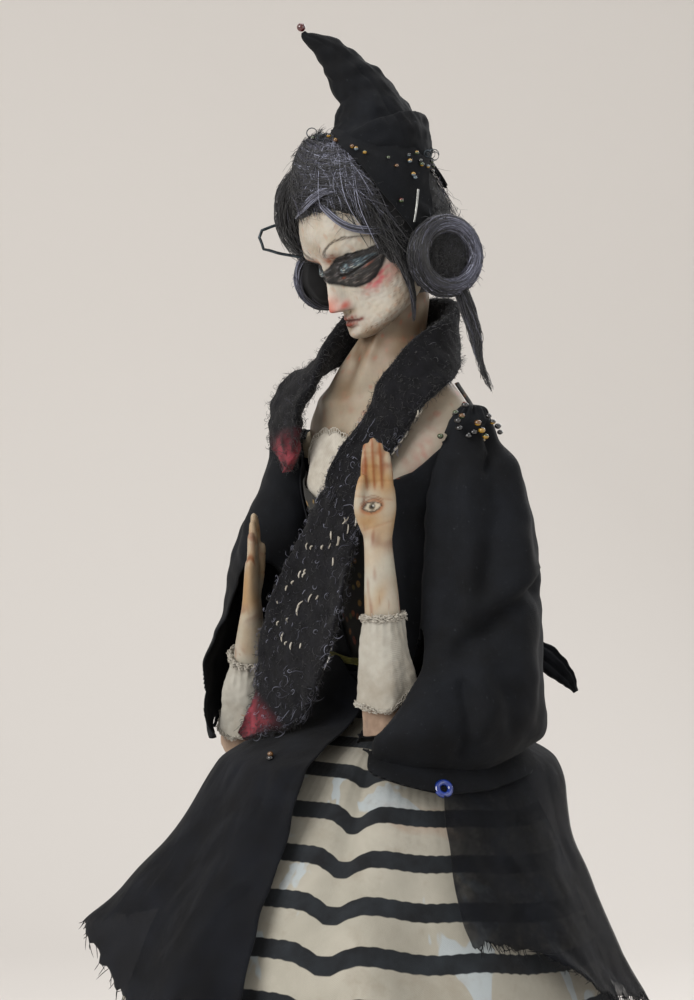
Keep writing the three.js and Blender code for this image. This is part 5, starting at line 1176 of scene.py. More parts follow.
def makeStole():
    rows = np.array(stoleLine, float)
    at = torsoPoint(rows[:, 0], lerp(waist, shoulder, rows[:, 1]), rows[:, 2])
    depth = np.minimum(stole["half"], 0.9 + rows[:, 3] * 0.3)
    line = along(np.column_stack([at, rows[:, 3], depth]).tolist(), stole["rows"])
    share = np.linspace(0, 1, stole["rows"])
    line[:, 3] *= 1 + 0.05 * ripple(vec(share * 100, 0, 0), 9, 51)
    behind = smooth(line[:, 1], -8, 8)
    facing = np.stack([line[:, 0] / 18 * lerp(0.3, 1, behind), (line[:, 1] - 4) / 10,
            0.15 + 0.5 * bump(line[:, 1] - 4, 7)], -1)
    rings, _, _, front = sweepRings(line, facing, stole["sides"], 2.4)
    t = np.arange(stole["sides"]) * 2 * math.pi / stole["sides"]
    edge = np.abs(np.cos(t))[None, :] ** 3
    curl = (1.3 * edge * (0.8 + 0.9 * ripple(vec(share * 100, 0, 0), 16, 52)[:, None]))[..., None] * front[:, None]
    lumps = (0.5 * ripple(rings, 7, 53) + 0.25 * ripple(rings, 2.6, 54))[..., None] * front[:, None]
    rings = keepOff(rings + curl + lumps * 0.6, 0.4)
    piece = gridPiece("stoleFelt", rings, True, arcUv(rings, True), (True, True))
    spots = places(piece)
    end = np.zeros(len(spots))
    ringShare = np.repeat(share, stole["sides"])
    tip = np.maximum(smooth(-ringShare, -0.085, -0.03), smooth(ringShare, 0.925, 0.965))
    outer = np.tile(np.cos(t), stole["rows"])
    spotty = ripple(spots[:len(tip)], 6, 55)
    end[:len(tip)] = np.clip(tip * (0.7 + 0.35 * spotty) * smooth(outer, -1.3, -0.2), 0, 1)
    mark(piece, "pink", end)
    mark(piece, "fuzz", 0.35 + 0.65 * np.concatenate([np.tile(np.abs(np.cos(t)) ** 2, stole["rows"]),
            np.zeros(len(spots) - len(tip))]))
    mark(piece, "tone", np.clip(0.08 + 0.16 * ripple(spots, 10, 56), 0, 0.5))
    fuzz = grow(piece, "fibres", "mohair", {"Density": stole["fibres"], "Length": stole["fibreLength"] * mm,
            "Thickness": 0.06 * mm, "Lean": 2.2, "Seed": 5}, "stoleFibres")
    dress(piece, "felt", "felt", "stole")
    dress(fuzz, "mohair", "felt")
    rng = np.random.default_rng(58)
    level = unit(rings - line[:, None, :3])
    hanging = np.repeat(smooth(share, 0.5, 0.72) * (1 - smooth(share, 0.95, 0.98)), stole["sides"])
    around = 0.5 + 0.5 * ripple(rings.reshape(-1, 3), 3, 57)
    tones = 0.2 + 0.34 * hanging * around + 0.14 * np.clip(around, 0, 1)
    mid = slice(3 * stole["sides"], -3 * stole["sides"])
    curls = curlPiece("stoleCurls", rings.reshape(-1, 3)[mid], level.reshape(-1, 3)[mid], 3900, 58, "mohair",
            tones[mid], (0.22, 0.6), 0.5, 0.075, 0.45)
    dress(curls, "mohair", "felt")
    bright = np.flatnonzero((hanging > 0.25) & (rng.uniform(0, 1, len(hanging)) < 0.6))
    pale = curlPiece("stolePaleCurls", rings.reshape(-1, 3)[bright], level.reshape(-1, 3)[bright], 620, 59, "mohair",
            np.full(len(bright), 0.82), (0.3, 0.8), 0.7, 0.085, 0.4)
    dress(pale, "mohair", "felt")
    stitches = []
    for _ in range(58):  # pale stitches on the hanging part
        i = int(stole["rows"] * rng.choice([rng.uniform(0.5, 0.66), rng.uniform(0.64, 0.84)], p=[0.3, 0.7]))
        columns = [j for j in range(stole["sides"])
                if unit(rings[i, j] - line[i, :3]) @ unit(rings[i, j] - onSpine(rings[i, j])) > 0.55]
        columns.sort(key=lambda j: rings[i, j] @ toRight)
        j = columns[int(len(columns) * rng.uniform(0.5, 1))]
        place = rings[i, j]
        level = unit(place - line[i, :3])
        down = unit(rings[min(i + 3, stole["rows"] - 1), j] - place + 0.9 * rng.normal(0, 0.6, 3))
        size = rng.uniform(0.6, 1.5)
        stitches.append(np.array([place + down * size * k + level * (0.05 + 0.42 * (1 - k * k))
                for k in (-1, -0.5, 0, 0.5, 1)]))
    dress(strandPiece("stoleStitches", stitches, "lace", 0.27, rng.uniform(0.7, 1.3, 58), sides=5), "lace", "felt")
    print("stole")


# camisole and bodice strap
def makeCamisole():
    def scalloped(turn):
        return camisoleTop(turn) + 0.9 * np.abs(np.sin(np.radians(turn) * 16))
    points = makeGarment("camisoleCloth", 1, body["bustSeam"] + 2, scalloped, (-60, 60), (180, 60), "lace", "lace",
            "camisole", 33, 0.25, None)
    top = points[-1]
    lines = []  # a crocheted edge of small loops along the top
    for k in range(2, len(top) - 4, 3):
        centre = top[k] + outward(top[k]) * 0.3
        t = np.linspace(0, 2 * math.pi, 9)
        lines.append(centre + np.outer(0.75 * np.cos(t), unit(top[k + 1] - top[k - 1]))
                + np.outer(0.75 * np.sin(t) + 0.3, upward))
    dress(strandPiece("camisoleEdging", lines, "lace", 0.2), "lace", "lace")


def makeStrap():
    rows = [[136, -12.5], [128, -5], [120, 3], [110, 12]]
    path = np.array([torsoPoint(a, shoulder + rise, layerInner(2)) for a, rise in rows])
    path = along(path.tolist(), 40)
    way = unit(np.gradient(path, axis=0))
    away = path - torsoCentre(path[:, 2])
    away[:, 2] = 4
    front = offLine(way, away)
    side = np.cross(way, front)
    s = np.linspace(-1, 1, 9)
    points = (path[:, None] + (1.2 * s)[None, :, None] * side[:, None]
            + (0.1 - 0.2 * s ** 2)[None, :, None] * front[:, None])
    piece = gridPiece("bodiceStrap", points, False, arcUv(points), inside=points - front[:, None])
    thicken(piece, 0.4)
    dress(piece, "leaf", "leaf_print", "bodice_strap")


# stuffed body, legs, boots and stand
def makeStuffed(name, points, node, onBody="torso"):
    piece = gridPiece(name, points, True, arcUv(points, True), (True, True))
    dress(piece, "calico", "stuffed_cloth", node, onBody=onBody)
    return piece


boot = {"spread": 13, "ankle": 4, "top": 60, "shaft": 7.6, "half": 6, "length": 38, "heel": 5, "heelLong": 11}
baseHeight = 12


def makeBody():
    angle, z = np.meshgrid(np.arange(0, 360, 5), np.linspace(body["crotch"], body["bustSeam"] - 0.3, 60))
    points = torsoPoint(angle, z, -1.2)
    points = points + outward(points) * (0.25 * ripple(points, 8, 61))[..., None]
    makeStuffed("stuffedBody", points, "torso_core")
    for side, name in ((1, "left"), (-1, "right")):
        x = side * boot["spread"]
        hip = [side * 9.5, float(spineAt(206)), 212]
        knee = [side * 11.25, 0, 115.5]
        ankle = [x, boot["ankle"], 54.45]
        rows = [[*hip, 8.6, 8.6], [*lerp(np.array(hip), np.array(knee), 0.45), 7.9, 8.2], [*knee, 6.6, 6.6],
                [*lerp(np.array(knee), np.array(ankle), 0.4), 7, 7], [*ankle, 5.1, 5.1]]
        line = along(rows, 70)
        rings = sweepRings(line, np.array([0.0, -1, 0]), 36)[0]
        rings = rings + unit(rings - line[:, None, :3]) * (0.2 * ripple(rings, 7, 62))[..., None]
        makeStuffed(name + "Leg", rings, name + "_leg")
        makeBoot(name, x)


def makeBoot(name, x):
    sole, instep, shaft, half = baseHeight + 2, baseHeight + boot["heel"], boot["shaft"], boot["half"]
    back = boot["ankle"] + boot["heelLong"] - 1
    toe = back - boot["length"]
    rows = [
        [x, 4, boot["top"], shaft, shaft], [x, 4, lerp(instep, boot["top"], 0.62), shaft * 0.9, shaft * 0.92],
        [x, 3.5, instep + 16, shaft * 0.78, shaft * 0.86], [x, 0, instep + 8, shaft * 0.8, shaft * 1.05],
        [x, lerp(4, toe, 0.4), sole + 6.5, half, shaft * 0.8], [x, lerp(4, toe, 0.7), sole + 4, half, shaft * 0.58],
        [x, toe + 3, sole + 2.2, half * 0.8, shaft * 0.36], [x, toe, sole + 1.2, half * 0.3, shaft * 0.12],
    ]
    line = along(rows, 90)
    upper = sweepRings(line, np.array([0.0, -1, 0.6]), 40, 2.3)[0]
    heel = along([[x, back - 7, baseHeight + 1, half * 0.85, 7], [x, back - 8.5, instep + 17, shaft * 0.75, 6.4]], 20)
    counter = sweepRings(heel, np.array([0.0, -1, 0]), 36)[0]
    for rings in (upper, counter):
        low = baseHeight + lerp(2.2, 5.2, smooth(rings[..., 1], -6, 4))
        rings[..., 2] = np.maximum(rings[..., 2], low)
    wellDepth = sweepRings(along([[x, 4, boot["top"], shaft - 0.9, shaft - 0.9],
            [x, 4, 54.2, shaft - 1.2, shaft - 1.2]], 8), np.array([0.0, -1, 0]), 40)[0]
    order = upper[::-1]  # toe to top, then down into the well
    shell = gridPiece(name + "BootUpper", np.concatenate([order, matched(order[-1], wellDepth)]), True, None,
            (True, True))
    counterPiece = gridPiece(name + "BootHeel", counter, True, None, (True, True))
    bootPiece = fuse(name + "BootLeather", [shell, counterPiece])
    remesh(bootPiece, 0.55, 4)
    dress(bootPiece, "leather", "leather", name + "_boot")
    laces = []
    for k in range(5):
        z = 30 + 5.5 * k
        front = -7.6 + 1.6 * smooth(z, 26, 50) + 3
        for lean in (1, -1):
            laces.append(np.array([[x - 3.2, front + 1.2, z - 1.8 * lean], [x, front - 1.6 - 1.2 * (k < 2), z],
                    [x + 3.2, front + 1.2, z + 1.8 * lean]]))
    dress(strandPiece(name + "BootLaces", [along(l.tolist(), 9) for l in laces], "leather", 0.4, sides=6), "leather",
            "leather")


def matched(ring, others):  # turns rings so that their first corner lies nearest the given ring's first
    turn = int(np.argmin(np.linalg.norm(others[0] - ring[0], axis=-1)))
    rolled = np.roll(others, -turn, axis=1)
    if np.linalg.norm(rolled[0, 1] - ring[1]) > np.linalg.norm(rolled[0, -1] - ring[1]):
        rolled = np.roll(rolled[:, ::-1], 1, axis=1)
    return rolled


def makeStand():
    outline = [[0, 0], [68, 0], [69.4, 0.6], [70, 2]]
    outline += [[70, z] for z in (3, 4.2)] + [[69.2, 4.7], [69.2, 5.3], [70, 5.8], [70, 8]]
    outline += [[66 + 4 * math.cos(t), 8 + 4 * math.sin(t)] for t in np.linspace(0.15, math.pi / 2, 10)]
    outline += [[60, 12], [59.4, 11.6], [58.6, 11.6], [58, 12], [30, 12], [2.3, 12], [2.3, 4.2], [0, 4]]
    rows = np.array(outline[1:-1], float)
    angle = np.radians(np.arange(0, 360, 2.5))
    points = np.stack([rows[:, :1] * np.cos(angle), rows[:, :1] * np.sin(angle),
            np.broadcast_to(rows[:, 1:], (len(rows), len(angle)))], -1)
    disc = gridPiece("turnedBase", points, True, None, (True, True))
    smoothEdges = disc.modifiers.new("edges", "BEVEL")
    smoothEdges.width, smoothEdges.segments, smoothEdges.limit_method = 0.25 * mm, 2, "ANGLE"
    settle(disc)
    dress(disc, "wood", "wood", "base_disc")
    rod = np.stack([np.stack([2 * np.cos(angle), 2 * np.sin(angle), np.full(len(angle), z)], -1)
            for z in np.linspace(4.3, 232, 30)])
    rodPiece = gridPiece("supportRod", rod, True, None, (True, True))
    dress(rodPiece, "steel", "steel", "support_rod")
    for side, name in ((1, "left"), (-1, "right")):
        dress(soleFrom(name, side * boot["spread"]), "leather", "leather", name + "_sole")


def soleFrom(name, x):  # outsole: the foot's outline, with a heel and an arch
    back, toe = boot["ankle"] + boot["heelLong"] - 1, boot["ankle"] + boot["heelLong"] - 1 - boot["length"]
    t = np.linspace(0, 1, 60)
    y = lerp(back, toe - 0.6, t)
    wide = boot["half"] * np.interp(t, [0, 0.05, 0.15, 0.3, 0.45, 0.6, 0.72, 0.85, 0.95, 1],
            [0.1, 0.62, 0.93, 0.9, 0.78, 0.9, 1.0, 0.86, 0.5, 0.12])
    high = baseHeight + lerp(2, 5, smooth(y, boot["ankle"] - 10, boot["ankle"])) - 0.15
    heelFront = back - boot["heelLong"]
    arch = smooth(heelFront - y, 0, 0.6) * smooth(y - heelFront + 14, 0, 6)
    low = lerp(baseHeight + 0.3, high - 1.8, np.clip(arch, 0, 1) * np.clip((y - heelFront + 13) / 12, 0, 1))
    ring = np.array([[-1, 1], [-0.5, 1], [0, 1], [0.5, 1], [1, 1], [1, 0.5], [1, 0], [0.5, 0], [0, 0], [-0.5, 0],
            [-1, 0], [-1, 0.5]], float)
    points = np.stack([np.stack([x + ring[:, 0] * w, np.full(12, yy), lerp(lo, hi, ring[:, 1])], -1)
            for w, yy, lo, hi in zip(wide, y, low, high)])
    return gridPiece(name + "Outsole", points, True, None, (True, True))


def makeWaist():
    low = waistBands["low"]
    top = low + waistBands["high"]
    makeBand("waistSash", low, top, waistBands["sashWall"], 0, "black", "black_cotton", "waist_sash", 0.35, 3)
    makeBand("waistRibbon", top + 2, top + 2 + waistBands["ribbon"], 0.5, -1.2, "ribbon", "ribbon", "waist_ribbon",
            0.08, 5)
    makeBow()
    print("waist and bow")

# bust: the head is painted by strokes laid over its form, in the head's own left and height
face = {"columns": 352, "rows": 206, "skin": "#c6c0b5", "shade": "#8d7257"}


def nearLine(left, height, line):  # distance from each place to a drawn line
    best = np.full(left.shape, 1e9)
    for (ax, ay), (bx, by) in zip(line[:-1], line[1:]):
        dx, dy = bx - ax, by - ay
        t = np.clip(((left - ax) * dx + (height - ay) * dy) / (dx * dx + dy * dy), 0, 1)
        best = np.minimum(best, np.hypot(left - ax - t * dx, height - ay - t * dy))
    return best


def lay(colours, code, amount):
    return lerp(colours, np.array(linear(code)), np.clip(amount, 0, 1)[..., None])


paintDark = 0.76  # all painted clay, so that it comes out as dark as the real one in this light


def bareClay(code, shape):
    return np.broadcast_to(np.array(linear(code)), (*shape, 3)).copy()


def paint(colours, strokes):
    for code, amount in strokes:
        colours = lay(colours, code, amount)
    return colours


def streaks(across, up, size, seed, long=5.0):  # paint strokes that run across
    return ripple(vec(across / long, up, 0), size, seed)


def paintFace(left, forward, height, where):
    side = np.abs(left)
    front = smooth(forward, -2, 4)
    skin = bareClay(face["skin"], left.shape)
    skin = paint(skin, [
        ("#b3a48e", 0.3 + 0.28 * ripple(where, 9, 71)),
        # painted highlights on the cheeks, down the nose and on the forehead
        ("#d6d0c4", 0.6 * bump(side - 8, 6) * bump(height - 13, 6) + 0.5 * bump(side, 2) * bump(height - 17, 7)),
        ("#cfc8bb", 0.5 * bump(side - 6, 6) * bump(height - 36, 6))])
    # painted shade under the chin and the hair, down the sides of the face, beside the nose wings, under the lower lip
    # and at the inner brows
    shade = 0.6 * bump(height - 1.2, 3) + smooth(side, 12, 16) * 0.55 * smooth(24 - height, 0, 12)
    shade = (shade + 0.5 * bump(side - 3.6, 1.3) * bump(height - 9.4, 1.3)
            + 0.45 * bump(left, 3) * bump(height - 4.4, 0.9))
    shade = shade + 0.25 * bump(side - 2, 4) * bump(height - 30, 3.5) + 0.45 * smooth(height, 35, 42)
    skin = paint(skin, [
        (face["shade"], shade * (0.75 + 0.3 * ripple(where, 5, 72))),
        # painted shade, grey, down the sides of the nose
        ("#8c8f8c", 0.3 * bump(side - 2.9, 1.2) * bump(height - 15, 4) * front)])
    fine = smooth(streaks(where[..., 0] + where[..., 2], where[..., 1] - where[..., 2], 0.5, 86, 4), 0.5, 1.2)
    jaw = (bump(height - 2.4 - 0.022 * np.maximum(side - 4, 0) ** 2, 1.9) * smooth(side, 2, 6)
            + 0.6 * smooth(side, 12.6, 15) * smooth(20 - height, 0, 8))
    skin = paint(skin, [
        ("#7a4a30", 0.8 * fine * jaw * front),
        ("#b98a6c", 0.3 * smooth(ripple(where, 3.2, 73), 0.5, 1.5))])
    # rust along the top of the mask and at its inner corners
    up = height - 24.9 - 2.0 * bump(side - 9, 4.5)
    rust = bump(up - 0.7, 1.0) * smooth(side, 1.6, 3.4) * smooth(10.5 - side, 0, 4)
    skin = paint(skin, [
        ("#8f4d2c", (0.85 + 0.3 * streaks(side, height, 0.5, 87)) * rust * front),
        ("#a8643c", 0.5 * bump(side - 2.6, 1.3) * bump(height - 26.4, 1.8) * front)])
    # rose cheeks and red nose
    cloud = 0.8 + 0.3 * ripple(where, 2.2, 74) + 0.25 * streaks(side + height, side - height, 1.2, 88)
    skin = paint(skin, [
        ("#c8666c", 0.75 * bump(side - 12.4, 3.1) * bump(height - 15.2 - 0.35 * (side - 12), 2.1) * cloud),
        ("#c2525c", 0.6 * bump(side - 13.4, 2.0) * bump(height - 16.6 - 0.8 * (side - 13), 1.7) * cloud),
        ("#cf7c6c", 0.8 * bump(left, 2.3) * bump(height - 13.6, 2.5) * smooth(forward, 17, 19.5)),
        ("#bf4834", 0.8 * bump(left, 1.8) * bump(height - 11.9, 1.1) * smooth(forward, 17.5, 20)),
        ("#b9402f", 0.8 * bump(side - 3.3, 0.8) * bump(height - 12.2, 1.3)),
        ("#5a1f18", 0.85 * bump(side - 2.4, 0.8) * bump(height - 10.3, 0.45) * front),
        ("#a9884e", 0.5 * bump(side - 1.5, 2) * bump(height - 9.6, 0.7) * front)])
    # lips
    lip = 1.3 * bump(left, 3.6) * (bump(height - 7.9, 0.8) + bump(height - 6, 0.85)) * smooth(4.7 - side, 0, 1.4)
    skin = paint(skin, [
        ("#8c4335", lip * (0.85 + 0.25 * streaks(height, left, 0.9, 89))),
        ("#4d1812", 0.97 * bump(height - 7 + 0.03 * side ** 2, 0.42) * smooth(4.9 - side, 0, 0.8) * front),
        ("#6c1e12", 0.95 * bump(side - 4.9, 0.9) * bump(height - 6.6, 0.6) * front),
        ("#7a3a2a", 0.5 * bump(left, 2.2) * bump(height - 5, 0.5) * front)])
    # graphite band with pale lids, drawn right across the bridge
    top = np.interp(side, [0, 1.4, 3, 5, 8, 11, 14, 16.5], [23.7, 24.0, 24.9, 25.9, 26.6, 26.7, 25.7, 25.5])
    low = np.interp(side, [0, 1, 3, 5.5, 8, 11, 13, 14.6, 16.2, 17],
            [20.2, 19.7, 18.1, 16.9, 16.2, 15.9, 16.7, 19, 23.4, 25.2])
    wobble = 0.12 * ripple(where, 2.4, 75)
    band = smooth(top - height + wobble, -0.1, 0.2) * smooth(height - low + wobble, -0.1, 0.2) * smooth(forward, -1, 2)
    slit = 20.6 + 0.13 * np.maximum(side - 8, 0) ** 1.4
    level = height - slit - 0.35 * np.sin(side * 0.3)
    scratch = streaks(side, level, 0.55, 77, 5)
    grey = lay(bareClay("#1c1c21", left.shape), "#6a686c", smooth(scratch, 0.3, 1.7))
    grey = lay(grey, "#08080a", smooth(-scratch, 0.1, 1.0))
    grey = lay(grey, "#6f655e", 0.55 * bump(height - low - 1.6, 1.0) * smooth(scratch, -0.2, 1.0))
    skin = lerp(skin, grey, (0.96 * band)[..., None])
    lid = smooth(level, 0.2, 0.8) * smooth(3.9 - 0.08 * (side - 9.5) ** 2 - level, 0, 1) * smooth(side, 4.4, 6.4)
    lid = lid * smooth(15.6 - side, 0, 1.6)
    streak = streaks(side, level, 0.6, 78, 4)
    skin = paint(skin, [
        ("#42525c", 0.9 * lid * smooth(streak, -0.6, 0.4)),
        ("#8a9ba0", 0.85 * lid * smooth(streak, 0.2, 0.9) * bump(level - 1.7, 1.3)),
        # pale lid paint with a painted highlight on the middle of each lid
        ("#bdbfb6", 0.9 * lid * smooth(streak, 0.5, 1.3) * bump(level - 1.2, 0.7) * bump(side - 9.4, 3.4)),
        ("#0f0f12", 0.75 * bump(level - 3.4 + 0.07 * (side - 9.5) ** 2, 0.35) * smooth(side, 3, 5)
            * smooth(14.5 - side, 0, 2)),
        ("#060607", 0.97 * bump(height - slit, 0.34) * smooth(side, 2.2, 4) * smooth(16.2 - side, 0, 1.4) * front)])
    rim = nearLine(side, height, [(0.6, 20.4), (2.2, 19), (4, 17.7), (6.5, 16.8), (9, 16.2), (11.5, 16.3),
            (13.2, 17.4), (14.8, 20), (16.3, 24.4)])
    skin = lay(skin, "#08080a", 0.95 * bump(rim, 0.5) * front)
    edge = nearLine(side, height, [(1, 23.6), (3, 24.6), (5, 25.6), (8, 26.3), (11, 26.4), (14, 25.4), (16.3, 25.3)])
    skin = paint(skin, [
        ("#0a0a0c", 0.85 * bump(edge, 0.32) * front * smooth(streaks(side, height, 0.8, 92, 3), -1.6, -0.2)),
        ("#0a0a0c", 0.8 * bump(side - 1.6, 0.9) * bump(height - 21.9, 1.5) * front),
        ("#a04c28", 0.8 * bump(height - slit + 0.75, 0.25) * bump(side - 5.2, 1.0) * 0.7),
        ("#a04c28", 0.8 * bump(height - slit + 0.6, 0.28) * bump(side - 12.8, 0.9) * 0.7),
        ("#8a8178", 0.5 * bump(height - slit + 1.3, 0.4) * bump(side - 9, 3) * smooth(streak, -0.5, 1))])
    # brows of thin strokes
    strokes = [((3.2, 27.6), (5.2, 29.6), 0.14), ((3.9, 27.5), (5.9, 29.9), 0.16), ((4.7, 28), (6.8, 30.4), 0.18),
            ((5.5, 28.2), (7.3, 30.3), 0.14), ((6.2, 29.3), (8.4, 31), 0.16), ((7.4, 30), (9.8, 31.3), 0.15),
            ((6.5, 30.1), (10.5, 31.9), 0.13), ((9, 31), (12.4, 31.6), 0.15), ((10.5, 31.3), (14.2, 30.2), 0.14),
            ((11.6, 31.9), (15.4, 29.1), 0.13), ((3, 29.4), (4.4, 31), 0.12)]
    for (ax, ay), (bx, by), width in strokes:
        stroke = nearLine(side, height, [(ax, ay), (lerp(ax, bx, 0.5), lerp(ay, by, 0.5) + 0.18), (bx, by)])
        skin = lay(skin, "#2a2622", 0.85 * bump(stroke, width) * front)
    line = nearLine(side, height, [(4, 28), (6, 30), (9, 31.4), (12, 31.4), (15.6, 28.6)])
    skin = lay(skin, "#6e5a48", 0.3 * bump(line, 0.45) * front)
    return skin * paintDark


def makeHead():
    turn, share = np.meshgrid(np.arange(face["columns"]) * 2 * math.pi / face["columns"],
            np.linspace(0, 1, face["rows"]))
    turn = turn - 0.62 * np.sin(turn)
    share = share - 0.03 * np.sin(2 * math.pi * share)
    left, forward, height = headPoint(turn, share)
    points = onHead(left, forward, height)
    colours = paintFace(left, forward, height, points)
    pits = 0.05 * ripple(points, 2.4, 81) + 0.03 * ripple(points, 1, 82)
    points = points + unit(points - onHead(0, 0, height)) * pits[..., None]
    piece = gridPiece("bustHead", points, True, None, (True, True))
    full = np.concatenate([colours.reshape(-1, 3), np.tile(colours[0, 0], (2, 1))])
    paintOn(piece, full[:len(piece.data.vertices)])
    dress(piece, "clay", "clay", "bust_casting")


def makeChest():
    angle, v = np.meshgrid(np.arange(0, 360, 1.6), np.linspace(0, 1, 150))
    z = lerp(body["bustSeam"], neckTop + 1, v)
    points = torsoPoint(angle, z)
    rise = (z - neckFoot + 8) / (neckTop - neckFoot + 8)
    for lean in (1, -1):  # the two tendons of the neck
        tendon = bump(fromFront(angle) + 24 - lean * lerp(14, 46, np.clip(rise, 0, 1)), 9) * smooth(rise, -0.15, 0.15)
        points = points + outward(points) * (1.1 * tendon)[..., None]
    # and the hollow between them
    points = points - outward(points) * (1.3 * bump(fromFront(angle) + 22, 11) * bump(z - neckFoot - 1, 7))[..., None]
    for arm in arms.values():  # a hollow at each shoulder for the ball of the arm
        away = points - arm["shoulder"]
        far = np.linalg.norm(away, axis=-1, keepdims=True)
        room = armSize["shoulderRoom"]
        points = np.where(far < room, arm["shoulder"] + away / far * room, points)
    turn = fromFront(angle)
    skin = bareClay("#b7ac9a", points.shape[:2])
    skin = paint(skin, [
        ("#8f7a62", 0.5 + 0.35 * ripple(points, 16, 83)),
        ("#c9c0b0", 0.8 * bump(turn - 55, 30) * smooth(shoulder + 9 - z, 0, 14)),
        # painted shadow of the head over the neck, mottled
        ("#6f5238", 0.7 * smooth(z, neckFoot - 2, neckFoot + 8) * (0.7 + 0.3 * ripple(points, 6, 84))),
        # painted shade in the hollow between the neck's tendons
        ("#54391f", 0.6 * bump(turn + 22, 9) * bump(z - neckFoot - 2, 9)),
        ("#a77d68", 0.35 * smooth(ripple(points, 5, 85), 0.5, 1.6)),
        ("#b0604a", 0.5 * smooth(streaks(turn, z, 5, 90, 3), 1.0, 1.8) * smooth(z, body["bustSeam"] + 12, neckFoot)),
        ("#b87a70", 0.5 * bump(turn - 48, 9) * bump(z - shoulder + 10, 9) * (0.7 + 0.4 * ripple(points, 3, 91)))])
    skin = skin * paintDark
    piece = gridPiece("bustCasting", points, True, None, (True, True))
    full = np.concatenate([skin.reshape(-1, 3), np.tile(skin[0, 0], (2, 1))])
    paintOn(piece, full)
    dress(piece, "clay", "clay")


# hair: a dark combed form under thousands of strands
hair = {"strand": 0.13, "capStrands": 2300, "seed": 91}
# patches of the hair, seen from the near side: right and up from the foot of the head, radius, tone
hairPatches = [(-16, 40.5, 5.2, 0.75), (-20, 44.5, 3.5, 0.6), (-26, 43, 5, 0.55), (-29, 36, 4, 0.5),
        (-16.7, 31, 6.5, -0.3), (-22.5, 36.5, 2.6, -0.3), (9, 36, 4, 0.5), (2, 30, 6, -0.25), (-33, 41, 4, -0.15)]


def hairTone(points):
    away = points - headBase
    right, up = away @ toRight, away @ upward
    tone = 0.2 + 0.12 * ripple(points, 6, 94)
    for x, y, size, extra in hairPatches:
        tone = tone + extra * bump(np.hypot(right - x, up - y), size * 1.3)
    return np.clip(tone, 0.02, 0.95)


def headClear(points, gap=0.35):  # how far each place stands outside the face and skull, roughly
    left, forward, height = inHead(points)
    share = np.clip(height / head["high"], 0, 1)
    faceSize, back, wide, _ = headSize(share)
    middle = (head["face"] * faceSize - head["skull"] * back) / 2
    half = (head["face"] * faceSize + head["skull"] * back) / 2
    reach = np.hypot(left / (head["halfWide"] * wide), (forward - middle) / half)
    return (reach - 1) * half - gap + np.maximum(height - head["high"], 0) + np.maximum(-height, 0)


def hairBase(name, rings, caps=(True, True), dark=0.12):
    piece = gridPiece(name, rings, True, arcUv(rings, True), caps)
    mark(piece, "tone", np.clip(dark + 0.06 * ripple(places(piece), 5, 92), 0, 0.5))
    return piece


capSpine = [[0, -10, 46.5, 16.5], [10, -9, 45, 14], [16, -7, 42, 9.5], [20, -4.5, 34, 6], [21.5, -1.8, 27.5, 1.5]]


def underHat(points):  # under the draped cap of the hat
    path = along([[*onHead(a, b, c), half] for a, b, c, half in capSpine], 30)
    middle = onHair(path[:, :3], 0.5)
    gap = np.linalg.norm(points[..., None, :] - middle, axis=-1) - path[:, 3] * 1.02
    return (gap < 0).any(-1)


def makeHairCap():
    turn, tilt = np.meshgrid(np.arange(0, 360, 2.5), np.linspace(0.03, 0.97, 90) * math.pi)
    turn = np.radians(turn)
    points = hairPoint(turn, tilt, -0.5)
    points = points + unit(points - onHead(0, -4, 38)) * (0.35 * ripple(points, 5, 93))[..., None]
    piece = gridPiece("hairCap", points, True, arcUv(points, True), (True, True))
    mark(piece, "tone", np.full(len(piece.data.vertices), 0.1))
    dress(piece, "mohairBase", "mohair", "hair_cap")
    rng = np.random.default_rng(hair["seed"])
    strands = Strands(rng)
    steps = np.linspace(0, 1, 12)
    for n in range(hair["capStrands"]):
        swept = n % 3 == 0
        a = rng.uniform(-math.pi, math.pi)
        if swept:  # combed over the brow from the parting to the left temple
            a0, t0 = rng.normal(-0.45, 0.25), rng.uniform(0.35, 0.9)
            turnLine = a0 + steps * rng.uniform(1.2, 2.4)
            tiltLine = t0 + steps * rng.uniform(0.3, 0.75) + 0.08 * np.sin(steps * 5 + n)
        else:
            t0 = rng.uniform(0.25, 1.6)
            turnLine = a + steps * rng.normal(0, 0.22) + 0.05 * np.sin(steps * rng.uniform(3, 9) + n)
            tiltLine = t0 + steps * rng.uniform(0.5, 1.25)
        tiltLine = np.clip(tiltLine, 0.05, 2.75)
        lift = rng.uniform(-0.25, 0.7) + (rng.uniform(0, 2.4) * steps ** 2 if rng.uniform() < 0.12 else 0)
        spots = hairPoint(turnLine, tiltLine, lift)
        clear = (headClear(spots) > 0) & ~underHat(spots)
        stop = len(spots) if clear.all() else int(np.argmin(clear))
        if stop < 5 or not clear[0]:
            continue
        strands.add(spots[:stop], 0.6, 1.3, hairTone(spots[3]), 0.12)
    strands.piece("hairCapStrands")
    print("hair cap:", len(strands.lines), "strands")
    near = hairPoint(turn[4:72], tilt[4:72], 0.2).reshape(-1, 3)
    near = near[(headClear(near) > 0.6) & ~underHat(near)]
    curls = curlPiece("hairCapCurls", near, unit(near - onHead(0, hairMiddle["forward"], hairMiddle["height"])),
            2700, 98, "mohair", hairTone(near), (0.25, 0.8), 0.9, 0.085, 0.35)
    dress(curls, "mohair", "mohair")
    lines = []  # loose hairs that stand off all round
    for _ in range(260):
        a, t0 = rng.uniform(-math.pi, math.pi), rng.uniform(0.5, 2.2)
        steps = np.linspace(0, 1, 9)
        spots = hairPoint(a + steps * rng.normal(0, 0.5), t0 + steps * rng.uniform(0.1, 0.6), steps ** 1.5
                * rng.uniform(1, 6))
        spots = spots + 0.5 * np.stack([ripple(spots, 6, k) for k in (1, 2, 3)], -1) * steps[:, None]
        if (headClear(spots) > 0).all() and not underHat(spots).any():
            lines.append(spots)
    dress(strandPiece("looseHairs", lines, "mohair", 0.06), "mohair", "mohair")


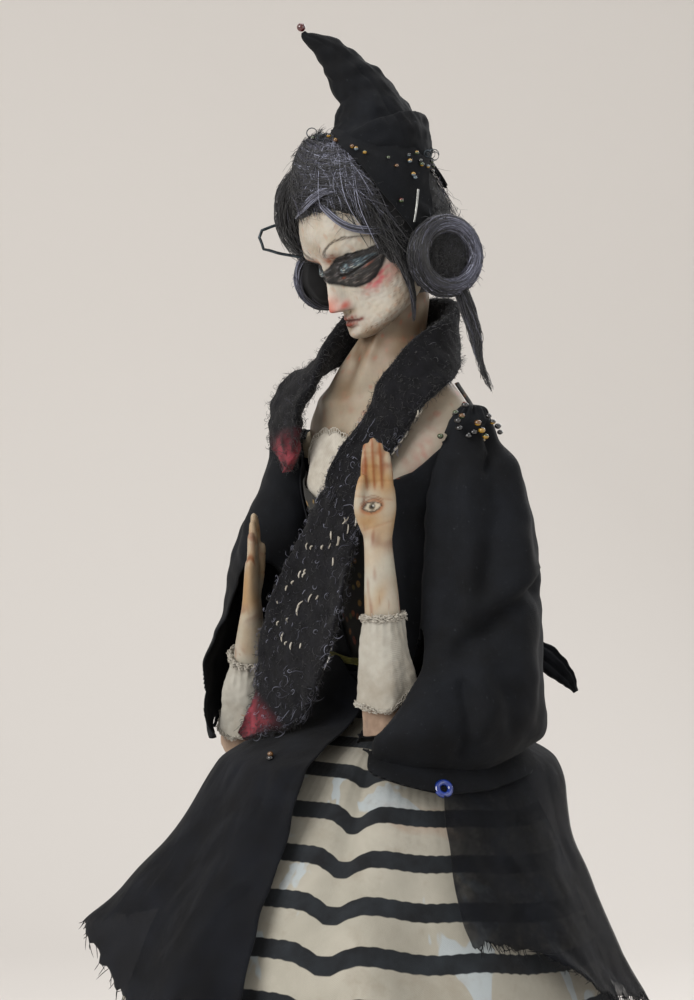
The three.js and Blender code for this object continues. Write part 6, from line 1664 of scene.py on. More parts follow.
# each roll: left, forward and height of its middle, size, strands
rolls = {"radius": 11.6, "thick": 4.4, "left": (24, -7.2, 14.2, 1.0, 950), "right": (-21.5, 8, 18.5, 0.8, 520)}


def makeRoll(name):
    left, forward, height, size, count = rolls[name]
    radius, thick = rolls["radius"] * size, rolls["thick"] * size
    centre = onHead(left, forward, height)
    outside = headLeft * np.sign(left)
    litFrom = 3.75 if left > 0 else 0.6  # where round the roll the light catches it: strands and curls there get a lighter tone, a painted highlight
    t, s = np.meshgrid(np.arange(0, 360, 4), np.linspace(0, 1, 40))
    t = np.radians(t)
    stations = [0, 0.14, 0.32, 0.44, 0.62, 0.82, 1]
    rho = np.interp(s, stations, np.array([0.01, 0.25, 0.5, 0.62, 0.82, 0.96, 0.75]) * radius)
    out = np.interp(s, stations, np.array([0.72, 0.7, 0.5, 0.42, 1, 0.2, -0.7]) * thick)
    rho = rho * (1 + 0.03 * np.sin(3 * t + count) + 0.02 * np.sin(7 * t))
    rings = (centre + (rho * np.cos(t))[..., None] * headForward + (rho * np.sin(t))[..., None] * headUp
            + out[..., None] * outside)
    piece = hairBase(name + "HairRoll", rings, (True, True), 0.08)
    dress(piece, "mohairBase", "mohair", name + "_hair_roll")
    rng = np.random.default_rng(95 + count)
    strands = Strands(rng)
    for n in range(count):
        start = rng.uniform(0, 2 * math.pi)
        sweep = rng.uniform(1.2, 3.6) if n % 4 else rng.uniform(3, 6)
        phi = start + np.linspace(0, sweep, 16)
        section = rng.uniform(-0.5, math.pi + 0.2) + np.linspace(0, rng.normal(0, 0.5), 16)
        core = n % 9 == 0
        ring = radius * (0.8 + (0.2 + rng.uniform(-0.02, 0.04)) * np.cos(section))
        lift = thick * (0.25 + 0.85 * np.sin(section))
        if core:
            ring = np.linspace(radius * 0.62, rng.uniform(0.5, 2.5), 16)
            lift = thick * np.linspace(0.5, 0.72, 16)
        wave = 0.25 * np.sin(phi * rng.uniform(2, 6) + n)
        spots = (centre + ((ring + wave) * np.cos(phi))[:, None] * headForward
                + ((ring + wave) * np.sin(phi))[:, None] * headUp + lift[:, None] * outside)
        # painted highlight: strands lighter on the side of the roll where the light catches it
        lit = 0.5 + 0.5 * math.cos(phi[8] - litFrom)
        strands.add(spots, 0.7, 1.4, 0.08 if core else 0.2 + 0.62 * lit, 0.13)
    strands.piece(name + "RollStrands")
    flat = rings[:34].reshape(-1, 3)
    # painted highlight on the curls of the roll's outer rim, on its lit side
    lit = smooth(rho[:34].ravel() / radius, 0.6, 0.74) * (0.5 + 0.5 * np.cos(t[:34].ravel() - litFrom))
    curls = curlPiece(name + "RollCurls", flat, unit(outside + 0.1 * unit(flat - centre)), int(count * 1.7), 99
            + count, "mohair", 0.24 + 0.45 * lit + 0.14 * ripple(flat, 3, 96), (0.25, 0.7), 0.9, 0.085, 0.4)
    dress(curls, "mohair", "mohair")


locks = {
    "right_side_lock": {"count": 520, "tone": 0.24, "loose": 1.5, "rows": [
        [-8, 4, 52, 3, 3], [-14, 9, 47, 6, 5], [-18.5, 11, 38, 6, 5], [-19, 10.5, 30, 4.6, 4], [-18, 9, 25, 2, 2]]},
    "brow_lock": {"count": 120, "tone": 0.66, "loose": 0.2, "rows": [
        [2, 10.5, 49, 0.7, 0.6], [6, 13.4, 44.5, 0.8, 0.7], [11.2, 14, 38.4, 0.9, 0.8], [15, 12, 33.4, 1.0, 0.8],
        [18, 6.5, 29.6, 1.1, 0.9], [19.6, 0.4, 28.4, 0.8, 0.7]]},
    "cheek_lock": {"count": 150, "tone": 0.3, "loose": 1.4, "rows": [
        [19, 3.6, 28, 1.2, 1], [18.7, 3.2, 22, 2.0, 1.4], [17.8, 2.6, 14, 1.4, 1.1], [16.4, 3.4, 6.5, 0.6, 0.6],
        [14.8, 5.6, 0, 0.2, 0.2]]},
}


def combedLock(name, line, facing, stoodFor, made, seed):  # line in millimetres: x, y, z, half sizes
    count = len(line)
    rings, _, side, front = sweepRings(line * np.array([1, 1, 1, 0.72, 0.72]), facing, 20)
    piece = hairBase(name + "Form", rings, (True, True), made["tone"] * 0.4)
    dress(piece, "mohairBase", "mohair", *stoodFor)
    rng = np.random.default_rng(seed)
    strands = Strands(rng)
    for n in range(made["count"]):
        r, psi = rng.uniform(0.55, 1.02), rng.uniform(0, 2 * math.pi)
        first = rng.integers(0, count // 4)
        last = rng.integers(count * 5 // 8, count)
        k = np.linspace(first, last, 14).astype(int)
        steps = np.linspace(0, 1, 14)
        angle = psi + steps * rng.normal(0, 0.7)
        reach = r * (1 + made["loose"] * 0.25 * rng.uniform(0, 1) * steps ** 2)
        spots = (line[k, :3] + (line[k, 3] * reach * np.cos(angle))[:, None] * side[k]
                + (line[k, 4] * reach * np.sin(angle))[:, None] * front[k])
        spots = (spots
                + made["loose"] * 0.25 * np.stack([ripple(spots + n, 8, q) for q in (4, 5, 6)], -1) * steps[:, None])
        strands.add(spots, 0.6, 1.2, made["tone"], 0.17)
    strands.piece(name + "Strands")


def toSight(right, up, grow):  # the place on the hair at that offset from the foot of the head, seen from the near side
    near = 15.0
    for _ in range(12):
        place = onHair(shifted(headBase, right, near, up), grow)
        near = float((place - headBase) @ toNear)
    return place


def makeLocks():
    for seed, (node, made) in enumerate(locks.items()):
        rows = np.array(made["rows"], float)
        at = onHead(rows[:, 0], rows[:, 1], rows[:, 2])
        line = along(np.column_stack([at, rows[:, 3:]]).tolist(), 60)
        combedLock(node.replace("_", " ").title().replace(" ", ""), line, line[:, :3] - onHead(0, 0, 24), [node],
                made, 100 + seed)
    root = onHead(*rolls["left"][:3])
    tails = [
        ("HairTail", ["hair_tail"], 150, [
            [3, 0.5, -5, 2.2], [6.4, 0, -16, 1.4], [9.0, 0, -24.5, 0.8], [11.2, 0, -32, 0.5], [14.2, 0, -39.5, 0.12]]),
        ("HairTailWisp", [], 90, [
            [4, 0.8, -6, 1.8], [8.2, 0.6, -15, 1.1], [10.2, 0.3, -22, 0.6], [10.6, 0.3, -29, 0.35],
            [11.6, 0.3, -36, 0.08]]),
    ]
    for name, stoodFor, count, rows in tails:
        rows = np.array(rows)
        at = shifted(root, rows[:, 0], rows[:, 1], rows[:, 2])
        line = along(np.column_stack([at, rows[:, 3], rows[:, 3] * 0.7]).tolist(), 60)
        combedLock(name, line, toNear, stoodFor, {"count": count, "tone": 0.3, "loose": 2.2}, 110)
    # a pale lock to the far temple
    rows = np.array([[-23, 34.5, 0.7], [-26.5, 34, 1.3], [-30, 31.5, 1.4], [-33.4, 28.2, 0.5]])
    at = np.array([toSight(right, up, 0.9) for right, up, _ in rows])
    line = along(np.column_stack([at, rows[:, 2], rows[:, 2] * 0.5]).tolist(), 60)
    combedLock("TempleLock", line, line[:, :3] - onHead(0, 0, 24), [], {"count": 110, "tone": 0.72, "loose": 0.6}, 111)


def makeWireLoop():
    bends = np.array([[-31, -4, 18], [-42.2, -4.5, 20.4], [-43.5, -4.5, 24], [-42.8, -4.5, 26.2],
            [-38.4, -4.5, 27.8], [-31, -4, 29]])
    path = shifted(headBase, bends[:, 0], bends[:, 1], bends[:, 2])
    path = lerp(path[:, None], np.roll(path, -1, 0)[:, None], np.linspace(0, 1, 8, endpoint=False)[None, :, None])
    path = path.reshape(-1, 3)[:41]
    path = path + 0.1 * np.stack([ripple(path, 5, k) for k in (7, 8, 9)], -1)
    dress(wirePiece("hairWireLoop", path, "wire", 0.45), "wire", "wire", "hair_wire_loop")


# hat: stuffed cone on a draped cap, with sewn beads
hatFoot = onHead(5, -12.6, 46.5)
hatLine = [[0, 0, -8, 14, 13], [0, 0, 2.5, 15, 14], [-1.5, -0.9, 7.2, 14.6, 13], [-2.7, -0.9, 12.3, 11.6, 11],
        [-5.1, -0.9, 18.9, 8.4, 8.4], [-9.3, -0.9, 24, 6.9, 6.6], [-14, -0.9, 29.9, 4.9, 4.7],
        [-18.8, -0.9, 33.5, 3, 3], [-22.1, -0.9, 35.4, 1.6, 1.6], [-23.1, -0.9, 36.9, 0.7, 0.7]]


def makeHat():
    rows = np.array(hatLine, float)
    at = shifted(hatFoot, rows[:, 0], rows[:, 1], rows[:, 2])
    line = along(np.column_stack([at, rows[:, 3:]]).tolist(), 150)
    rings = sweepRings(line, toNear, 110)[0]
    share = np.linspace(0, 1, 150)[:, None]
    t = np.arange(110) * 2 * math.pi / 110
    inner = bump(np.cos(t - 2.9), 1) * np.cos(t - 2.9).clip(0)
    folds = -0.9 * inner * (0.5 + 0.5 * np.cos(share * 60 + 2.4 * np.cos(t))) * bump(share - 0.55, 0.25)
    drape = (0.55 * np.cos(3 * t + 5 * share) * bump(share - 0.25, 0.2) + 0.3 * ripple(rings, 8, 121)
            + 0.15 * ripple(rings, 3, 122))
    seam = -0.45 * bump((np.abs((t - 1.1 - 0.3 * share + math.pi) % (2 * math.pi) - math.pi)) * line[:, 3:4], 0.7)
    rings = rings + unit(rings - line[:, None, :3]) * (folds + drape * smooth(line[:, 3:4], 0.5, 5) + seam)[..., None]
    piece = gridPiece("hatCone", rings, True, arcUv(rings, True), (True, True))
    dress(piece, "hatBlack", "black_cotton", "hat_cone")
    spine = [[*hatFoot, capSpine[0][3]]] + [[*onHead(*place), half] for *place, half in capSpine[1:]]
    path = along(spine, 110)
    centre = onHair(path[:, :3], 0)
    away = centre - onHead(0, hairMiddle["forward"], hairMiddle["height"])
    side = unit(np.cross(unit(np.gradient(path[:, :3], axis=0)), away))
    s = np.linspace(-1, 1, 70)
    near = (path[:, None, :3]
            + (path[:, 3, None] * s * (1 + 0.06 * ripple(vec(s, 0, 0) * 20, 9, 123)))[..., None] * side[:, None])
    rough = onHair(near, 1.1)
    points = onHair(near, 1.5 + 0.22 * np.clip(ripple(rough, 7, 124), -1, 1.5))
    cap = gridPiece("hatCap", points, False, arcUv(points), inside=near * 0 + onHead(0, -4, 30))
    thicken(cap, 0.5)
    dress(cap, "hatBlack", "black_cotton", "hat_cap")
    tip = shifted(hatFoot, -23.1, -0.9, 36.9) + np.array([-0.5, -0.4, 1.4])
    t, v = np.meshgrid(np.arange(0, 360, 12), np.linspace(0.04, 0.96, 16) * math.pi)
    ball = tip + 1.3 * vec(np.sin(v) * np.cos(np.radians(t)), np.sin(v) * np.sin(np.radians(t)), np.cos(v))
    bead = gridPiece("hatTipBead", ball, True, None, (True, True))
    dress(bead, "redBead", "red_bead", "hat_tip_bead")
    ends = onHair(onHead(np.array([20.0, 20]), np.array([-9.0, -2]), np.array([36, 31.5])), 1.65)
    pin = lerp(ends[0], ends[1], np.linspace(0, 1, 12)[:, None])
    pin = pin + outwardFromHead(pin) * (0.25 * np.sin(np.linspace(0, math.pi, 12)))[:, None]
    dress(wirePiece("hatPin", pin, "steel", 0.38), "steel", "steel", "hat_pin")


def outwardFromHead(points):
    return unit(points - onHead(0, hairMiddle["forward"], hairMiddle["height"]))


def makeBeads():
    rng = np.random.default_rng(161)
    seen = [(-28.2, 50), (-23.8, 51.4), (-22.1, 49.8), (-17.5, 47.6), (-16.4, 47), (-13.9, 45.9), (-6.8, 44.3),
            (-4.3, 41.8), (-0.5, 45.6), (-0.2, 43.7), (2, 46.5), (3.6, 42.9), (3.1, 44.1), (6.6, 41.5), (6.9, 44.3),
            (5.6, 42.5), (7.4, 43), (-4.1, 32.2), (0.9, 39.6), (1.5, 38.7)]
    spots = [toSight(right, up, 2.3) for right, up in seen]
    for angle in np.sort(rng.uniform(110, 250, 16)):  # sewn loosely round the far side of the cone
        a = math.radians(angle)
        reach = 15 + rng.uniform(0.6, 3)
        spots.append(onHair(shifted(hatFoot, reach * math.sin(a), reach * math.cos(a), rng.uniform(-0.4, 0.6)), 2.2))
    piece = rowPiece("hatBeads", "beads", [np.array([p, p + 0.2 * upward]) for p in spots], "beads",
            {"Pitch": 5 * mm, "Radius": 0.62 * mm, "Seed": 3})
    dress(piece, "beads", "amber_bead", "hat_bead_string")
    loops = []
    # loops of wire between them
    for angle, size in ((62, 1.3), (70, 1.7), (78, 1.2), (55, 1.0), (-76, 1.5), (-66, 1.0)):
        a = math.radians(angle)
        centre = onHair(shifted(hatFoot, 17 * math.sin(a), 17 * math.cos(a), 0.3), 2.6)
        t = np.linspace(0, 2 * math.pi, 13)
        loops.append(centre + size * (np.outer(np.cos(t), toRight) + np.outer(np.sin(t), upward))
                + 0.3 * np.outer(np.sin(2 * t), toNear))
    dress(strandPiece("hatBeadLoops", loops, "wire", 0.17, sides=5), "wire", "wire")
    centre = shifted(arms["left"]["shoulder"], -2.2, 0.8, 5.0)
    spots = [shifted(centre, right, near, rise) for right, near, rise in ((-4.2, 8.2, 3.2), (-1.5, 8.6, 5.6),
            (-3.6, 9.2, 0.8), (-3.2, 9.4, -1.2), (5.5, 7.4, 2.4), (8.6, 4.0, -0.6), (3.4, 8.8, -1.8),
            (1.0, 9.4, -2.4), (-0.6, 9.6, -3.4), (6.8, 7.0, 0.6), (9.4, 2.6, -2.2), (-8.4, 6.0, -3.6),
            (2.2, 9.2, 0.2), (-2.4, 9.0, 2.2), (4.6, 8.0, -3.6))]
    spots = [keepOff(p[None], 0)[0] for p in spots]
    piece = rowPiece("shoulderBeads", "beads", [np.array([p, p + 0.2 * upward]) for p in spots], "beads",
            {"Pitch": 5 * mm, "Radius": 0.95 * mm, "Seed": 8})
    dress(piece, "beads", "amber_bead", "shoulder_bead_string", onBody="left_arm")
    for name, at, node, spread in (("coatUpperBead", (-30, 5, 2.95), "coat_upper_bead", 7),
            ("coatLowerBead", (-6, 14, 1.65), "coat_lower_bead", 9)):
        z = waist - at[1]
        bulge = 0.62 * tails["right"]["flap"] * bump(at[0] + 28, 38) * bump(at[1] - 1, 12)
        spot = flarePoint(at[0], z, coatRadius(at[0], z) + 0.3 + at[2] + bulge)
        line = spot + np.outer(np.linspace(-0.6, 0.6, 4), upward)
        bead = rowPiece(name, "beads", [line], "beads", {"Pitch": 5 * mm, "Radius": 1.15 * mm, "Seed": spread})
        dress(bead, "beads", "amber_bead", node)
    z = waist - 21.5
    spot = flarePoint(59, z, coatRadius(59, z) + 0.3 + 1.8)
    facing = unit(np.array([math.sin(math.radians(58)), -math.cos(math.radians(58)), 0.5]))
    a = unit(np.cross(facing, upward))
    b = np.cross(facing, a)
    u, v = np.meshgrid(np.arange(0, 360, 9), np.arange(0, 360, 22.5))
    u, v = np.radians(u), np.radians(v)
    torus = (spot + ((1.9 + 0.9 * np.cos(v)) * np.cos(u))[..., None] * a
            + ((1.9 + 0.9 * np.cos(v)) * np.sin(u))[..., None] * b + (0.9 * np.sin(v))[..., None] * facing)
    torus = np.concatenate([torus, torus[:1]])
    ringBead = gridPiece("coatRingBead", torus, True, None, inside=spot
            + unit((torus - spot) - ((torus - spot) @ facing)[..., None] * facing) * 1.9)
    weld(ringBead)
    dress(ringBead, "blueBead", "blue_bead", "coat_ring_bead")


def weld(piece):
    edit = bmesh.new()
    edit.from_mesh(piece.data)
    bmesh.ops.remove_doubles(edit, verts=edit.verts, dist=1e-6)
    edit.to_mesh(piece.data)
    edit.free()

# arms: clay forearms with hands, stuffed upper arms, cuffs and sleeves
hand = {"length": 30, "voxel": 0.42, "fingers": [0.36, 0.45, 0.5, 0.45]}


def handAt(arm, high):
    return arm["wrist"] + arm["lift"] * high


def solid(name, rows, facing, sides=24, power=2.0, count=40):
    line = along(rows, count)
    return gridPiece(name, sweepRings(line, facing, sides, power)[0], True, None, (True, True))


def makeForearm(name, arm):
    axis, reach, palm, side, thumb = arm["axis"], arm["reach"], arm["palm"], arm["side"], arm["thumb"]
    rows = [[*(arm["elbow"] + axis * d), a, b] for d, a, b in ((0.5, 5.0, 5.0), (2.5, 5.2, 5.2),
            (0.3 * reach, 5.2, 5.2), (0.65 * reach, 5.1, 4.7), (0.88 * reach, 4.35, 3.8))]
    rows.append([*arm["wrist"], 4.1, 3.2])
    rows += [[*handAt(arm, h), a, b] for h, a, b in ((4.5, 4.7, 2.65), (9.75, 5.5, 2.3), (15, 5.2, 1.95),
            (16.2, 4.6, 1.5))]
    parts = [solid(name + "Palm", rows, palm, 40, 2.2, 90)]
    for share, place in zip(hand["fingers"], (-1.5, -0.5, 0.5, 1.5)):
        foot = handAt(arm, 12.3) + side * place * thumb * 2.49
        tip = handAt(arm, 15 + share * hand["length"]) + side * place * thumb * 1.885
        middle = lerp(foot, tip, 0.6) + palm * 0.4
        line = [[*foot, 1.5, 1.45], [*lerp(foot, middle, 0.55), 1.36, 1.3], [*middle, 1.42, 1.36],
                [*lerp(middle, tip, 0.6), 1.2, 1.15], [*lerp(middle, tip, 0.93), 0.95, 0.85], [*tip, 0.3, 0.3]]
        parts.append(solid(name + "Finger", line, palm, 16, 2.0, 26))
    out = 5.5 * thumb
    line = [[*(handAt(arm, h) + side * out * share + palm * lift), r, r * 0.9]
            for share, h, lift, r in ((0.5, 3, 0.4, 1.9), (0.9, 9, 1.2, 1.8), (0.92, 14, 1.8, 1.4),
            (0.78, 18.3, 2.2, 1.1), (0.7, 19.7, 2.3, 0.3))]
    parts.append(solid(name + "Thumb", line, palm, 16, 2.0, 26))
    ball = handAt(arm, 7) + palm * 1.4
    parts.append(solid(name + "Pads", [[*(ball + side * 3.2 * thumb - arm["lift"] * 3), 0.5, 0.4],
            [*(ball + side * 3.0 * thumb), 1.9, 1.3], [*(ball + side * 3.2 * thumb + arm["lift"] * 3), 0.5, 0.4]],
            palm, 14, 2, 14))
    piece = fuse(name + "Forearm", parts)
    remesh(piece, hand["voxel"], 6)
    spots = places(piece)
    away = spots - arm["elbow"]
    far = np.linalg.norm(away, axis=1, keepdims=True)
    room = armSize["elbowRoom"]
    spots = np.where(far < room, arm["elbow"] + away / far * room, spots)
    high = (spots - arm["wrist"]) @ arm["lift"]
    across = (spots - arm["wrist"]) @ side
    face = (spots - arm["wrist"]) @ palm
    lines = 0.14 * bump(high - 12.6 - 0.12 * across, 0.35) + 0.1 * bump(high - 4.6 + 0.3 * across, 0.35)
    joints = sum(0.16 * bump(high - h, 0.35) for h in (17.4, 21.5, 25.4))
    spots = spots - palm * ((lines * smooth(face, 0.6, 1.6) + joints * smooth(face, 0, 0.8))[:, None])
    piece.data.vertices.foreach_set("co", (spots * mm).ravel().astype(np.float32))
    piece.data.update()
    skin = bareClay("#beb7a6", spots.shape[:1])
    skin = paint(skin, [
        ("#b08a5c", 0.3 + 0.35 * ripple(spots, 11, 131) + 0.3 * smooth(high, -2, 8)),
        ("#c3bcae", 0.8 * bump(high + 14, 11) * smooth(ripple(spots, 14, 132), -1.2, 0.6)),
        ("#8a4f33", 0.7 * smooth(ripple(spots * np.array([1.6, 1.6, 0.5]), 6, 133), 0.55, 1.6)),
        ("#8c5236", 0.65 * bump(high - 25 + 2 * np.abs(across) / 5, 4) * smooth(ripple(spots, 4, 134), -0.6, 1)),
        ("#9a5f34", 0.6 * (np.minimum(1, lines * 4) * smooth(face, 0.4, 1.4) + 0.4 * np.minimum(1, joints * 5))),
        ("#7a4630", 0.5 * bump(high, 2.5) * smooth(ripple(spots, 7, 135), -0.8, 0.8))])
    between = np.minimum.reduce([np.abs(across - p * 2.2) for p in (-1, 0, 1)])
    skin = lay(skin, "#8f4f26", 0.8 * bump(between, 0.42) * smooth(high, 14, 16.5))
    ticks = smooth(ripple(spots * np.array([2.2, 2.2, 0.45]), 5, 136), 1.1, 1.7)
    skin = lay(skin, "#8a5836", 0.65 * ticks * smooth(-high, 2, 10))
    if name == "left":  # an eye painted on the palm
        x, y = (across - 1.1) / 1.25, (high - 10.3 + 0.16 * across) / 1.2
        near = smooth(face, 0.8, 1.8)
        inside = 1.15 * (1 - (x / 2.3) ** 2) - np.abs(y) + 0.12 * ripple(spots, 1.6, 137)
        skin = paint(skin, [
            ("#a9602e", 0.7 * bump(np.hypot(x, 1.5 * y) - 2.3, 0.6) * near),
            ("#6f4a30", 0.6 * bump(2.6 * (1 - (x / 3.4) ** 2) - y, 0.2) * smooth(3 - np.abs(x), 0, 0.5) * near),
            ("#cfc4ae", 0.8 * smooth(inside, -0.1, 0.25) * near),
            ("#4d4436", 0.95 * smooth(0.85 - np.hypot(x, y), -0.1, 0.25) * near),
            ("#120f10", smooth(0.42 - np.hypot(x, y), -0.08, 0.15) * near),
            # a painted glint in the pupil
            ("#d8d4cc", smooth(0.2 - np.hypot(x + 0.3, y - 0.3), -0.08, 0.1) * near),
            ("#1c1716", 0.85 * bump(inside, 0.24) * smooth(2.9 - np.abs(x), 0, 0.3) * near)])
        upper = bump(1.9 * (1 - (x / 2.9) ** 2) - y, 0.22) * smooth(2.7 - np.abs(x), 0, 0.4)
        skin = lay(skin, "#3a2a22", 0.6 * upper * near)
    paintOn(piece, skin * paintDark)
    dress(piece, "clay", "clay", name + "_forearm", onBody=name + "_hand")


def boneLine(arm):
    first, last = arm["shoulder"], arm["elbow"]
    p1, p2 = first + arm["hang"], last + arm["bend"]
    t = np.linspace(0, 1, 60)[:, None]
    return (1 - t) ** 3 * first + 3 * (1 - t) ** 2 * t * p1 + 3 * (1 - t) * t ** 2 * p2 + t ** 3 * last


def makeUpperArm(name, arm):
    first, last, line = arm["shoulder"], arm["elbow"], boneLine(arm)
    radius = np.full(60, armSize["limb"]) + 0.15 * np.sin(np.linspace(0, 20, 60))
    top, tip = armSize["shoulderBall"], armSize["elbowBall"]
    for end, ball in ((first, top), (last, tip)):
        radius = np.maximum(radius, np.sqrt(np.maximum(ball ** 2 - np.linalg.norm(line - end, axis=1) ** 2, 0)))
    way = unit(np.gradient(line, axis=0))
    before = first - way[0] * (top - 0.05) * np.cos(np.linspace(0, math.pi / 2, 8)[:-1])[:, None]
    after = last + way[-1] * (tip - 0.05) * np.sin(np.linspace(0, math.pi / 2, 7)[1:])[:, None]
    line = np.concatenate([before, line, after])
    radius = np.concatenate([top * np.sin(np.linspace(0.03, math.pi / 2, 8)[:-1]), radius, tip
            * np.cos(np.linspace(0, math.pi / 2 - 0.03, 7)[1:])])
    facing = np.array([0.2, -0.3, 1.0])
    rings = sweepRings(np.column_stack([line, radius, radius]), facing, 28)[0]
    makeStuffed(name + "UpperArm", rings, name + "_upper_arm", name + "_arm")


def ringPiece(name, points, wall):  # a thin bag with its own lining seen from both ends
    piece = gridPiece(name, points, True, arcUv(points, True))
    thicken(piece, wall)
    return piece


def makeCuff(name, arm):
    thumb, side, palm, axis = arm["thumb"], arm["side"], arm["palm"], arm["axis"]
    t, v = np.meshgrid(np.radians(np.arange(0, 360, 3)), np.linspace(0, 1, 44))
    high = 0.6 * arm["reach"]
    low = high - 22 + 3 * np.cos(t + 2.2 * thumb) + np.sin(3 * t)
    radius = lerp(8.9, 6.1, v ** 0.8) + 0.5 * np.sin(5 * t) * (1 - v)
    radius = radius - 0.35 * np.abs(np.sin(9 * t + 2)) * bump(v - 1, 0.3)
    at = arm["elbow"] + lerp(low, high, v)[..., None] * axis
    points = (at + (radius * np.cos(t) + 0.5 * thumb * (1 - v))[..., None] * side + (radius * np.sin(t))[..., None]
            * palm)
    crumple = 0.4 * ripple(points * np.array([1, 1, 0.6]), 9, 141) + 0.1 * ripple(points, 3, 142)
    points = points + unit(points - at) * crumple[..., None]
    piece = ringPiece(name + "Cuff", points, thinWall)
    dress(piece, "cream", "cream_cotton", name + "_cuff", onBody=name + "_hand")
    lines = []
    rng = np.random.default_rng(143 + thumb)
    a = np.linspace(0, 2 * math.pi, 8)
    for row, size, rounds in ((-1, 0.75, 3), (0, 0.55, 2)):  # crocheted loops along both edges
        ring = points[row]
        for k in np.arange(0, len(ring) * rounds) % len(ring):
            along_ = unit(ring[(k + 1) % len(ring)] - ring[k])
            level = unit(ring[k] - at[row, k])
            lift = rng.uniform(-0.4, 1.0) * (1 if row == -1 else -1)
            spin = rng.uniform(0, math.pi)
            second = math.cos(spin) * axis + math.sin(spin) * level
            where_ = ring[k] + axis * lift + level * rng.uniform(-0.1, 0.45)
            lines.append(where_ + size * rng.uniform(0.6, 1.1)
                    * (np.outer(np.cos(a), along_) + np.outer(np.sin(a), second)))
        for k in rng.integers(0, len(ring), 26):  # loose threads
            n = np.arange(5)[:, None]
            way = unit(axis * (1 if row == -1 else -1) + rng.normal(0, 0.6, 3))
            lines.append(ring[k] + way * n * rng.uniform(0.25, 0.55) + rng.normal(0, 0.1, 3) * n ** 1.5 * 0.4)
    edging = strandPiece(name + "CuffEdging", lines, "lace", 0.17)
    dress(edging, "lace", "cream_cotton", onBody=name + "_hand")
    high = 0.6 * arm["reach"] - 17
    low = high - 15 - 1.5 * np.cos(t)
    radius = 7.6 * (1 - 0.14 * v) + 0.2 * np.cos(4 * t)
    at = arm["elbow"] + lerp(low, high, v)[..., None] * axis
    points = at + (radius * np.cos(t))[..., None] * side + (radius * np.sin(t))[..., None] * palm
    points = points + unit(points - at) * (0.3 * ripple(points, 5, 144))[..., None]
    inner = ringPiece(name + "InnerSleeve", points, 0.4)
    dress(inner, "pinkish", "cream_cotton", name + "_inner_sleeve", onBody=name + "_hand")


sleeveRings = {
    "left": [[-0.19, 17.8, -10.6, 5, 4, 28], [-0.148, 19, -8, 15.4, 10, 28], [-0.102, 18.5, -5.4, 22.7, 14, 30],
             [-0.024, 20.9, -3.3, 28.6, 17, 32], [0.044, 20.2, -1.4, 27.9, 18, 32], [0.131, 19.3, -1.3, 23.7, 18, 24],
             [0.236, 19.7, -1.9, 18.8, 18, 12], [0.375, 17.5, -2.7, 17.5, 16, 0], [0.583, 13, -1.2, 17.4, 14, 0],
             [0.762, 7.4, -0.7, 15.7, 12.5, 0], [0.905, 2.8, -0.1, 13.2, 11, 0], [0.992, -1.2, 0.3, 9.4, 9, 0],
             [1.062, -3.4, 1.2, 7.2, 7.5, 0], [1.1, -4.2, 1.7, 5, 5.4, 0]],
    "right": [[-0.043, -9.7, 6.6, 1, 3, 0], [0.031, -5.5, 5.6, 8, 11, 0], [0.14, -3.8, 5.3, 12, 17, 0],
              [0.262, -4.3, 4.4, 13, 18, 0], [0.395, -3.2, 3.6, 12.8, 17, 0], [0.57, -4.8, 1.9, 13, 15, 0],
              [0.709, -5.6, 1, 12, 13, 0], [0.872, -5, 0.5, 9.2, 11, 0], [1.012, -5.5, 0.5, 7.5, 9, 0],
              [1.069, -3.8, 0.4, 6, 7, 0]],
}


def turnedBy(vector, degrees):
    c, s = np.cos(np.radians(degrees)), np.sin(np.radians(degrees))
    x, y = vector[0], vector[1]
    return vec(c * x - s * y, s * x + c * y, 0)


# folds of each sleeve: a line of places right of the elbow and above it, then depth and width
sleeveFolds = {
    "left": [([(49, 45), (37, 37), (27, 30), (18, 24)], -3.2, 2.6), ([(49, 50), (36, 43), (24, 35)], 1.6, 3.4),
             ([(22, 72), (24, 55), (22, 36)], 1.3, 3), ([(29, 84), (31, 62), (26, 42)], -1.5, 3.2),
             ([(36, 82), (40, 62), (38, 50)], 1.2, 3), ([(44, 72), (46, 60), (45, 50)], -1.1, 2.6),
             ([(19, 14), (21, 6), (19, -4)], -2.0, 2.2), ([(24, 16), (27, 8), (25, 0)], 1.3, 2.6),
             ([(31, 18), (34, 4)], -1.2, 3), ([(18, 76), (16, 58), (17, 34)], -1.4, 2.4),
             ([(44, 24), (47, 10), (44, -6)], -1.2, 3), ([(29, 88), (31, 80), (28, 76)], -2.0, 1.6)],
    "right": [([(-12, 70), (-14, 50), (-10, 30)], 1.2, 3), ([(-3, 66), (-4, 46), (-8, 26)], -1.5, 2.6),
              ([(-20, 52), (-22, 34), (-18, 16)], -1.3, 3), ([(-14, 20), (-16, 6)], 1.2, 3)],
}


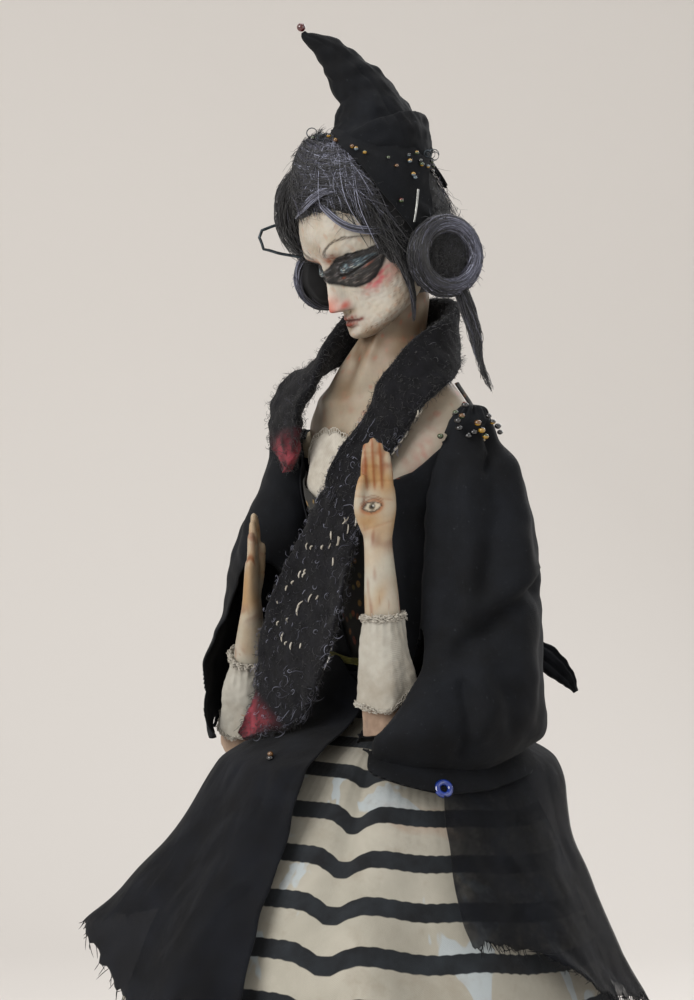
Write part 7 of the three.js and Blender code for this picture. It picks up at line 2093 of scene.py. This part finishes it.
def makeSleeve(name, arm):
    rows = sleeveRings[name]
    if name == "left":
        rows = rows + [[1.125, -4.3, 1.8, 3.2, 3.6, 0], [1.132, -4.3, 1.8, 0.5, 0.5, 0]]
    line = along(rows, 130)
    share = np.linspace(0, 1, 130)
    at = lerp(arm["elbow"][None], arm["shoulder"][None], line[:, :1])
    centre = shifted(np.zeros(3), line[:, 1], line[:, 2], 0 * line[:, 2]) + at
    t = np.radians(np.arange(0, 360, 2.25))
    wide, deep = turnedBy(toRight, line[:, 5]), turnedBy(toNear, line[:, 5])
    points = (centre[:, None] + (line[:, 3, None] * np.cos(t))[..., None] * wide[:, None]
            + (line[:, 4, None] * np.sin(t))[..., None] * deep[:, None])
    swell = np.sin(math.pi * np.clip(share * 1.05, 0, 1))[:, None]
    away = unit(points - centre[:, None])
    cloth = 0.7 * np.cos(4 * t + 4 * share[:, None]) * swell
    cloth = cloth + 0.7 * ripple(points * np.array([1, 1, 0.4]), 20, 151) * swell + 0.22 * ripple(points, 8, 152)
    tight = smooth(share, 0.8, 0.93)[:, None] * smooth(line[:, 3, None], 2, 5)
    gathers = np.cos(11 * t + 2 * np.sin(3 * t) + 3 * share[:, None]) + 0.6 * np.cos(19 * t + 1)
    facing = smooth(away @ toNear, -0.1, 0.35)
    right, high = (points - arm["elbow"]) @ toRight, points[..., 2] - arm["elbow"][2]
    for fold, depth, width in sleeveFolds[name]:
        cloth = cloth + depth * bump(nearLine(right, high, fold), width) * facing
    points = points + away * (cloth * smooth(line[:, 3, None], 0.5, 5) + 0.8 * gathers * tight)[..., None]
    points = keepOff(points, 0.6)
    # wide enough for the upper arm, also where it runs behind the sleeve's middle
    bone = boneLine(arm)
    order = np.argsort(bone[:, 2])
    beside = np.stack([np.interp(points[..., 2], bone[order, 2], bone[order, k]) for k in (0, 1)], -1)
    ray = points[..., :2] - centre[:, None, :2]
    length = np.linalg.norm(ray, axis=-1)
    ray = ray / np.maximum(length, 1e-6)[..., None]
    toBone = beside - centre[:, None, :2]
    ahead = np.sum(ray * toBone, -1)
    room = armSize["sleeveRoom"] ** 2 - (np.sum(toBone ** 2, -1) - ahead ** 2)
    within = ((room > 0) & (ahead > 0) & (points[..., 2] < arm["shoulder"][2] - 3)
            & (points[..., 2] > arm["elbow"][2] - 2))
    far = np.where(within, ahead + np.sqrt(np.maximum(room, 0)), 0)
    points[..., :2] += ray * np.maximum(far - length, 0)[..., None]
    # opened toward the hand, and as far as the forearm swings, so that the cuff comes out of it
    reach = arm["reach"]
    clear = {"ahead": 2.2, "over": 0.15}  # how near the lip an edge is drawn onto it, and how far outside it

    def opening(spots, swings):  # how far along the forearm and off it, the opening's size there and its middle
        best = None
        for swing in np.radians(swings):
            way = tilted(swing) @ arm["axis"]
            run = (spots - arm["elbow"]) @ way
            foot = arm["elbow"] + run[..., None] * way
            lip = np.interp(run, [-6, 5, 0.5 * reach, reach, reach + 30], [8.9, 9.5, 10.9, 10.9, 11]) + 0.5
            off = np.linalg.norm(spots - foot, axis=-1)
            found = [off - lip + np.where(run > 0, 0, 50), run, off, lip, foot]
            if best is None:
                best = found
            nearer = found[0] < best[0]
            best = [np.where(nearer if new.ndim == nearer.ndim else nearer[..., None], new, old)
                    for new, old in zip(found, best)]
        return best[1:]

    swings = [0, 9, 18, 27, 35]
    run, off, lip, foot = opening(points, [0])
    pushed = foot + unit(points - foot) * lip[..., None]
    points = np.where(((off < lip) & (run > -8) & (run <= 2))[..., None], pushed, points)
    run, off, lip, foot = opening(points, swings)
    corner = (off < lip) & (run > 2)
    edge = np.zeros_like(corner)
    for step in ((0, 1), (0, -1), (1, 0), (-1, 0), (1, 1), (-1, -1), (1, -1), (-1, 1)):
        edge |= np.roll(corner, step, (0, 1))
    edge &= ~corner
    snapped = foot + unit(points - foot) * (lip + clear["over"])[..., None]
    near = edge & (off < lip + clear["ahead"]) & (run > 0)
    points = np.where(near[..., None], snapped, points)
    grid = corner.reshape(-1)
    cols = len(t)

    def keep(quads):
        return ~grid[quads].any(1)

    piece = gridPiece(name + "Sleeve", points, True, arcUv(points, True), (False, name == "left"),
            np.repeat(centre[:, None], cols, 1), None, keep)
    thicken(piece, 0.5)
    dress(piece, "black", "black_cotton", name + "_sleeve", onBody=name + "_arm")


def makeArms():
    for name, arm in arms.items():
        makeUpperArm(name, arm)
        makeForearm(name, arm)
        makeCuff(name, arm)
        makeSleeve(name, arm)
        print("arm:", name)


makeClothes()
makeWaist()
makeStole()
makeCamisole()
makeStrap()
makeBody()
makeStand()
makeChest()
makeHead()
print("bust")
makeHairCap()
makeRoll("left")
makeRoll("right")
makeLocks()
makeWireLoop()
makeHat()
print("hair and hat")
makeArms()
makeBeads()

# stage, light and camera
stageMesh = bpy.data.meshes.new("studioFloor")
far, back, tall, curve = 3.0, 0.9, 2.6, 0.5
across = np.array([0.743, 0.669, 0.0])
behind = np.array([-0.669, 0.743, 0.0])
rows = [(-far, 0.0), (-1.0, 0.0), (back, 0.0)]
rows += [(back + curve * math.sin(t), curve * (1 - math.cos(t))) for t in np.linspace(0.1, math.pi / 2, 14)]
rows.append((back + curve, tall))
sheet = [[(*(across * side + behind * depth)[:2], height) for side in (-far, far)] for depth, height in rows]
flatRows = [spot for row in sheet for spot in row]
stageMesh.from_pydata(flatRows, [], [(2 * k, 2 * k + 1, 2 * k + 3, 2 * k + 2) for k in range(len(rows) - 1)])
stageMesh.shade_smooth()
floor = addObject("studioFloor", stageMesh)
paper = startFinish("paper", "#d5d1cd", 0.95, Specular_IOR_Level=0.1)
floor.data.materials.append(paper)


def addLamp(name, place, aim, power, size, colour):
    lamp = bpy.data.lights.new(name, "AREA")
    lamp.energy, lamp.shape, lamp.size, lamp.size_y = power, "RECTANGLE", size, size
    lamp.color = colour
    made = addObject(name, lamp)
    made.location = place
    made.rotation_euler = (Vector(aim) - Vector(place)).to_track_quat("-Z", "Y").to_euler()


def fromCamera(right, toward, rise):  # metres about the doll, seen from the camera
    return tuple(across * right - behind * toward + np.array([0, 0, rise]))


for name, place, power, size, colour in (
        ("windowLight", (-0.95, 0.75, 0.85), 17, 0.9, (1.0, 0.985, 0.96)),
        ("fillLight", (1.0, 0.8, 0.55), 4.0, 1.0, (0.95, 0.975, 1.0)),
        ("topLight", (0.1, -0.2, 1.3), 5.0, 0.9, (1.0, 1.0, 1.0)),
        ("backLight", (0.6, -0.7, 0.8), 4.0, 0.6, (0.95, 0.97, 1.0))):
    addLamp(name, fromCamera(*place), fromCamera(0, 0, 0.3), power, size, colour)
world = bpy.data.worlds.new("room")
bpy.context.scene.world = world
world.use_nodes = True
world.node_tree.nodes["Background"].inputs["Color"].default_value = (*linear("#e3e0dc"), 1)
world.node_tree.nodes["Background"].inputs["Strength"].default_value = 0.75
view = {"angle": 23.9, "right": -0.0069, "away": 0.708, "height": 0.308}
lens = bpy.data.cameras.new("camera")
lens.sensor_fit = "VERTICAL"
lens.angle = math.radians(view["angle"])
lens.dof.use_dof = False
camera = addObject("camera", lens)
camera.location = fromCamera(view["right"], view["away"], view["height"])
camera.rotation_euler = Vector(tuple(behind)).to_track_quat("-Z", "Y").to_euler()
bpy.context.scene.camera = camera
bpy.context.scene.view_settings.view_transform = "Standard"
bpy.context.scene.view_settings.look = "None"
